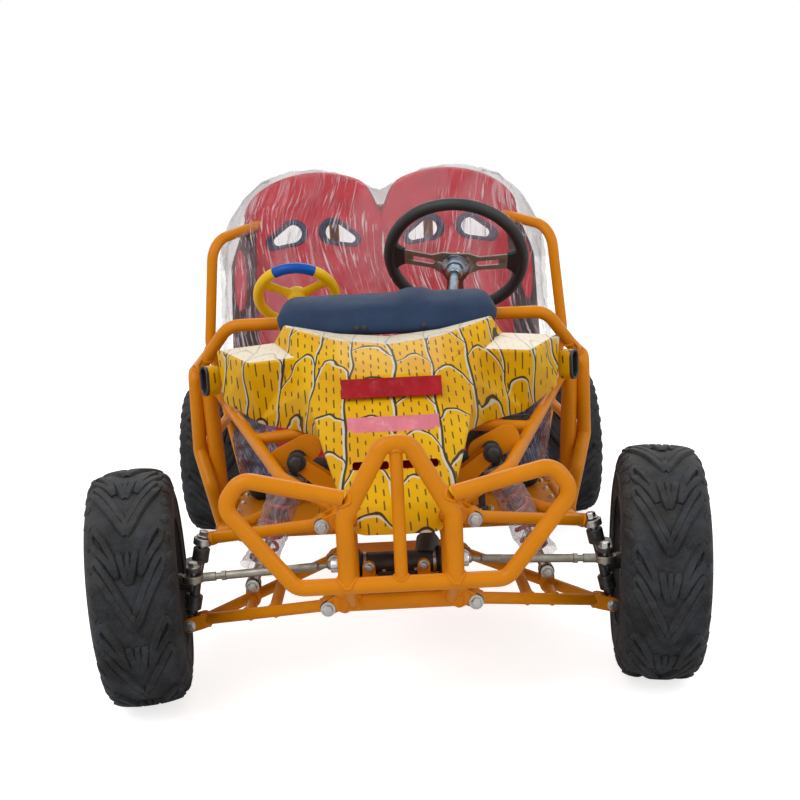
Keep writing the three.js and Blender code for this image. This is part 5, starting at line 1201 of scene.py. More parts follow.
tabs = Shape()
for x in (-58, 44):
    outline = [(-12, -24), (12, -24)] + [(12 * cos, 3 + 12 * sin) for cos, sin in circle(20)[:11]]
    plate(tabs, outline, 4, (x, -93, 268), X, UP)
    bolt(tabs, (x, -95, 271), -Y, 12, 6, 1)
piece("rack_clamp_tabs", tabs, [powder_orange, zinc], "frame", ())
print("steering rack done")

# %% [markdown]
# ## Steering wheel and child's wheel
# The driver's wheel has a thick black rim, three flat brushed spokes with long slots that go into tapered covers, and a
# hub plate with small screws. The spoke plate is one shape with its slots cut as holes, so it is made by a boolean.

# %% Steering wheel
WHEEL = Vector((174, 620, 815))
RIGHT = (X - COLUMN_WAY * COLUMN_WAY.x).normalized()
RISE = RIGHT.cross(COLUMN_WAY).normalized()


def carved(obj, cutters, crossing=False):
    """The object without what the cutter shapes take out. crossing is for an object whose own parts cross."""
    tools = [in_scene("cutter", mesh_of("cutter", cutter)) for cutter in cutters]
    for tool in tools:
        cut = obj.modifiers.new("cut", "BOOLEAN")
        cut.operation, cut.object, cut.solver, cut.use_self = "DIFFERENCE", tool, "EXACT", crossing
    baked(obj)
    for tool in tools:
        bpy.data.objects.remove(tool)


RING, RING_STEPS = 160, 144
SPOKE_WAYS = [RIGHT * math.cos(a) + RISE * math.sin(a) for a in (0, math.pi, -math.pi / 2)]
COVER = ((-1, -0.45), (-0.85, -1), (0.85, -1), (1, -0.45), (1, 0.45), (0.85, 1), (-0.85, 1), (-1, 0.45))
grip = Shape()
line, radii = [], []
for k, (cos, sin) in enumerate(circle(RING_STEPS)):
    t = 2 * math.pi * k / RING_STEPS
    line.append(WHEEL + (RIGHT * cos + RISE * sin) * RING)
    near = min(abs((t - a + math.pi) % (2 * math.pi) - math.pi) for a in (0, math.pi, 1.5 * math.pi))
    radii.append(14.5 - 0.35 * math.exp(-((near * RING - 40) / 2.2) ** 2))
sweep(grip, line, radii, 24, closed=True, side=COLUMN_WAY)
for out in SPOKE_WAYS:
    cross = COLUMN_WAY.cross(out)
    rings = []
    for t in (i / 9 for i in range(10)):
        half, thick, base = 24 + 26 * t ** 1.6, 4.2 + 6.5 * t ** 0.8, WHEEL + out * (122 + 30 * t)
        rings.append([base + cross * (half * u) + COLUMN_WAY * (thick * v) for u, v in COVER])
    loft(grip, rings)
piece("steering_rim_grip", grip, [black_grip], "steering_wheel", ["steering_rim"])

DISH = WHEEL - COLUMN_WAY * 26
half = [(0, 35), (30, 33), (58, 20), (110, 21), (136, 23)]
SPOKE_EDGE = [(u, -v) for u, v in half] + half[::-1]
spokes = Shape()
for out in SPOKE_WAYS:
    plate(spokes, SPOKE_EDGE, 4.6, DISH, (out * 136 + COLUMN_WAY * 26).normalized(), COLUMN_WAY.cross(out), 0.7)
plate_piece = piece("steering_spoke_plate", spokes, [brushed_alloy], "steering_wheel", ["steering_spokes"])
slots = [plate(Shape(), slot_outline((58, 0), (112, 0), 8), 44, DISH, out, COLUMN_WAY.cross(out), 0.2)
         for out in SPOKE_WAYS]
carved(plate_piece, slots, crossing=True)

hub = Shape()
lathe(hub, [(0, -13), (20, -13), (24, -9), (33, -5), (33, -2.8), (0, -2.8)], DISH, COLUMN_WAY, 64, 1)
lathe(hub, [(0, 2.8), (33, 2.8), (33, 5.5), (30, 8.5), (24, 10), (22, 13), (13, 13), (12, 11), (0, 11)], DISH,
      COLUMN_WAY, 64, 1)
for cos, sin in circle(6, 0.3):
    spot = DISH + (RIGHT * cos + RISE * sin) * 27
    lathe(hub, [(0, 10), (1.6, 10), (2, 11), (4.2, 11), (4.6, 9.4), (4.6, 3.8)], spot, COLUMN_WAY, 24)
    lathe(hub, [(0, 8.4), (3.4, 8.4), (3.8, 5.6)], spot, -COLUMN_WAY, 6, 2)
piece("steering_hub_plate", hub, [gold_plate, column_steel, zinc], "steering_wheel", ())
lo, hi = TOWER + COLUMN_WAY * 46, DISH - COLUMN_WAY * 13
column = Shape()
rod(column, lo, hi, 10, 40, 0, 1)
for at in (0.02, 0.46):
    spot = lo.lerp(hi, at)
    lathe(column, [(9.6, 0), (13.5, 0.6), (13.5, 13.4), (9.6, 14)], spot, COLUMN_WAY, 40, closed=True)
    bolt(column, spot + COLUMN_WAY * 7 + RIGHT * 13, RIGHT, 8, 4, 1, False)
lathe(column, [(10, 0), (17, 1), (19, 6), (19, 22), (14, 27), (10, 28)], hi - COLUMN_WAY * 27.6, COLUMN_WAY,
      closed=True)
piece("steering_column_shaft", column, [column_steel, zinc], "steering_wheel", ["steering_column"])

# %% [markdown]
# The child's wheel is a fat moulded ring in yellow, with a blue arc at the top, on a yellow post. It turns but steers
# nothing.

# %% Child's wheel
TOY = Vector((-212, 600, 742))
TOY_WAY = Vector((0, math.cos(math.radians(42)), math.sin(math.radians(42))))
TOY_RISE = X.cross(TOY_WAY).normalized()
toy = Shape()
for start, end, mark, thick in ((-240, 60, 0, 12.5), (60, 120, 1, 12.7)):
    steps = int((end - start) / 3)
    line = [TOY + (X * math.cos(t) + TOY_RISE * math.sin(t)) * 92 for t in
            (math.radians(start + (end - start) * k / steps) for k in range(steps + 1))]
    sweep(toy, line, thick, 24, mark, side=TOY_WAY)
lathe(toy, [(0, -17), (15, -17), (21, -12), (23, -6), (23, 6), (21, 13), (14, 16.5), (0, 17)], TOY, TOY_WAY)
lathe(toy, [(0, 16), (11, 16), (12, 18), (10, 19.4), (0, 19.6)], TOY, TOY_WAY, 40, 1)
for a in (-90, 30, 150):
    t = math.radians(a)
    out = X * math.cos(t) + TOY_RISE * math.sin(t)
    steps = range(18, 88, 6)
    line = [TOY + out * r + TOY_WAY * (2.2 * math.sin(math.pi * (r - 18) / 68)) for r in steps]
    sweep(toy, line, [11 + 4 * (abs(r - 50) / 36) ** 2 for r in steps], 24, squash=0.62, side=TOY_WAY.cross(out))
piece("toy_wheel_ring", toy, [gloss_yellow, gloss_blue], "toy_wheel", ["toy_wheel"])
post = Shape()
sweep(post, bent([(-212, 384, 696), (-212, 547.8, 695), (-212, 586.5, 729.8)], 40), 13, 32)
lathe(post, [(10, 0), (18, 0.8), (20, 3), (20, 16), (18, 18), (12.4, 19)], (-212, 395, 695), Y, closed=True)
piece("toy_wheel_post_tube", post, [gloss_yellow], "frame", ["toy_wheel_post"])
print("wheels to hold done")

# %% [markdown]
# The pedals are bent rod with a flat ribbed pad, on a welded sleeve.

# %% Pedals
PEDAL_TILT = math.radians(2)
way = Vector((0, -math.sin(PEDAL_TILT), math.cos(PEDAL_TILT)))
facing = Vector((0, math.cos(PEDAL_TILT), math.sin(PEDAL_TILT)))
for body, x in zip(("throttle", "brake"), PEDALS_X):
    foot = Vector((x, *PEDAL_EYE))
    head = foot + way * 172
    pedal = Shape()
    collar(pedal, 5.4, 13, 13, foot, X)
    sweep(pedal, bent([foot + way * 8, foot + way * 90 - facing * 1, head], 60), 8, 24)
    plate(pedal, [(-31, -37), (31, -37), (31, 37), (-31, 37)], 6, head + facing * 8, X, way, 1.6)
    for k in range(6):
        block(pedal, head + facing * 11 + way * (11 * k - 27.5), (50, 4, 1.6), 0.6, 1, X, way)
    piece(body + "_pedal_lever", pedal, [black_paint, black_grip], body, [body + "_pedal"])
print("pedals done")

# %% [markdown]
# ## Fairing
# The nose fairing is one folded shell. It is built from the same corners as the CAD, its folds are rounded by a
# bevel, it gets its sheet thickness from a solidify, and its slots are cut through it.

# %% Fairing corners
FAIRING = {
    "centre": [[0, .904, .9], [0, .713, .875], [0, .483, .735], [0, .435, .62], [0, .339, .51], [0, .282, .445],
               [0, .042, .14], [0, 0, 0]],
    "middle": [[.29, .904, .93], [.28, .751, .905], [.26, .498, .732], [.25, .44, .62], [.236, .349, .51],
               [.225, .291, .445], [.2, .05, .14], [.168, .006, 0]],
    "side": [[.59, .904, 1], [.57, .837, .995], [.496, .713, .82], [.447, .569, .654], [.412, .464, .52],
             [.38, .339, .43], [.285, .138, .176], [.208, .019, .006]],
    "wing": [[.64, .918, .885], [.79, .732, .794], [1, 1, .845], [.737, .808, .43], [.504, .655, .415],
             [.965, .943, .522], [.4, .54, .37], [.32, .349, .19], [.232, .215, .02]]}
WING_FACES = ("s0 w0 s1", "s1 w0 s2", "w0 w1 s2", "w0 w2 w1", "w1 w2 w5", "w1 w5 w3", "s2 w1 w3", "s2 w3 s3",
              "s3 w3 w4", "s3 w4 s4", "s4 w4 w6", "s4 w6 s5", "s5 w6 w7", "s5 w7 s6", "s6 w7 w8", "s6 w8 s7")


def fairing_spot(share, s=1):
    return Vector((share[0] * 369 * s, -222 + share[1] * 522, 366 + share[2] * 335))


def fairing_skin():
    verts, index = [], {}
    for s in (1, -1):
        for row, shares in FAIRING.items():
            for k, share in enumerate(shares):
                if row == "centre" and s < 0:
                    index[(s, "c", k)] = index[(1, "c", k)]
                    continue
                index[(s, row[0], k)] = len(verts)
                verts.append(fairing_spot(share, s))
    # pale marks the faces on top, which get the cream painted highlight of the light from above.
    faces, pale = [], []
    for s in (1, -1):
        for a, b in (("c", "m"), ("m", "s")):
            for k in range(7):
                faces.append([(s, a, k), (s, a, k + 1), (s, b, k + 1), (s, b, k)])
                pale.append(k == 0)
        for face in WING_FACES:
            faces.append([(s, c[0], int(c[1])) for c in face.split()])
            pale.append(face in ("w0 w1 s2", "w0 w2 w1"))
    faces = [[index[c] for c in (f if f[0][0] > 0 else f[::-1])] for f in faces]
    return verts, faces, pale


def fairing_mesh():
    verts, faces, pale = fairing_skin()
    bm = bmesh.new()
    made = [bm.verts.new(((v.x) * MM, (v.y + AXLE_Y) * MM, v.z * MM)) for v in verts]
    # Material 1 is the cream painted highlight on the top faces.
    for f, light in zip(faces, pale):
        bm.faces.new([made[i] for i in f]).material_index = int(light)
    bmesh.ops.recalc_face_normals(bm, faces=bm.faces)
    bm.faces.ensure_lookup_table()
    if sum(f.normal.z * f.calc_area() for f in bm.faces) < 0:
        bmesh.ops.reverse_faces(bm, faces=bm.faces)
    folds = [e for e in bm.edges if len(e.link_faces) == 2 and e.calc_face_angle(0) > 0.12]
    bmesh.ops.bevel(bm, geom=folds, offset=0.006, segments=3, profile=0.6, affect="EDGES", clamp_overlap=True)
    # Faces at the top, behind the fold of the front face, get the cream painted highlight too.
    for f in bm.faces:
        p = f.calc_center_median() / MM
        across, along = abs(p.x) / 369, (p.y - AXLE_Y + 222) / 522
        if across < 0.58 and along > float(np.interp(across, (0, 0.28, 0.57), (0.713, 0.751, 0.837))) + 0.012:
            f.material_index = 1
    mesh = bpy.data.meshes.new("front_fairing_shell")
    bm.to_mesh(mesh)
    bm.free()
    return mesh


# %% [markdown]
# The fairing's finish is a made-up pattern in the colours of the real one: a yellow ground, soft cells with a dark
# and a pale line along their edges, and rows of short dark ticks. The top faces take a painted highlight: a cream
# ground with the same pattern, faint, for the glare of the light from above on them.

# %% Fairing finish
def printed(name, ground_a, ground_b, ticks, pale, dark):
    """The pattern over a ground of two close colours; ticks, pale and dark say how strongly each kind of line shows."""
    material, t, shader = finish(name, Coat_Weight=0.05, Coat_Roughness=0.1, Specular_IOR_Level=0.12)
    x, y, z = t.split(t.place())[0:3]
    fall = t.plus(z, t.times(y, 0.75))
    sway = t.times(t.minus(t.noise(t.place(), 7.0, 1.0), 0.5), 0.05)
    across = t.times(t.plus(x, sway), t.span(fall, -0.1, 0.45, 10.0, 15.0))
    u = t.minus(t.math("FRACT", across), 0.5)
    own = t.times(t.math("FLOOR", across), 0.37)
    bow = t.times(t.times(u, u), 1.5)
    wave = t.times(t.minus(t.noise(t.place(), 11.0, 2.0), 0.5), 0.7)
    arc = t.math("FRACT", t.plus(t.plus(t.times(fall, 7.5), bow), t.plus(own, wave)))
    spoke = t.minus(0.5, t.math("ABSOLUTE", u))
    pale_line = t.larger(t.times(t.span(spoke, 0.052, 0.04), t.span(u, -0.1, 0.1)),
                       t.times(t.span(arc, 0.0, 0.01), t.span(arc, 0.05, 0.04)))
    dark_line = t.larger(t.times(t.span(spoke, 0.06, 0.046), t.span(u, 0.1, -0.1)),
                       t.times(t.span(arc, 0.045, 0.055), t.span(arc, 0.105, 0.095)))
    column = t.times(x, 68.0)
    stagger = t.times(t.math("FLOOR", column), 0.41)
    stray = t.times(t.noise(t.place(), 34.0, 1.0), 1.1)
    row = t.math("FRACT", t.plus(t.times(fall, 27.0), t.plus(stagger, stray)))
    beside = t.math("ABSOLUTE", t.minus(t.math("FRACT", t.plus(column, t.times(row, 0.16))), 0.5))
    tick = t.times(t.span(beside, 0.115, 0.08), t.times(t.span(row, 0.2, 0.24), t.span(row, 0.72, 0.66)))
    shown = t.mix(t.span(t.noise(t.place(), 9.0, 3.0), 0.35, 0.65), ground_a, ground_b)
    shown = t.mix(t.times(tick, ticks), shown, (0.05, 0.035, 0.012))
    shown = t.mix(t.times(pale_line, pale), shown, (0.66, 0.65, 0.55))
    shown = t.mix(t.times(dark_line, dark), shown, (0.02, 0.022, 0.02))
    settle(t, shader, Colour=shown, Amount=0.02, Roughness=0.36)
    bump(t, shader, t.group(grain, Scale=240.0)["Height"], 0.00018)
    return material


yellow_fairing = printed("yellow_fairing", (0.84, 0.47, 0.0), (0.74, 0.36, 0.0), 0.9, 0.9, 0.95)
# The cream finish is a painted highlight: the top faces painted pale for the light from above.
fairing_painted_highlight = printed("fairing_painted_highlight", (0.95, 0.86, 0.69), (0.91, 0.79, 0.61), 0.12, 0.2, 0.3)

# %% Fairing shell
shell = in_scene("front_fairing_shell", fairing_mesh())
shell.data.materials.append(yellow_fairing)
shell.data.materials.append(fairing_painted_highlight)
thick = shell.modifiers.new("sheet", "SOLIDIFY")
thick.thickness, thick.offset, thick.use_even_offset = 0.004, -1.0, True
baked(shell)


def slot_box(x, half, z, tall):
    """A long box with chamfered edges, which cuts one slot."""
    v, cut = tall / 2, 3
    ring = [(x + a * (half - b), z + c * (v - d)) for a, c, b, d in (
        (-1, -1, cut, 0), (1, -1, cut, 0), (1, -1, 0, cut), (1, 1, 0, cut), (1, 1, cut, 0), (-1, 1, cut, 0),
        (-1, 1, 0, cut), (-1, -1, 0, cut))]
    return plate(Shape(), ring, 700, (0, 0, 0), X, UP, 0.2)


FAIRING_SLOTS = ((0, 86, 588, 22), (0, 76, 527, 16), (45, 33, 469, 13), (-45, 33, 469, 13))
cutters = [slot_box(*slot) for slot in FAIRING_SLOTS]
for s in SIDES.values():
    for a, b, radius in (((106, -215, 385), (106, 215, 385), 15.5), ((86, -190, 330), (86, -190, 400), 15),
                         ((86, -188, 384), (91, -300, 416), 12.6)):
        cutters.append(rod(Shape(), flip(a, s), flip(b, s), radius, 24))
cutters.append(rod(Shape(), (-120, -190, 385), (120, -190, 385), 15.5, 24))
bpy.context.view_layer.update()
hollows = Shape()
for s in (1, -1):
    _, place, normal, _ = shell.ray_cast(Vector((s * 132, AXLE_Y - 348, 618)) * MM, Y)
    at = place / MM - Y * AXLE_Y
    cutters.append(rod(Shape(), at + normal * 30, at - normal * 30, 13.5, 32))
    lathe(hollows, [(13.4, 0.4), (15, -0.6), (15, -13), (0, -15), (0, -11), (9, -10), (12.4, -6)], at, normal, 32)
    bolt(hollows, at - normal * 11, normal, 8, 4, 1)
carved(shell, cutters)
piece("fairing_screw_hollows", hollows, [yellow_fairing, zinc], "frame", ())
shell.data.shade_smooth()
shell.data.set_sharp_from_angle(angle=math.radians(32))
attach(shell, "frame")
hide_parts("front_fairing")
print("fairing faces", len(shell.data.polygons))

# %% [markdown]
# Behind the slots the real kart shows wrapped red and pink parts, so crumpled liners stand a little behind each one.

# %% Slot liners
def crumpled(shape, centre, u, v, half_u, half_v, depth, seed, mark=0, cells=(28, 10)):
    """A thin closed panel whose front is crumpled, as something in film."""
    u, v, centre = Vector(u).normalized(), Vector(v).normalized(), Vector(centre)
    w = u.cross(v)
    nu, nv = cells
    front, back = [], []
    for j in range(nv + 1):
        for i in range(nu + 1):
            a, b = (2 * i / nu - 1), (2 * j / nv - 1)
            p = centre + u * (a * half_u) + v * (b * half_v)
            ruck = noise.ridged_multi_fractal(p * 0.03 + Vector((seed, 0, 0)), 0.9, 2.1, 3, 0.9, 2.0) - 1.0
            edge = (1 - a ** 8) * (1 - b ** 8)
            front.append(p + w * (depth * ruck * edge + 1.5))
            back.append(p - w * 1.5)
    n = nu + 1
    faces = []
    for j in range(nv):
        for i in range(nu):
            q = (j * n + i, j * n + i + 1, (j + 1) * n + i + 1, (j + 1) * n + i)
            faces += [q, tuple(len(front) + k for k in reversed(q))]
    rim_line = (list(range(nu)) + [j * n + nu for j in range(nv)] + [nv * n + i for i in range(nu, 0, -1)]
                + [j * n for j in range(nv, 0, -1)])
    for a, b in zip(rim_line, rim_line[1:] + rim_line[:1]):
        faces.append((a, len(front) + a, len(front) + b, b))
    return shape.add(front + back, faces, mark)


liners = Shape()
crumpled(liners, (0, 6, 592), X, (0, 0.55, 0.84), 96, 20, 3.5, 1.0)
crumpled(liners, (0, -52, 530), X, (0, 0.6, 0.8), 86, 17, 3.0, 5.0, 1)
for x in (-45, 45):
    crumpled(liners, (x, -92, 465), X, (0, 0.65, 0.76), 38, 14, 1.6, 9.0, 0, (14, 6))
piece("fairing_slot_liners", liners, [dark_red_film, pink_film], "frame", ())

# %% [markdown]
# ## Dash pad
# The pad is a fat foam roll in slate vinyl, lying over the dash tube. A smooth cross-section is swept across, its
# ends close in round curves, a low hump rises right of the middle, and a row of small punched holes runs along its
# back edge.

# %% Dash pad
PAD_SHARES = [(0, 0.16), (0.05, 0.42), (0.18, 0.7), (0.42, 0.93), (0.66, 1), (0.88, 0.88), (1, 0.58), (0.98, 0.2),
              (0.86, 0.04), (0.6, 0.02), (0.3, 0.2), (0.08, 0.02)]


def smooth_ring(points, steps):
    count, ring = len(points), []
    for i in range(count):
        p0, p1, p2, p3 = (Vector(points[(i + k) % count]) for k in (-1, 0, 1, 2))
        for k in range(steps):
            t = k / steps
            ring.append(0.5 * (2 * p1 + (p2 - p0) * t + (2 * p0 - 5 * p1 + 4 * p2 - p3) * t ** 2
                               + (3 * p1 - p0 - 3 * p2 + p3) * t ** 3))
    return ring


def pad_spot(ring, x):
    """The ring of points of the pad's skin at one place across."""
    end = max(0.0, (abs(x) - 236 + 46) / 46)
    close = max(0.02, (1 - min(1, end) ** 2.4)) ** 0.5
    hump = 9 * math.exp(-((x - 62) / 34) ** 4)
    out = []
    for p in ring:
        y, z = 258 + p[0] * 162, 668 + p[1] * 94
        y, z = 344 + (y - 344) * (0.45 + 0.55 * close), 712 + (z - 712) * close
        if p[1] > 0.6:
            z += hump * (p[1] - 0.6) / 0.4 - 9 * (p[1] - 0.6) / 0.4
        crease = 1.4 * noise.noise(Vector((x * 0.02, y * 0.03, z * 0.03)))
        out.append(Vector((x, y, z + crease)))
    return out


pad = Shape()
ring = smooth_ring(PAD_SHARES, 6)
stations = [-236 + 472 * (0.5 - 0.5 * math.cos(math.pi * k / 96)) for k in range(97)]
loft(pad, [pad_spot(ring, x) for x in stations])
pad_piece = piece("dash_pad_roll", pad, [slate_vinyl], "frame", ["dash_pad"], sharp=60)
holes = Shape()
for k in range(17):
    top = max(pad_spot(ring, -150 + k * 12.2), key=lambda p: p.z)
    lathe(holes, [(0, 0.2), (1.6, 0.0), (2.2, 0.7), (3.0, 0.9), (3.6, 0.2), (3.4, -1.5), (0, -1.5)],
          top + Vector((0, -8, -0.6)), (0, -0.25, 0.97), 16)
for x in (-66, -50, 76):
    front = min(pad_spot(ring, x), key=lambda p: p.y)
    bolt(holes, front + Vector((0, 0.4, 0)), (0, -1, 0.1), 7, 4)
lathe(holes, [(0, 0), (26, 0), (31, 3), (31, 17), (27, 20), (14.4, 20)], (-232, 384, 695), X)
piece("dash_pad_fittings", holes, [black_plastic], "frame", ())
print("dash pad done")

# %% [markdown]
# The lamp pods are oval cups at the wing ends, dark inside, with a lens seat at the bottom.

# %% Lamp pods
POD_TURN = math.radians(56)
POD_LEVELS = ((5.0, -14), (5.0, 14.5), (3.2, 16.6), (0.8, 16.6), (0, 15.4), (0.4, 10), (0.4, -14), (2.5, -16.6),
              (8, -17))
for side, s in SIDES.items():
    facing = Vector((s * math.sin(POD_TURN), -math.cos(POD_TURN), 0))
    across = Vector((math.cos(POD_TURN), s * math.sin(POD_TURN), 0))
    centre = Vector((s * 388, 306, 584))
    pod = Shape()
    ovals = [(slot_outline((0, -15), (0, 15), 18 - cut, 14), at) for cut, at in POD_LEVELS]
    loft(pod, [[centre + across * p[0] + UP * p[1] + facing * at for p in oval] for oval, at in ovals])
    n = len(ovals[0][0])
    rod(pod, centre - facing * 15, (s * 428, 432, 584), 6)
    rod(pod, centre - facing * 13.6, centre - facing * 8, 9, 32, 1)
    pod.marks[5 * n:8 * n] = [2] * (3 * n)
    piece(f"lamp_pod_{side}_cup", pod, [black_plastic, bright_zinc, yellow_fairing], "frame", [f"lamp_pod_{side}"])
print("pods done")

# %% [markdown]
# ## Seats
# Two seats share one back and one cushion. The back is a grid over its width and height. Each point knows how far the
# padding stands out there: fat bolsters at the sides, a shallow bowl in each seat, grooves where seams pull the foam
# in, and round edges.

# %% Sheets of quads
def quads(shape, rows, mark_of=None):
    """Rows of points joined into a sheet. mark_of gives a quad's mark from its middle."""
    n = len(rows[0])
    faces = [(j * n + i, j * n + i + 1, (j + 1) * n + i + 1, (j + 1) * n + i)
             for j in range(len(rows) - 1) for i in range(n - 1)]
    points = [p for row in rows for p in row]
    shape.add(points, faces)
    if mark_of:
        shape.marks[-len(faces):] = [mark_of(sum((points[k] for k in f), Vector()) / 4) for f in faces]


def ease(value, low, high):
    t = max(0.0, min(1.0, (value - low) / (high - low)))
    return t * t * (3 - 2 * t)


def groove(value, width):
    return math.exp(-(value / width) ** 2)


def rucks(p, scale, seed):
    """Soft wrinkles between about -1 and 1."""
    q = Vector(p) * scale + Vector((seed, seed * 0.7, -seed))
    return noise.noise(q) + 0.5 * noise.noise(q * 2.1) + 0.25 * noise.noise(q * 4.3)


# %% Seat back's form
FOOT, BACK_UP, BACK_OUT = Vector((0, 872, 265.6)), Vector((0, 0.3173, 0.9483)), Vector((0, -0.9483, 0.3173))
LOBE, SIDE_SEAM, BACK_THICK, BACK_HALF, TUNNEL_LEAN = 178, 348, 41, 379, 0.34
SEAT_LOOKS = [red_vinyl, black_vinyl]


def on_back(x, h, out):
    return FOOT + X * x + BACK_UP * h + BACK_OUT * out


def back_width(h):
    return float(np.interp(h, (0, 200, 560, 650, 701, 833), (362, 420, 420, 396, 381, 379)))


def back_top(x):
    x = abs(x)
    lobe = 701 + 132 * math.sqrt(max(0.0, 1 - ((x - LOBE) / 202) ** 2))
    return lobe - 50 * groove(x, 26)


def bolster(x, h):
    return ease(abs(x), 336, 366) * ease(h, 95, 165) * (1 - ease(h, 585, 655))


def pad_front(x, h):
    a = abs(x)
    out = BACK_THICK + 43 * bolster(x, h)
    bowl = max(0.0, 1 - ((a - 168) / 150) ** 2)
    out += 6 * bowl * (1 - ease(h, 700, 800)) + 9 * groove(a - 250, 46) * ease(h, 100, 260) * (1 - ease(h, 470, 590))
    out -= 8 * groove(x, 7) + 5 * groove(a - SIDE_SEAM, 5) * (1 - ease(h, 640, 700))
    out -= 4 * groove(h - 575, 5) * (1 - ease(a, 320, 345)) + 3.5 * groove(h - 300, 5) * (1 - ease(a, 320, 345))
    out -= 3.5 * groove(a - 92, 4.5) * (1 - ease(h, 560, 590)) + 3.5 * groove(a - 252, 4.5) * (1 - ease(h, 560, 590))
    out += 3.5 * groove(a - 184, 6) * ease(h, 540, 600) * (1 - ease(h, 765, 800))
    return out + 1.3 * rucks((x, h, 0), 0.022, 3.0) + 0.7 * rucks((x, h, 9), 0.07, 8.0)


def rim_share(distance, radius=34):
    return math.sqrt(max(0.0, 1 - (1 - min(1.0, distance / radius)) ** 2))


def pear(length, radius_a, radius_b, steps=14):
    """Round a big circle at the start and a small one at the end, centred on the whole."""
    lean = math.asin((radius_a - radius_b) / length)
    points = []
    for at, radius, start, turn in ((length / 2, radius_b, lean - math.pi / 2, math.pi - 2 * lean),
                                    (-length / 2, radius_a, math.pi / 2 - lean, math.pi + 2 * lean)):
        points += [(at + radius * math.cos(start + turn * k / steps), radius * math.sin(start + turn * k / steps))
                   for k in range(steps + 1)]
    return points


# %% Seat back
def back_mark(p):
    h, out = (p - FOOT).dot(BACK_UP), (p - FOOT).dot(BACK_OUT)
    return int(out < -12 or abs(p.x) > SIDE_SEAM and 80 < h < 655)


def back_spot(u, v, front):
    """A point of the back's skin by its share of the width and of the height."""
    top = back_top(u * BACK_HALF)
    h = top * v
    x = u * back_width(h)
    edge = min((1 - abs(u)) * back_width(h), top - h, h)
    out = pad_front(x, h) if front else -BACK_THICK + 1.2 * rucks((x, h, 40), 0.012, 5.0)
    return on_back(x, h, out * rim_share(edge))


def bunched(count):
    """Even steps of a sine from -1 to 1, which lie closer together at the ends."""
    return [math.sin(math.pi / 2 * (2 * k / count - 1)) for k in range(count + 1)]


back = Shape()
columns = bunched(168)
for front in (True, False):
    levels = [(1 - math.cos(math.pi * k / 96)) / 2 for k in range(97)]
    quads(back, [[back_spot(u, v, front) for u in columns] for v in levels], back_mark)
seat_back = piece("seat_back_padding", back, SEAT_LOOKS, "frame", ["seat_back"], sharp=70)
face_out(seat_back.data, weld=0.00002)

# %% Harness slots
cutters, surrounds = [], Shape()
for lobe in (-LOBE, LOBE):
    for k in (-1, 1):
        turn = math.radians(24)
        along = (k * math.cos(turn), -math.sin(turn))
        across = (k * math.sin(turn), math.cos(turn))
        middle = (lobe * 1.05 + k * (78 if k * lobe < 0 else 82), 634)

        def spot(p, grow):
            size = math.hypot(*p)
            a, b = p[0] * (1 + grow / size), p[1] * (1 + grow / size)
            return middle[0] + along[0] * a + across[0] * b, middle[1] + along[1] * a + across[1] * b

        outline = pear(50, 27, 14)
        cutters.append(loft(Shape(), [[on_back(x, h + (BACK_THICK - out) * TUNNEL_LEAN, out) for x, h in
                                       (spot(p, 2) for p in outline)] for out in (-90, 110)]))
        front = [[on_back(x, h, pad_front(x, h) + rise) for x, h in (spot(p, grow) for p in outline)] for grow, rise in
                 ((15, -2), (15.5, 2), (12, 5), (4, 5.4), (-0.5, 2.5), (-1, -4))]
        behind = [[on_back(x, h + 2 * BACK_THICK * TUNNEL_LEAN, rise - BACK_THICK) for x, h in
                   (spot(p, grow) for p in outline)] for grow, rise in ((-1, 3), (3, -2.5), (8, -3), (9, 1))]
        loft(surrounds, front + behind, closed=True)
carved(seat_back, cutters)
piece("seat_slot_surrounds", surrounds, [slate_vinyl], "frame", ())

# %% Seat back's trim
trim = Shape()
for s in (-1, 1):
    rings = []
    for r in (1.0, 0.97, 0.9, 0.75, 0.5, 0.25, 0.05):
        spots = [(s * (386 + 17 * r * cos), 505 + 88 * r * sin) for cos, sin in circle(48)]
        rings.append([on_back(x, h, pad_front(x, h) - 1.5 + 4.2 * math.sqrt(1 - r ** 6)) for x, h in spots])
    loft(trim, rings, first=False)
    line = [(s * SIDE_SEAM, 140 + 500 * k / 60) for k in range(61)]
    sweep(trim, [on_back(x, h, pad_front(x, h) + 0.6) for x, h in line], 2.1, 8, 1)
edge_line = [on_back(u * back_width(back_top(u * BACK_HALF)), back_top(u * BACK_HALF), -3) for u in columns[2:-2]]
sweep(trim, edge_line, 2.6, 8, 1)
piece("seat_back_trim", trim, SEAT_LOOKS, "frame", ())
print("seat back", len(seat_back.data.vertices))

# %% [markdown]
# The cushion is a loaf: one rounded outline swept across the kart, closed at the ends, crowned and stitched on top.

# %% Seat cushion
def rounded(corners, step=6.0):
    """A closed outline through corners (y, z, radius), with points about a step apart."""
    pts = [Vector(c[:2]) for c in corners]
    line = []
    for k, (corner, radius) in enumerate(zip(pts, (c[2] for c in corners))):
        before, after = pts[k - 1], pts[(k + 1) % len(pts)]
        come, go = (corner - before).normalized(), (after - corner).normalized()
        angle = come.angle(go)
        cut_back = radius * math.tan(angle / 2)
        start, end = corner - come * cut_back, corner + go * cut_back
        for i in range(7):
            t = i / 6
            a, b = start.lerp(corner, t), corner.lerp(end, t)
            line.append(a.lerp(b, t))
    dense = []
    for a, b in zip(line, line[1:] + line[:1]):
        count = max(1, round((b - a).length / step))
        dense += [a.lerp(b, i / count) for i in range(count)]
    return dense


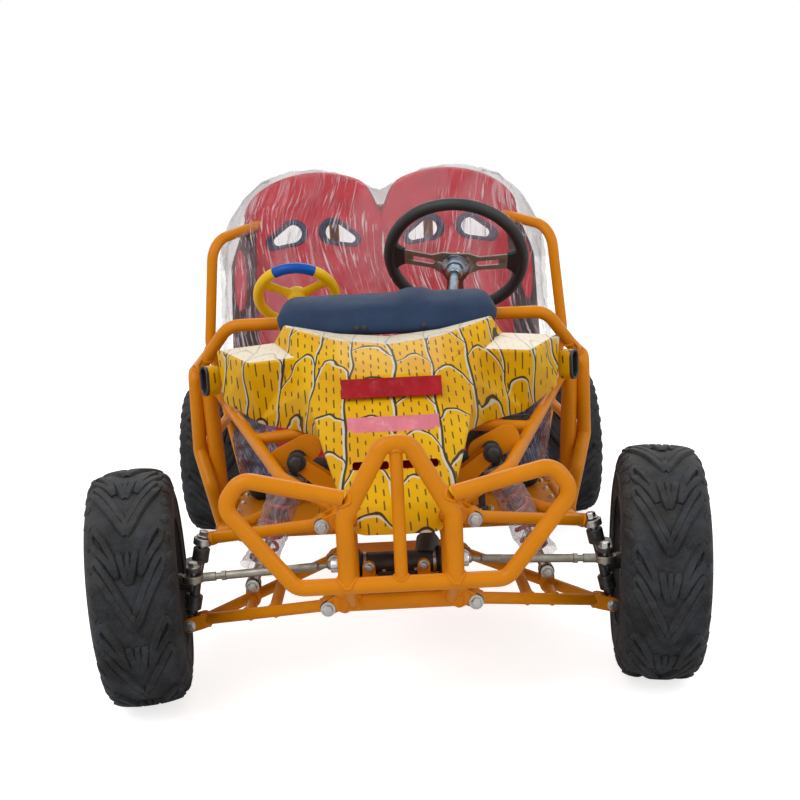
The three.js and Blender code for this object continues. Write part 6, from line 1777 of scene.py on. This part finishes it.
section = rounded([(566, 253.6, 14), (560, 347, 32), (852, 347, 18), (822, 253.6, 8)])
middle, CUSHION_HALF = Vector((706, 300)), 358
normals = []
for before, p, after in zip(section[-1:] + section, section, section[1:] + section[:1]):
    out = Vector((-(after - before).y, (after - before).x)).normalized()
    normals.append(out if out.dot(p - middle) > 0 else -out)
rows = []
for u in bunched(132):
    x = CUSHION_HALF * u
    a = abs(x)
    swell = rim_share((1 - abs(u)) * CUSHION_HALF, 30)
    slack = 30 * (1 - swell)
    row = []
    for p, n in zip(section, normals):
        top = max(0.0, n.y)
        lift = top * (5 * max(0.0, 1 - ((a - 178) / 160) ** 2) + 7 * groove(a - 300, 34) - 5 * groove(a - 178, 60))
        lift -= 4.5 * (groove(a - 262, 4.5) + groove(a - 94, 4.5)) * top + 8 * groove(a, 7)
        lift -= 4 * groove(p.x - 640, 5) * top * (1 - ease(a, 250, 270)) + 3 * groove(p.y - 300, 4) * max(0, -n.x)
        lift += 1.2 * rucks((x, p.x, p.y), 0.02, 4.0) * (0.3 + top)
        scale = Vector(((146 - slack) / 146, (47 - slack) / 47))
        q = middle + (p - middle) * scale + n * lift * swell
        row.append(Vector((x, q.x, q.y)))
    rows.append(row)
cushion = loft(Shape(), rows)
cushion.marks = [int(abs(p.x) < 9 or p.z < 300 or p.y < 590 or abs(p.x) > 322)
                 for row in rows[:-1] for p in row] + [1, 1]
seat_cushion = piece("seat_cushion_padding", cushion, SEAT_LOOKS, "frame", ["seat_cushion"], sharp=70)
print("cushion", len(seat_cushion.data.vertices))

# %% [markdown]
# A sheet of clear film still lies over the back. It runs up the front, over both heads and down behind, wider than
# the seats, and crumples as it goes.

# %% Film over the seats
def area_of(obj):
    return sum(f.area for f in obj.data.polygons)


def film_top(x):
    return float(np.interp(abs(x), (0, 60, 120, 178, 250, 330, 380, 420, 452),
                           (778, 800, 832, 841, 840, 815, 768, 702, 640)))


FILM_HALF, FRONT_STEPS, TOP_STEPS, FILM_STEPS = 452, 90, 106, 150
HEM, TURN, BEHIND = 170, 26, 56


def clear_of_pad(x, h, out):
    """The film's distance out, or the padding's skin and a little more where that is further."""
    edge = min(back_width(h) - abs(x), back_top(x) - h)
    return max(out, pad_front(x, h) * rim_share(edge) + 4) if edge > 0 else out


def film_front(x, h):
    tent = BACK_THICK + 10 + 46 * ease(abs(x), 285, 360) * ease(h, 60, 160) * (1 - ease(h, 590, 690))
    drop = ease(abs(x), 410, FILM_HALF)
    return tent * (1 - drop) - 34 * drop


def film_spot(x, j):
    """The film's point at one place across and one step along, from the front's hem over the top and down behind."""
    top = film_top(x) - TURN
    crumple = 0.5 + 0.5 * rucks((x, j * 9.0, 0), 0.012, 2.0)
    fine = 0.6 * rucks((x, j * 7.0, 5), 0.035, 6.0)
    crease = abs(rucks((x * 1.4, j * 6.0, 11), 0.016, 9.0))
    puff = 13 * crumple + 5 * fine - 9 * max(0, 0.25 - crease) * 2
    if j <= FRONT_STEPS:
        h = HEM + 16 * rucks((x, 0, 0), 0.02, 1.0) + (top - HEM) * j / FRONT_STEPS
        out = clear_of_pad(x, h, film_front(x, h) * (1 - 0.45 * ease(j, 70, FRONT_STEPS)) + max(1.5, puff + 3))
    elif j <= TOP_STEPS:
        t = math.pi * (j - FRONT_STEPS) / (TOP_STEPS - FRONT_STEPS)
        front = clear_of_pad(x, top, film_front(x, top) * 0.55)
        half = (front + BEHIND) / 2
        h = top + TURN * math.sin(t) + 4 * fine
        out = (front - half) + half * math.cos(t) + puff * math.cos(t)
    else:
        t = (j - TOP_STEPS) / (FILM_STEPS - TOP_STEPS)
        h = top - t * (top - 430) + 10 * fine * t
        out = -BEHIND - 42 * ease(t, 0.02, 0.22) - 10 * crumple - 4 * fine
    return on_back(x * (1 + 0.012 * crumple) + 5 * fine * ease(abs(x), 300, 440), h, out)


FILM_ACROSS = 130
film_rows = [[film_spot(FILM_HALF * (2 * i / FILM_ACROSS - 1), j) for i in range(FILM_ACROSS + 1)]
             for j in range(FILM_STEPS + 1)]
cover = Shape()
quads(cover, film_rows)
hanging = []
for k, p in enumerate(Vector(v) for v in cover.verts):
    h = (p - FOOT).dot(BACK_UP)
    beyond = max(ease(abs(p.x) - back_width(h), -8, 6), ease(h - back_top(p.x), -10, 6))
    hanging.append(max(beyond, 0.4 if k >= (TOP_STEPS + 1) * (FILM_ACROSS + 1) else 0.0))
seat_film = piece("seat_film_cover", cover, [clear_film], "frame", (), sharp=180, fix=False)
seat_film.data.attributes.new("loose", "FLOAT", "POINT").data.foreach_set("value", hanging)
print("film area", round(area_of(seat_film), 3))

# %% [markdown]
# More film is left on the new kart: pinkish bubble film is wound round both front shocks, and bluish film lies
# bunched beside the footwell.

# %% Wraps round the shocks
for side, s in SIDES.items():
    top, low = flip(SHOCK_TOP, s), flip(SHOCK_LOW, s)
    way, u, v = axes_of(low - top)
    rings = []
    for j in range(71):
        along = 24 + j * 2.95
        ring = []
        for cos, sin in circle(72):
            spot = (cos * 30, sin * 30, along)
            radius = 31 + 4 * rucks(spot, 0.03, 3.0 * s) + 2.5 * rucks(spot, 0.09, 7.0)
            radius += 6 * ease(j, 58, 70) - 6 * groove(j - 8, 3)
            ring.append(top + way * along + (u * cos + v * sin) * max(28.6, radius))
        rings.append(ring)
    wrap = loft(Shape(), rings, first=False, last=False)
    wound = piece(f"shock_wrap_{side}", wrap, [bubble_film], f"shock_{side}", (), sharp=180, fix=False)

# %% Bunched film by the footwell
for side, s in SIDES.items():
    rows = []
    for b in (j / 50 * 2 - 1 for j in range(51)):
        row = []
        for a in (i / 40 * 2 - 1 for i in range(41)):
            x, z = s * (318 + 50 * a + 10 * b), 428 + 100 * b + 10 * a
            out = 26 * rucks((x, z, 0), 0.014, 2.0 + s) + 12 * rucks((x, z, 7), 0.04, 5.0)
            row.append(Vector((x + 5 * rucks((z, x, 3), 0.03, 1.0), 470 + 36 * b + out, z)))
        rows.append(row)
    bunch = Shape()
    quads(bunch, rows)
    heap = piece(f"footwell_film_{side}", bunch, [blue_film], "frame", (), sharp=180, fix=False)

# %% [markdown]
# ## Engine and drive
# The engine is a horizontal block of cast alloy with a leaning finned cylinder. Its side cover has ribs and screws,
# and its output shaft carries the small sprocket.

# %% Engine
CRANK, CHAIN_X = (1079, 360.6), -91


def toothed(radii, teeth):
    """A closed outline whose points take the radii in turn, once for every tooth."""
    n = len(radii)
    return [(radii[k % n] * cos, radii[k % n] * sin) for k, (cos, sin) in enumerate(circle(teeth * n))]


engine = Shape()
case_low, case_high = 276.2, 445.0
shares = [(0, .1), (.1, 0), (.86, 0), (1, .16), (1, .72), (.84, 1), (.28, 1), (0, .62)]
outline = rounded([(990 + y * 178, case_low + z * (case_high - case_low), 9) for y, z in shares], 14.0)
for x in (-34, 34):
    plate(engine, outline, 60, (x, 0, 0), Y, UP, 3.0)
plate(engine, inset(outline, -3.5), 7, (0, 0, 0), Y, UP, 1.2)
for y in range(1010, 1143, 22):
    block(engine, (0, y, case_high + 0.5), (118, 4, 5), 1.2)
for x in (-66.5, 66.5):
    for y, z in ((1008, 296), (1068, 286), (1138, 300), (1156, 372), (1120, 432), (1050, 432), (1006, 370)):
        bolt(engine, (x, y, z), (1 if x > 0 else -1, 0, 0), 8, 5, 1)
way = Vector((0, math.sin(math.radians(6)), math.cos(math.radians(6))))
foot = Vector((0, 1079, 440))
rod(engine, foot - way * 6, foot + way * 120, 42, 48, 0, 2)
for k in range(9):
    at = foot + way * (10 + k * 10.5)
    lathe(engine, [(40, -1.4), (55, -1.2), (57, -0.5), (57, 0.5), (55, 1.2), (40, 1.4)], at, way, 64, closed=True)
lathe(engine, [(30, 104), (44, 104), (46, 106), (46, 116), (43, 119.5), (20, 121), (0, 121)], foot, way)
for cos, sin in circle(4, math.pi / 4):
    side = Vector((cos, sin, 0))
    side = (side - way * side.dot(way)).normalized()
    bolt(engine, foot + side * 36 + way * 119, way, 10, 6, 1)
rod(engine, foot + way * 119, foot + way * 128, 9, 6, 1)
rod(engine, foot + way * 127, foot + way * 150, 8, 24, 2, 3)
lathe(engine, [(52, -2), (58, 0), (59, 3), (59, 20), (56, 24), (24, 24), (22, 21), (0, 21)], (66, *CRANK), X, 72)
for cos, sin in circle(16):
    r = Vector((0, cos, sin))
    block(engine, Vector((90.6, *CRANK)) + r * 40, (22, 3.4, 3), 0.8, 0, r, X.cross(r))
for cos, sin in circle(6, math.pi / 6):
    bolt(engine, Vector((86, *CRANK)) + Vector((0, cos, sin)) * 53.32, X, 7, 6, 1)
rod(engine, (0, *PIVOT), (-116, *PIVOT), 11, 32, 1, 1.5)
lathe(engine, [(20, -66), (26, -66), (28, -69), (28, -72), (24, -75), (11, -75)], (0, *PIVOT), X, 40)
plate(engine, toothed((34.6, 34.6, 30.4, 30.4), 15), 7, (CHAIN_X, *PIVOT), Y, UP, 1.2, 3)
rod(engine, (-50, 1079, 505), (-84, 1079, 505), 15, 32, 2, 2)
block(engine, (-100, 1079, 507), (34, 46, 52), 5)
rod(engine, (-112, 1079, 505), (-150, 1079, 505), 26, 40, 2, 5)
rod(engine, (-26, 1150, 428), (-26, 1158, 452), 12, 24, 2, 3)
piece("engine_block", engine, [cast_alloy, zinc, black_plastic, chain_steel], "frame", ["engine"])
print("engine done")

# %% [markdown]
# The muffler is a black can with rolled ends, two bands and a bent pipe from the cylinder. The fuel tank is a blown
# plastic box with soft corners and a waist seam.

# %% Muffler and tank
muffler = Shape()
can = [(0, -65), (30, -65), (42, -64), (46.5, -62), (47.5, -59), (46, -56), (45, -50), (45, -20), (46, -18), (46, -6),
       (45, -4), (45, 134), (46, 136), (46, 148), (45, 150), (45, 186), (46, 191), (47.5, 194), (46.5, 197), (42, 199),
       (24, 200), (13, 201), (13, 216), (11, 216), (11, 196), (0, 196)]
lathe(muffler, can, (225, 1128, 520), Y, 64)
pipe = bent([(56, 1085.3, 499.7), (168.75, 1085.3, 499.7), (225, 1063, 520), (225, 1083, 520)], 34, 10)
sweep(muffler, pipe, 15, 28)
lathe(muffler, [(17, 0), (26, 0), (27, 1), (27, 6), (26, 7), (17, 7)], (58, 1085.3, 499.7), X, 32, closed=True)
for k in (-1, 1):
    bolt(muffler, (65, 1085.3 + 20 * k, 499.7), X, 10, 7, 1)
for y in (1116, 1270):
    lug(muffler, (225, y, 564), (196, y, 588), 12, 10, 4, Y)
    bolt(muffler, (196, y + 2, 588), Y, 12, 6, 1)
piece("muffler_can", muffler, [soot_black, zinc], "frame", ["muffler"])
tank = Shape()
TANK_Y = 1246
rings = []
for t in (math.pi * (k / 40 - 0.5) for k in range(41)):
    z = 654.3 + 75 * math.copysign(abs(math.sin(t)) ** 0.45, math.sin(t))
    reach = abs(math.cos(t)) ** 0.34
    waist = 2.2 * groove(z - 660, 3) - 1.6 * groove(z - 612, 5) - 1.6 * groove(z - 700, 5)
    ring = []
    for cos, sin in circle(96):
        size = (abs(cos) ** 4.6 + abs(sin) ** 4.6) ** (-1 / 4.6)
        ring.append(Vector(((121 * reach + waist) * cos * size, TANK_Y + (46 * reach + waist) * sin * size, z)))
    rings.append(ring)
loft(tank, rings)
lathe(tank, [(18, -6), (22, -4), (22, 1), (27, 1), (27, 3)], (0, TANK_Y, 729), UP)
lathe(tank, [(0, 15.6), (22, 15.6), (25.4, 14), (26, 12), (26, 2.4), (24, 1.4), (0, 1.4)], (0, TANK_Y, 729), UP)
for cos, sin in circle(24):
    rod(tank, (26 * cos, TANK_Y + 26 * sin, 732), (26 * cos, TANK_Y + 26 * sin, 742), 1.5, 8)
for x in (-78, 78):
    sweep(tank, [(x, 1197.5, 584), (x, 1197, 722), (x, 1206, 731), (x, 1286, 731), (x, 1295, 722), (x, 1294.5, 584)], 7,
          8, 1, squash=0.2, side=X)
rod(tank, (-100, TANK_Y, 584), (-100, TANK_Y, 570), 4.5, 16, 1, 1)
piece("fuel_tank_body", tank, [black_plastic, zinc], "frame", ["fuel_tank"])
print("muffler and tank done")

# %% [markdown]
# The swing arm's two tubes run back from rubber bushes to the bearing boxes of the live axle. The chain is made link
# by link round the two sprockets.

# %% Swing arm
swing = Shape()
legs, ends = [], []
for s in (-1, 1):
    pivot, bearing = Vector((172 * s, *PIVOT)), Vector((172 * s, REAR_Y, AXLE_Z))
    bush(swing, pivot, X, 42, 40)
    run = (bearing - pivot).normalized()
    legs.append(([pivot + run * 16, bearing - run * 28], 15))
    ends += [([spot - X * 18, spot + X * 18], radius) for spot, radius in ((pivot, 20), (bearing, 33))]
    collar(swing, 24, 33, 20, bearing, X, 48, bevel=2)
    lathe(swing, [(15.6, -19), (18, -21.5), (23.5, -21.5), (25, -19), (25, 19), (23.5, 21.5), (18, 21.5), (15.6, 19)],
          bearing, X, 48, 1, closed=True)
    for cos, sin in circle(3, 0.4):
        bolt(swing, bearing + Vector((20 * s, 28.5 * cos, 28.5 * sin)), (s, 0, 0), 7, 4, 1)
legs.append(([Vector((-172, 1200, 252.3)), Vector((172, 1200, 252.3))], 15))
tubes(swing, legs, legs + ends)
fork(swing, (0, 1200, 256), (0, 1208, 290), (19, 14), 14.85, X, grip=35)
piece("swing_arm_tubes", swing, [black_paint, zinc, black_plastic], "swing_arm", ["swing_arm"])


# %% Chain
def belt_points(centre_a, radius_a, centre_b, radius_b, pitch):
    """Points a pitch apart round two wheels."""
    a, b = Vector(centre_a), Vector(centre_b)
    heading = math.atan2((b - a).y, (b - a).x)
    lean = math.acos((radius_a - radius_b) / (b - a).length)
    line = []
    for centre, radius, start, end in ((a, radius_a, heading + lean, heading + 2 * math.pi - lean),
                                       (b, radius_b, heading - lean, heading + lean)):
        line += [centre + Vector((math.cos(start + (end - start) * k / 60),
                                  math.sin(start + (end - start) * k / 60))) * radius
                 for k in range(61)]
    line.append(line[0])
    run = [0.0]
    for p, q in zip(line, line[1:]):
        run.append(run[-1] + (q - p).length)
    count = 2 * round(run[-1] / pitch / 2)
    at = [run[-1] * k / count for k in range(count)]
    return [Vector((float(np.interp(d, run, [p.x for p in line])),
                    float(np.interp(d, run, [p.y for p in line])))) for d in at]


LINK = [(6.35 * math.tanh(2.2 * cos) / math.tanh(2.2) + 5.4 * cos * abs(cos), sin * (5.6 - 0.9 * sin ** 2))
        for cos, sin in circle(24)]
chain = Shape()
links = belt_points((REAR_Y, AXLE_Z), 80, PIVOT, 39.5, 12.7)
for k, p in enumerate(links):
    q = links[(k + 1) % len(links)]
    a, b = Vector((CHAIN_X, p.x, p.y)), Vector((CHAIN_X, q.x, q.y))
    along = (b - a).normalized()
    rod(chain, a - X * 3.2, a + X * 3.2, 4.1, 16, 0, 0.5)
    rod(chain, a - X * 7.3, a + X * 7.3, 1.9, 12, 0, 0.4)
    for x in ((-4.2, 4.2) if k % 2 else (-5.9, 5.9)):
        plate(chain, LINK, 1.4, a.lerp(b, 0.5) + X * x, along, along.cross(X), 0.3)
piece("drive_chain_links", chain, [chain_steel], "swing_arm", ["drive_chain"])
print("chain links", len(links))

# %% Live axle, sprocket and disc
axle = Shape()
rod(axle, (-572, REAR_Y, AXLE_Z), (572, REAR_Y, AXLE_Z), 14.9, 40, 0, 1.5)
for s in (-1, 1):
    for x in (147, 197):
        collar(axle, 15, 21, 5, (x * s, REAR_Y, AXLE_Z), X, mark=1, bevel=1)
        bolt(axle, (x * s, REAR_Y, AXLE_Z + 20), UP, 6, 4, washer=False)
    bolt(axle, (566 * s, REAR_Y, AXLE_Z), (s, 0, 0), 30, 14)
piece("rear_axle_shaft", axle, [zinc, bright_zinc], "rear_axle", ["rear_axle"])


def holed_disc(shape, x, outside, inside, thick, holes, hole_ring, hole):
    """A flat ring with a wavy or toothed edge, and round windows shown by raised lips."""
    half, inner = thick / 2, [(inside * cos, inside * sin) for cos, sin in circle(len(outside))]
    loft(shape, [[(x + d, REAR_Y + p[0] * k, AXLE_Z + p[1] * k) for p in outline] for outline, d, k in (
        (outside, -half, 0.99), (outside, 0.8 - half, 1), (outside, half - 0.8, 1), (outside, half, 0.99),
        (inner, half, 1), (inner, -half, 1))], closed=True)
    for cos, sin in circle(holes):
        spot = Vector((x, REAR_Y + hole_ring * cos, AXLE_Z + hole_ring * sin))
        for d in (-1, 1):
            lathe(shape, [(hole, 0), (hole, 0.5), (hole - 0.9, 0.7), (hole - 1.4, -0.4), (0, -0.6)],
                  spot + X * (d * half), X * d, 20, 1)


sprocket = Shape()
holed_disc(sprocket, CHAIN_X, toothed((74.6, 74.6, 72.2, 69.4, 69.4, 72.2), 38), 29, 7, 6, 49, 10)
collar(sprocket, 15.4, 30, 13, (CHAIN_X, REAR_Y, AXLE_Z), X, 48, 2, 2)
for cos, sin in circle(4, math.pi / 4):
    for d in (-1, 1):
        bolt(sprocket, (CHAIN_X + 3.4 * d, REAR_Y + 36 * cos, AXLE_Z + 36 * sin), (d, 0, 0), 8, 5, 2)
piece("rear_sprocket_wheel", sprocket, [chain_steel, soot_black, zinc], "rear_axle", ["rear_sprocket"])
disc = Shape()
holed_disc(disc, -CHAIN_X, toothed([79 + cos for cos, _ in circle(15)], 12), 29, 5, 18, 66, 4.4)
holed_disc(disc, -CHAIN_X, toothed((46,), 60), 29, 6.4, 6, 38, 4)
collar(disc, 15.4, 30, 13, (-CHAIN_X, REAR_Y, AXLE_Z), X, 48, 2, 2)
piece("brake_disc_wheel", disc, [disc_steel, soot_black, zinc], "rear_axle", ["brake_disc"])
print("drive done")

# %% [markdown]
# The floor is a pressed sheet between the rails, with long beads that stiffen it and screws along its edges.

# %% Floor pan
floor = Shape()
plate(floor, rounded([(x, y, 30) for x, y in ((-376, 340.5), (376, 340.5), (376, 916.5), (-376, 916.5))], 40.0), 3,
      (0, 0, 250.8), X, Y)
for x in range(-300, 301, 60):
    sweep(floor, [(x, 400 + 6 * k, 251.4) for k in range(26)], [0.6, 2.4] + [4.2] * 22 + [2.4, 0.6], 12)
for x in (-366, 366):
    for y in range(380, 900, 85):
        bolt(floor, (x, y, 252.2), UP, 8, 4, 1)
piece("floor_pan_sheet", floor, [powder_orange, zinc], "frame", ["floor_pan"])
print("floor pan done")

# %% [markdown]
# ## Stage
# A pale floor and soft studio lamps. The floor looks white to the camera and keeps the kart's shadow.

# %% Stage
def stage():
    floor_mesh = bpy.data.meshes.new("floor")
    size = 30
    floor_mesh.from_pydata([(-size, -size, 0), (size, -size, 0), (size, size, 0), (-size, size, 0)], [], [(0, 1, 2, 3)])
    in_scene("floor", floor_mesh)
    material, t, shader = finish("floor_white", Roughness=0.8)
    shader.inputs["Base Color"].default_value = (0.8, 0.8, 0.8, 1)
    shader.inputs["Emission Color"].default_value = (1, 1, 1, 1)
    seen = t.node("ShaderNodeLightPath").outputs["Is Camera Ray"]
    t.link(t.times(seen, 0.74), shader.inputs["Emission Strength"])
    floor_mesh.materials.append(material)
    world = bpy.data.worlds.new("studio")
    world.use_nodes = True
    bpy.context.scene.world = world
    tree = Tree(world.node_tree)
    path = tree.node("ShaderNodeLightPath").outputs
    shown = tree.larger(path["Is Camera Ray"], tree.larger(path["Is Glossy Ray"], path["Is Transmission Ray"]))
    background = tree.nodes["Background"]
    background.inputs["Color"].default_value = (1, 1, 1, 1)
    tree.link(tree.span(shown, 0, 1, 0.5, 1.0), background.inputs["Strength"])
    for name, place, aim, size, power in (("key", (-2.6, -3.4, 4.2), (0, -0.2, 0.4), 3.0, 105),
                                          ("fill", (3.4, -2.6, 2.8), (0, 0, 0.4), 2.6, 42),
                                          ("back", (0.5, 3.6, 4.0), (0, 0.2, 0.5), 3.0, 60)):
        lamp = bpy.data.lights.new(name, "AREA")
        lamp.size, lamp.energy = size, power
        obj = in_scene(name, lamp)
        obj.location = place
        obj.rotation_euler = (Vector(aim) - Vector(place)).to_track_quat("-Z", "Y").to_euler()
    bpy.context.scene.view_settings.view_transform = "Standard"


stage()
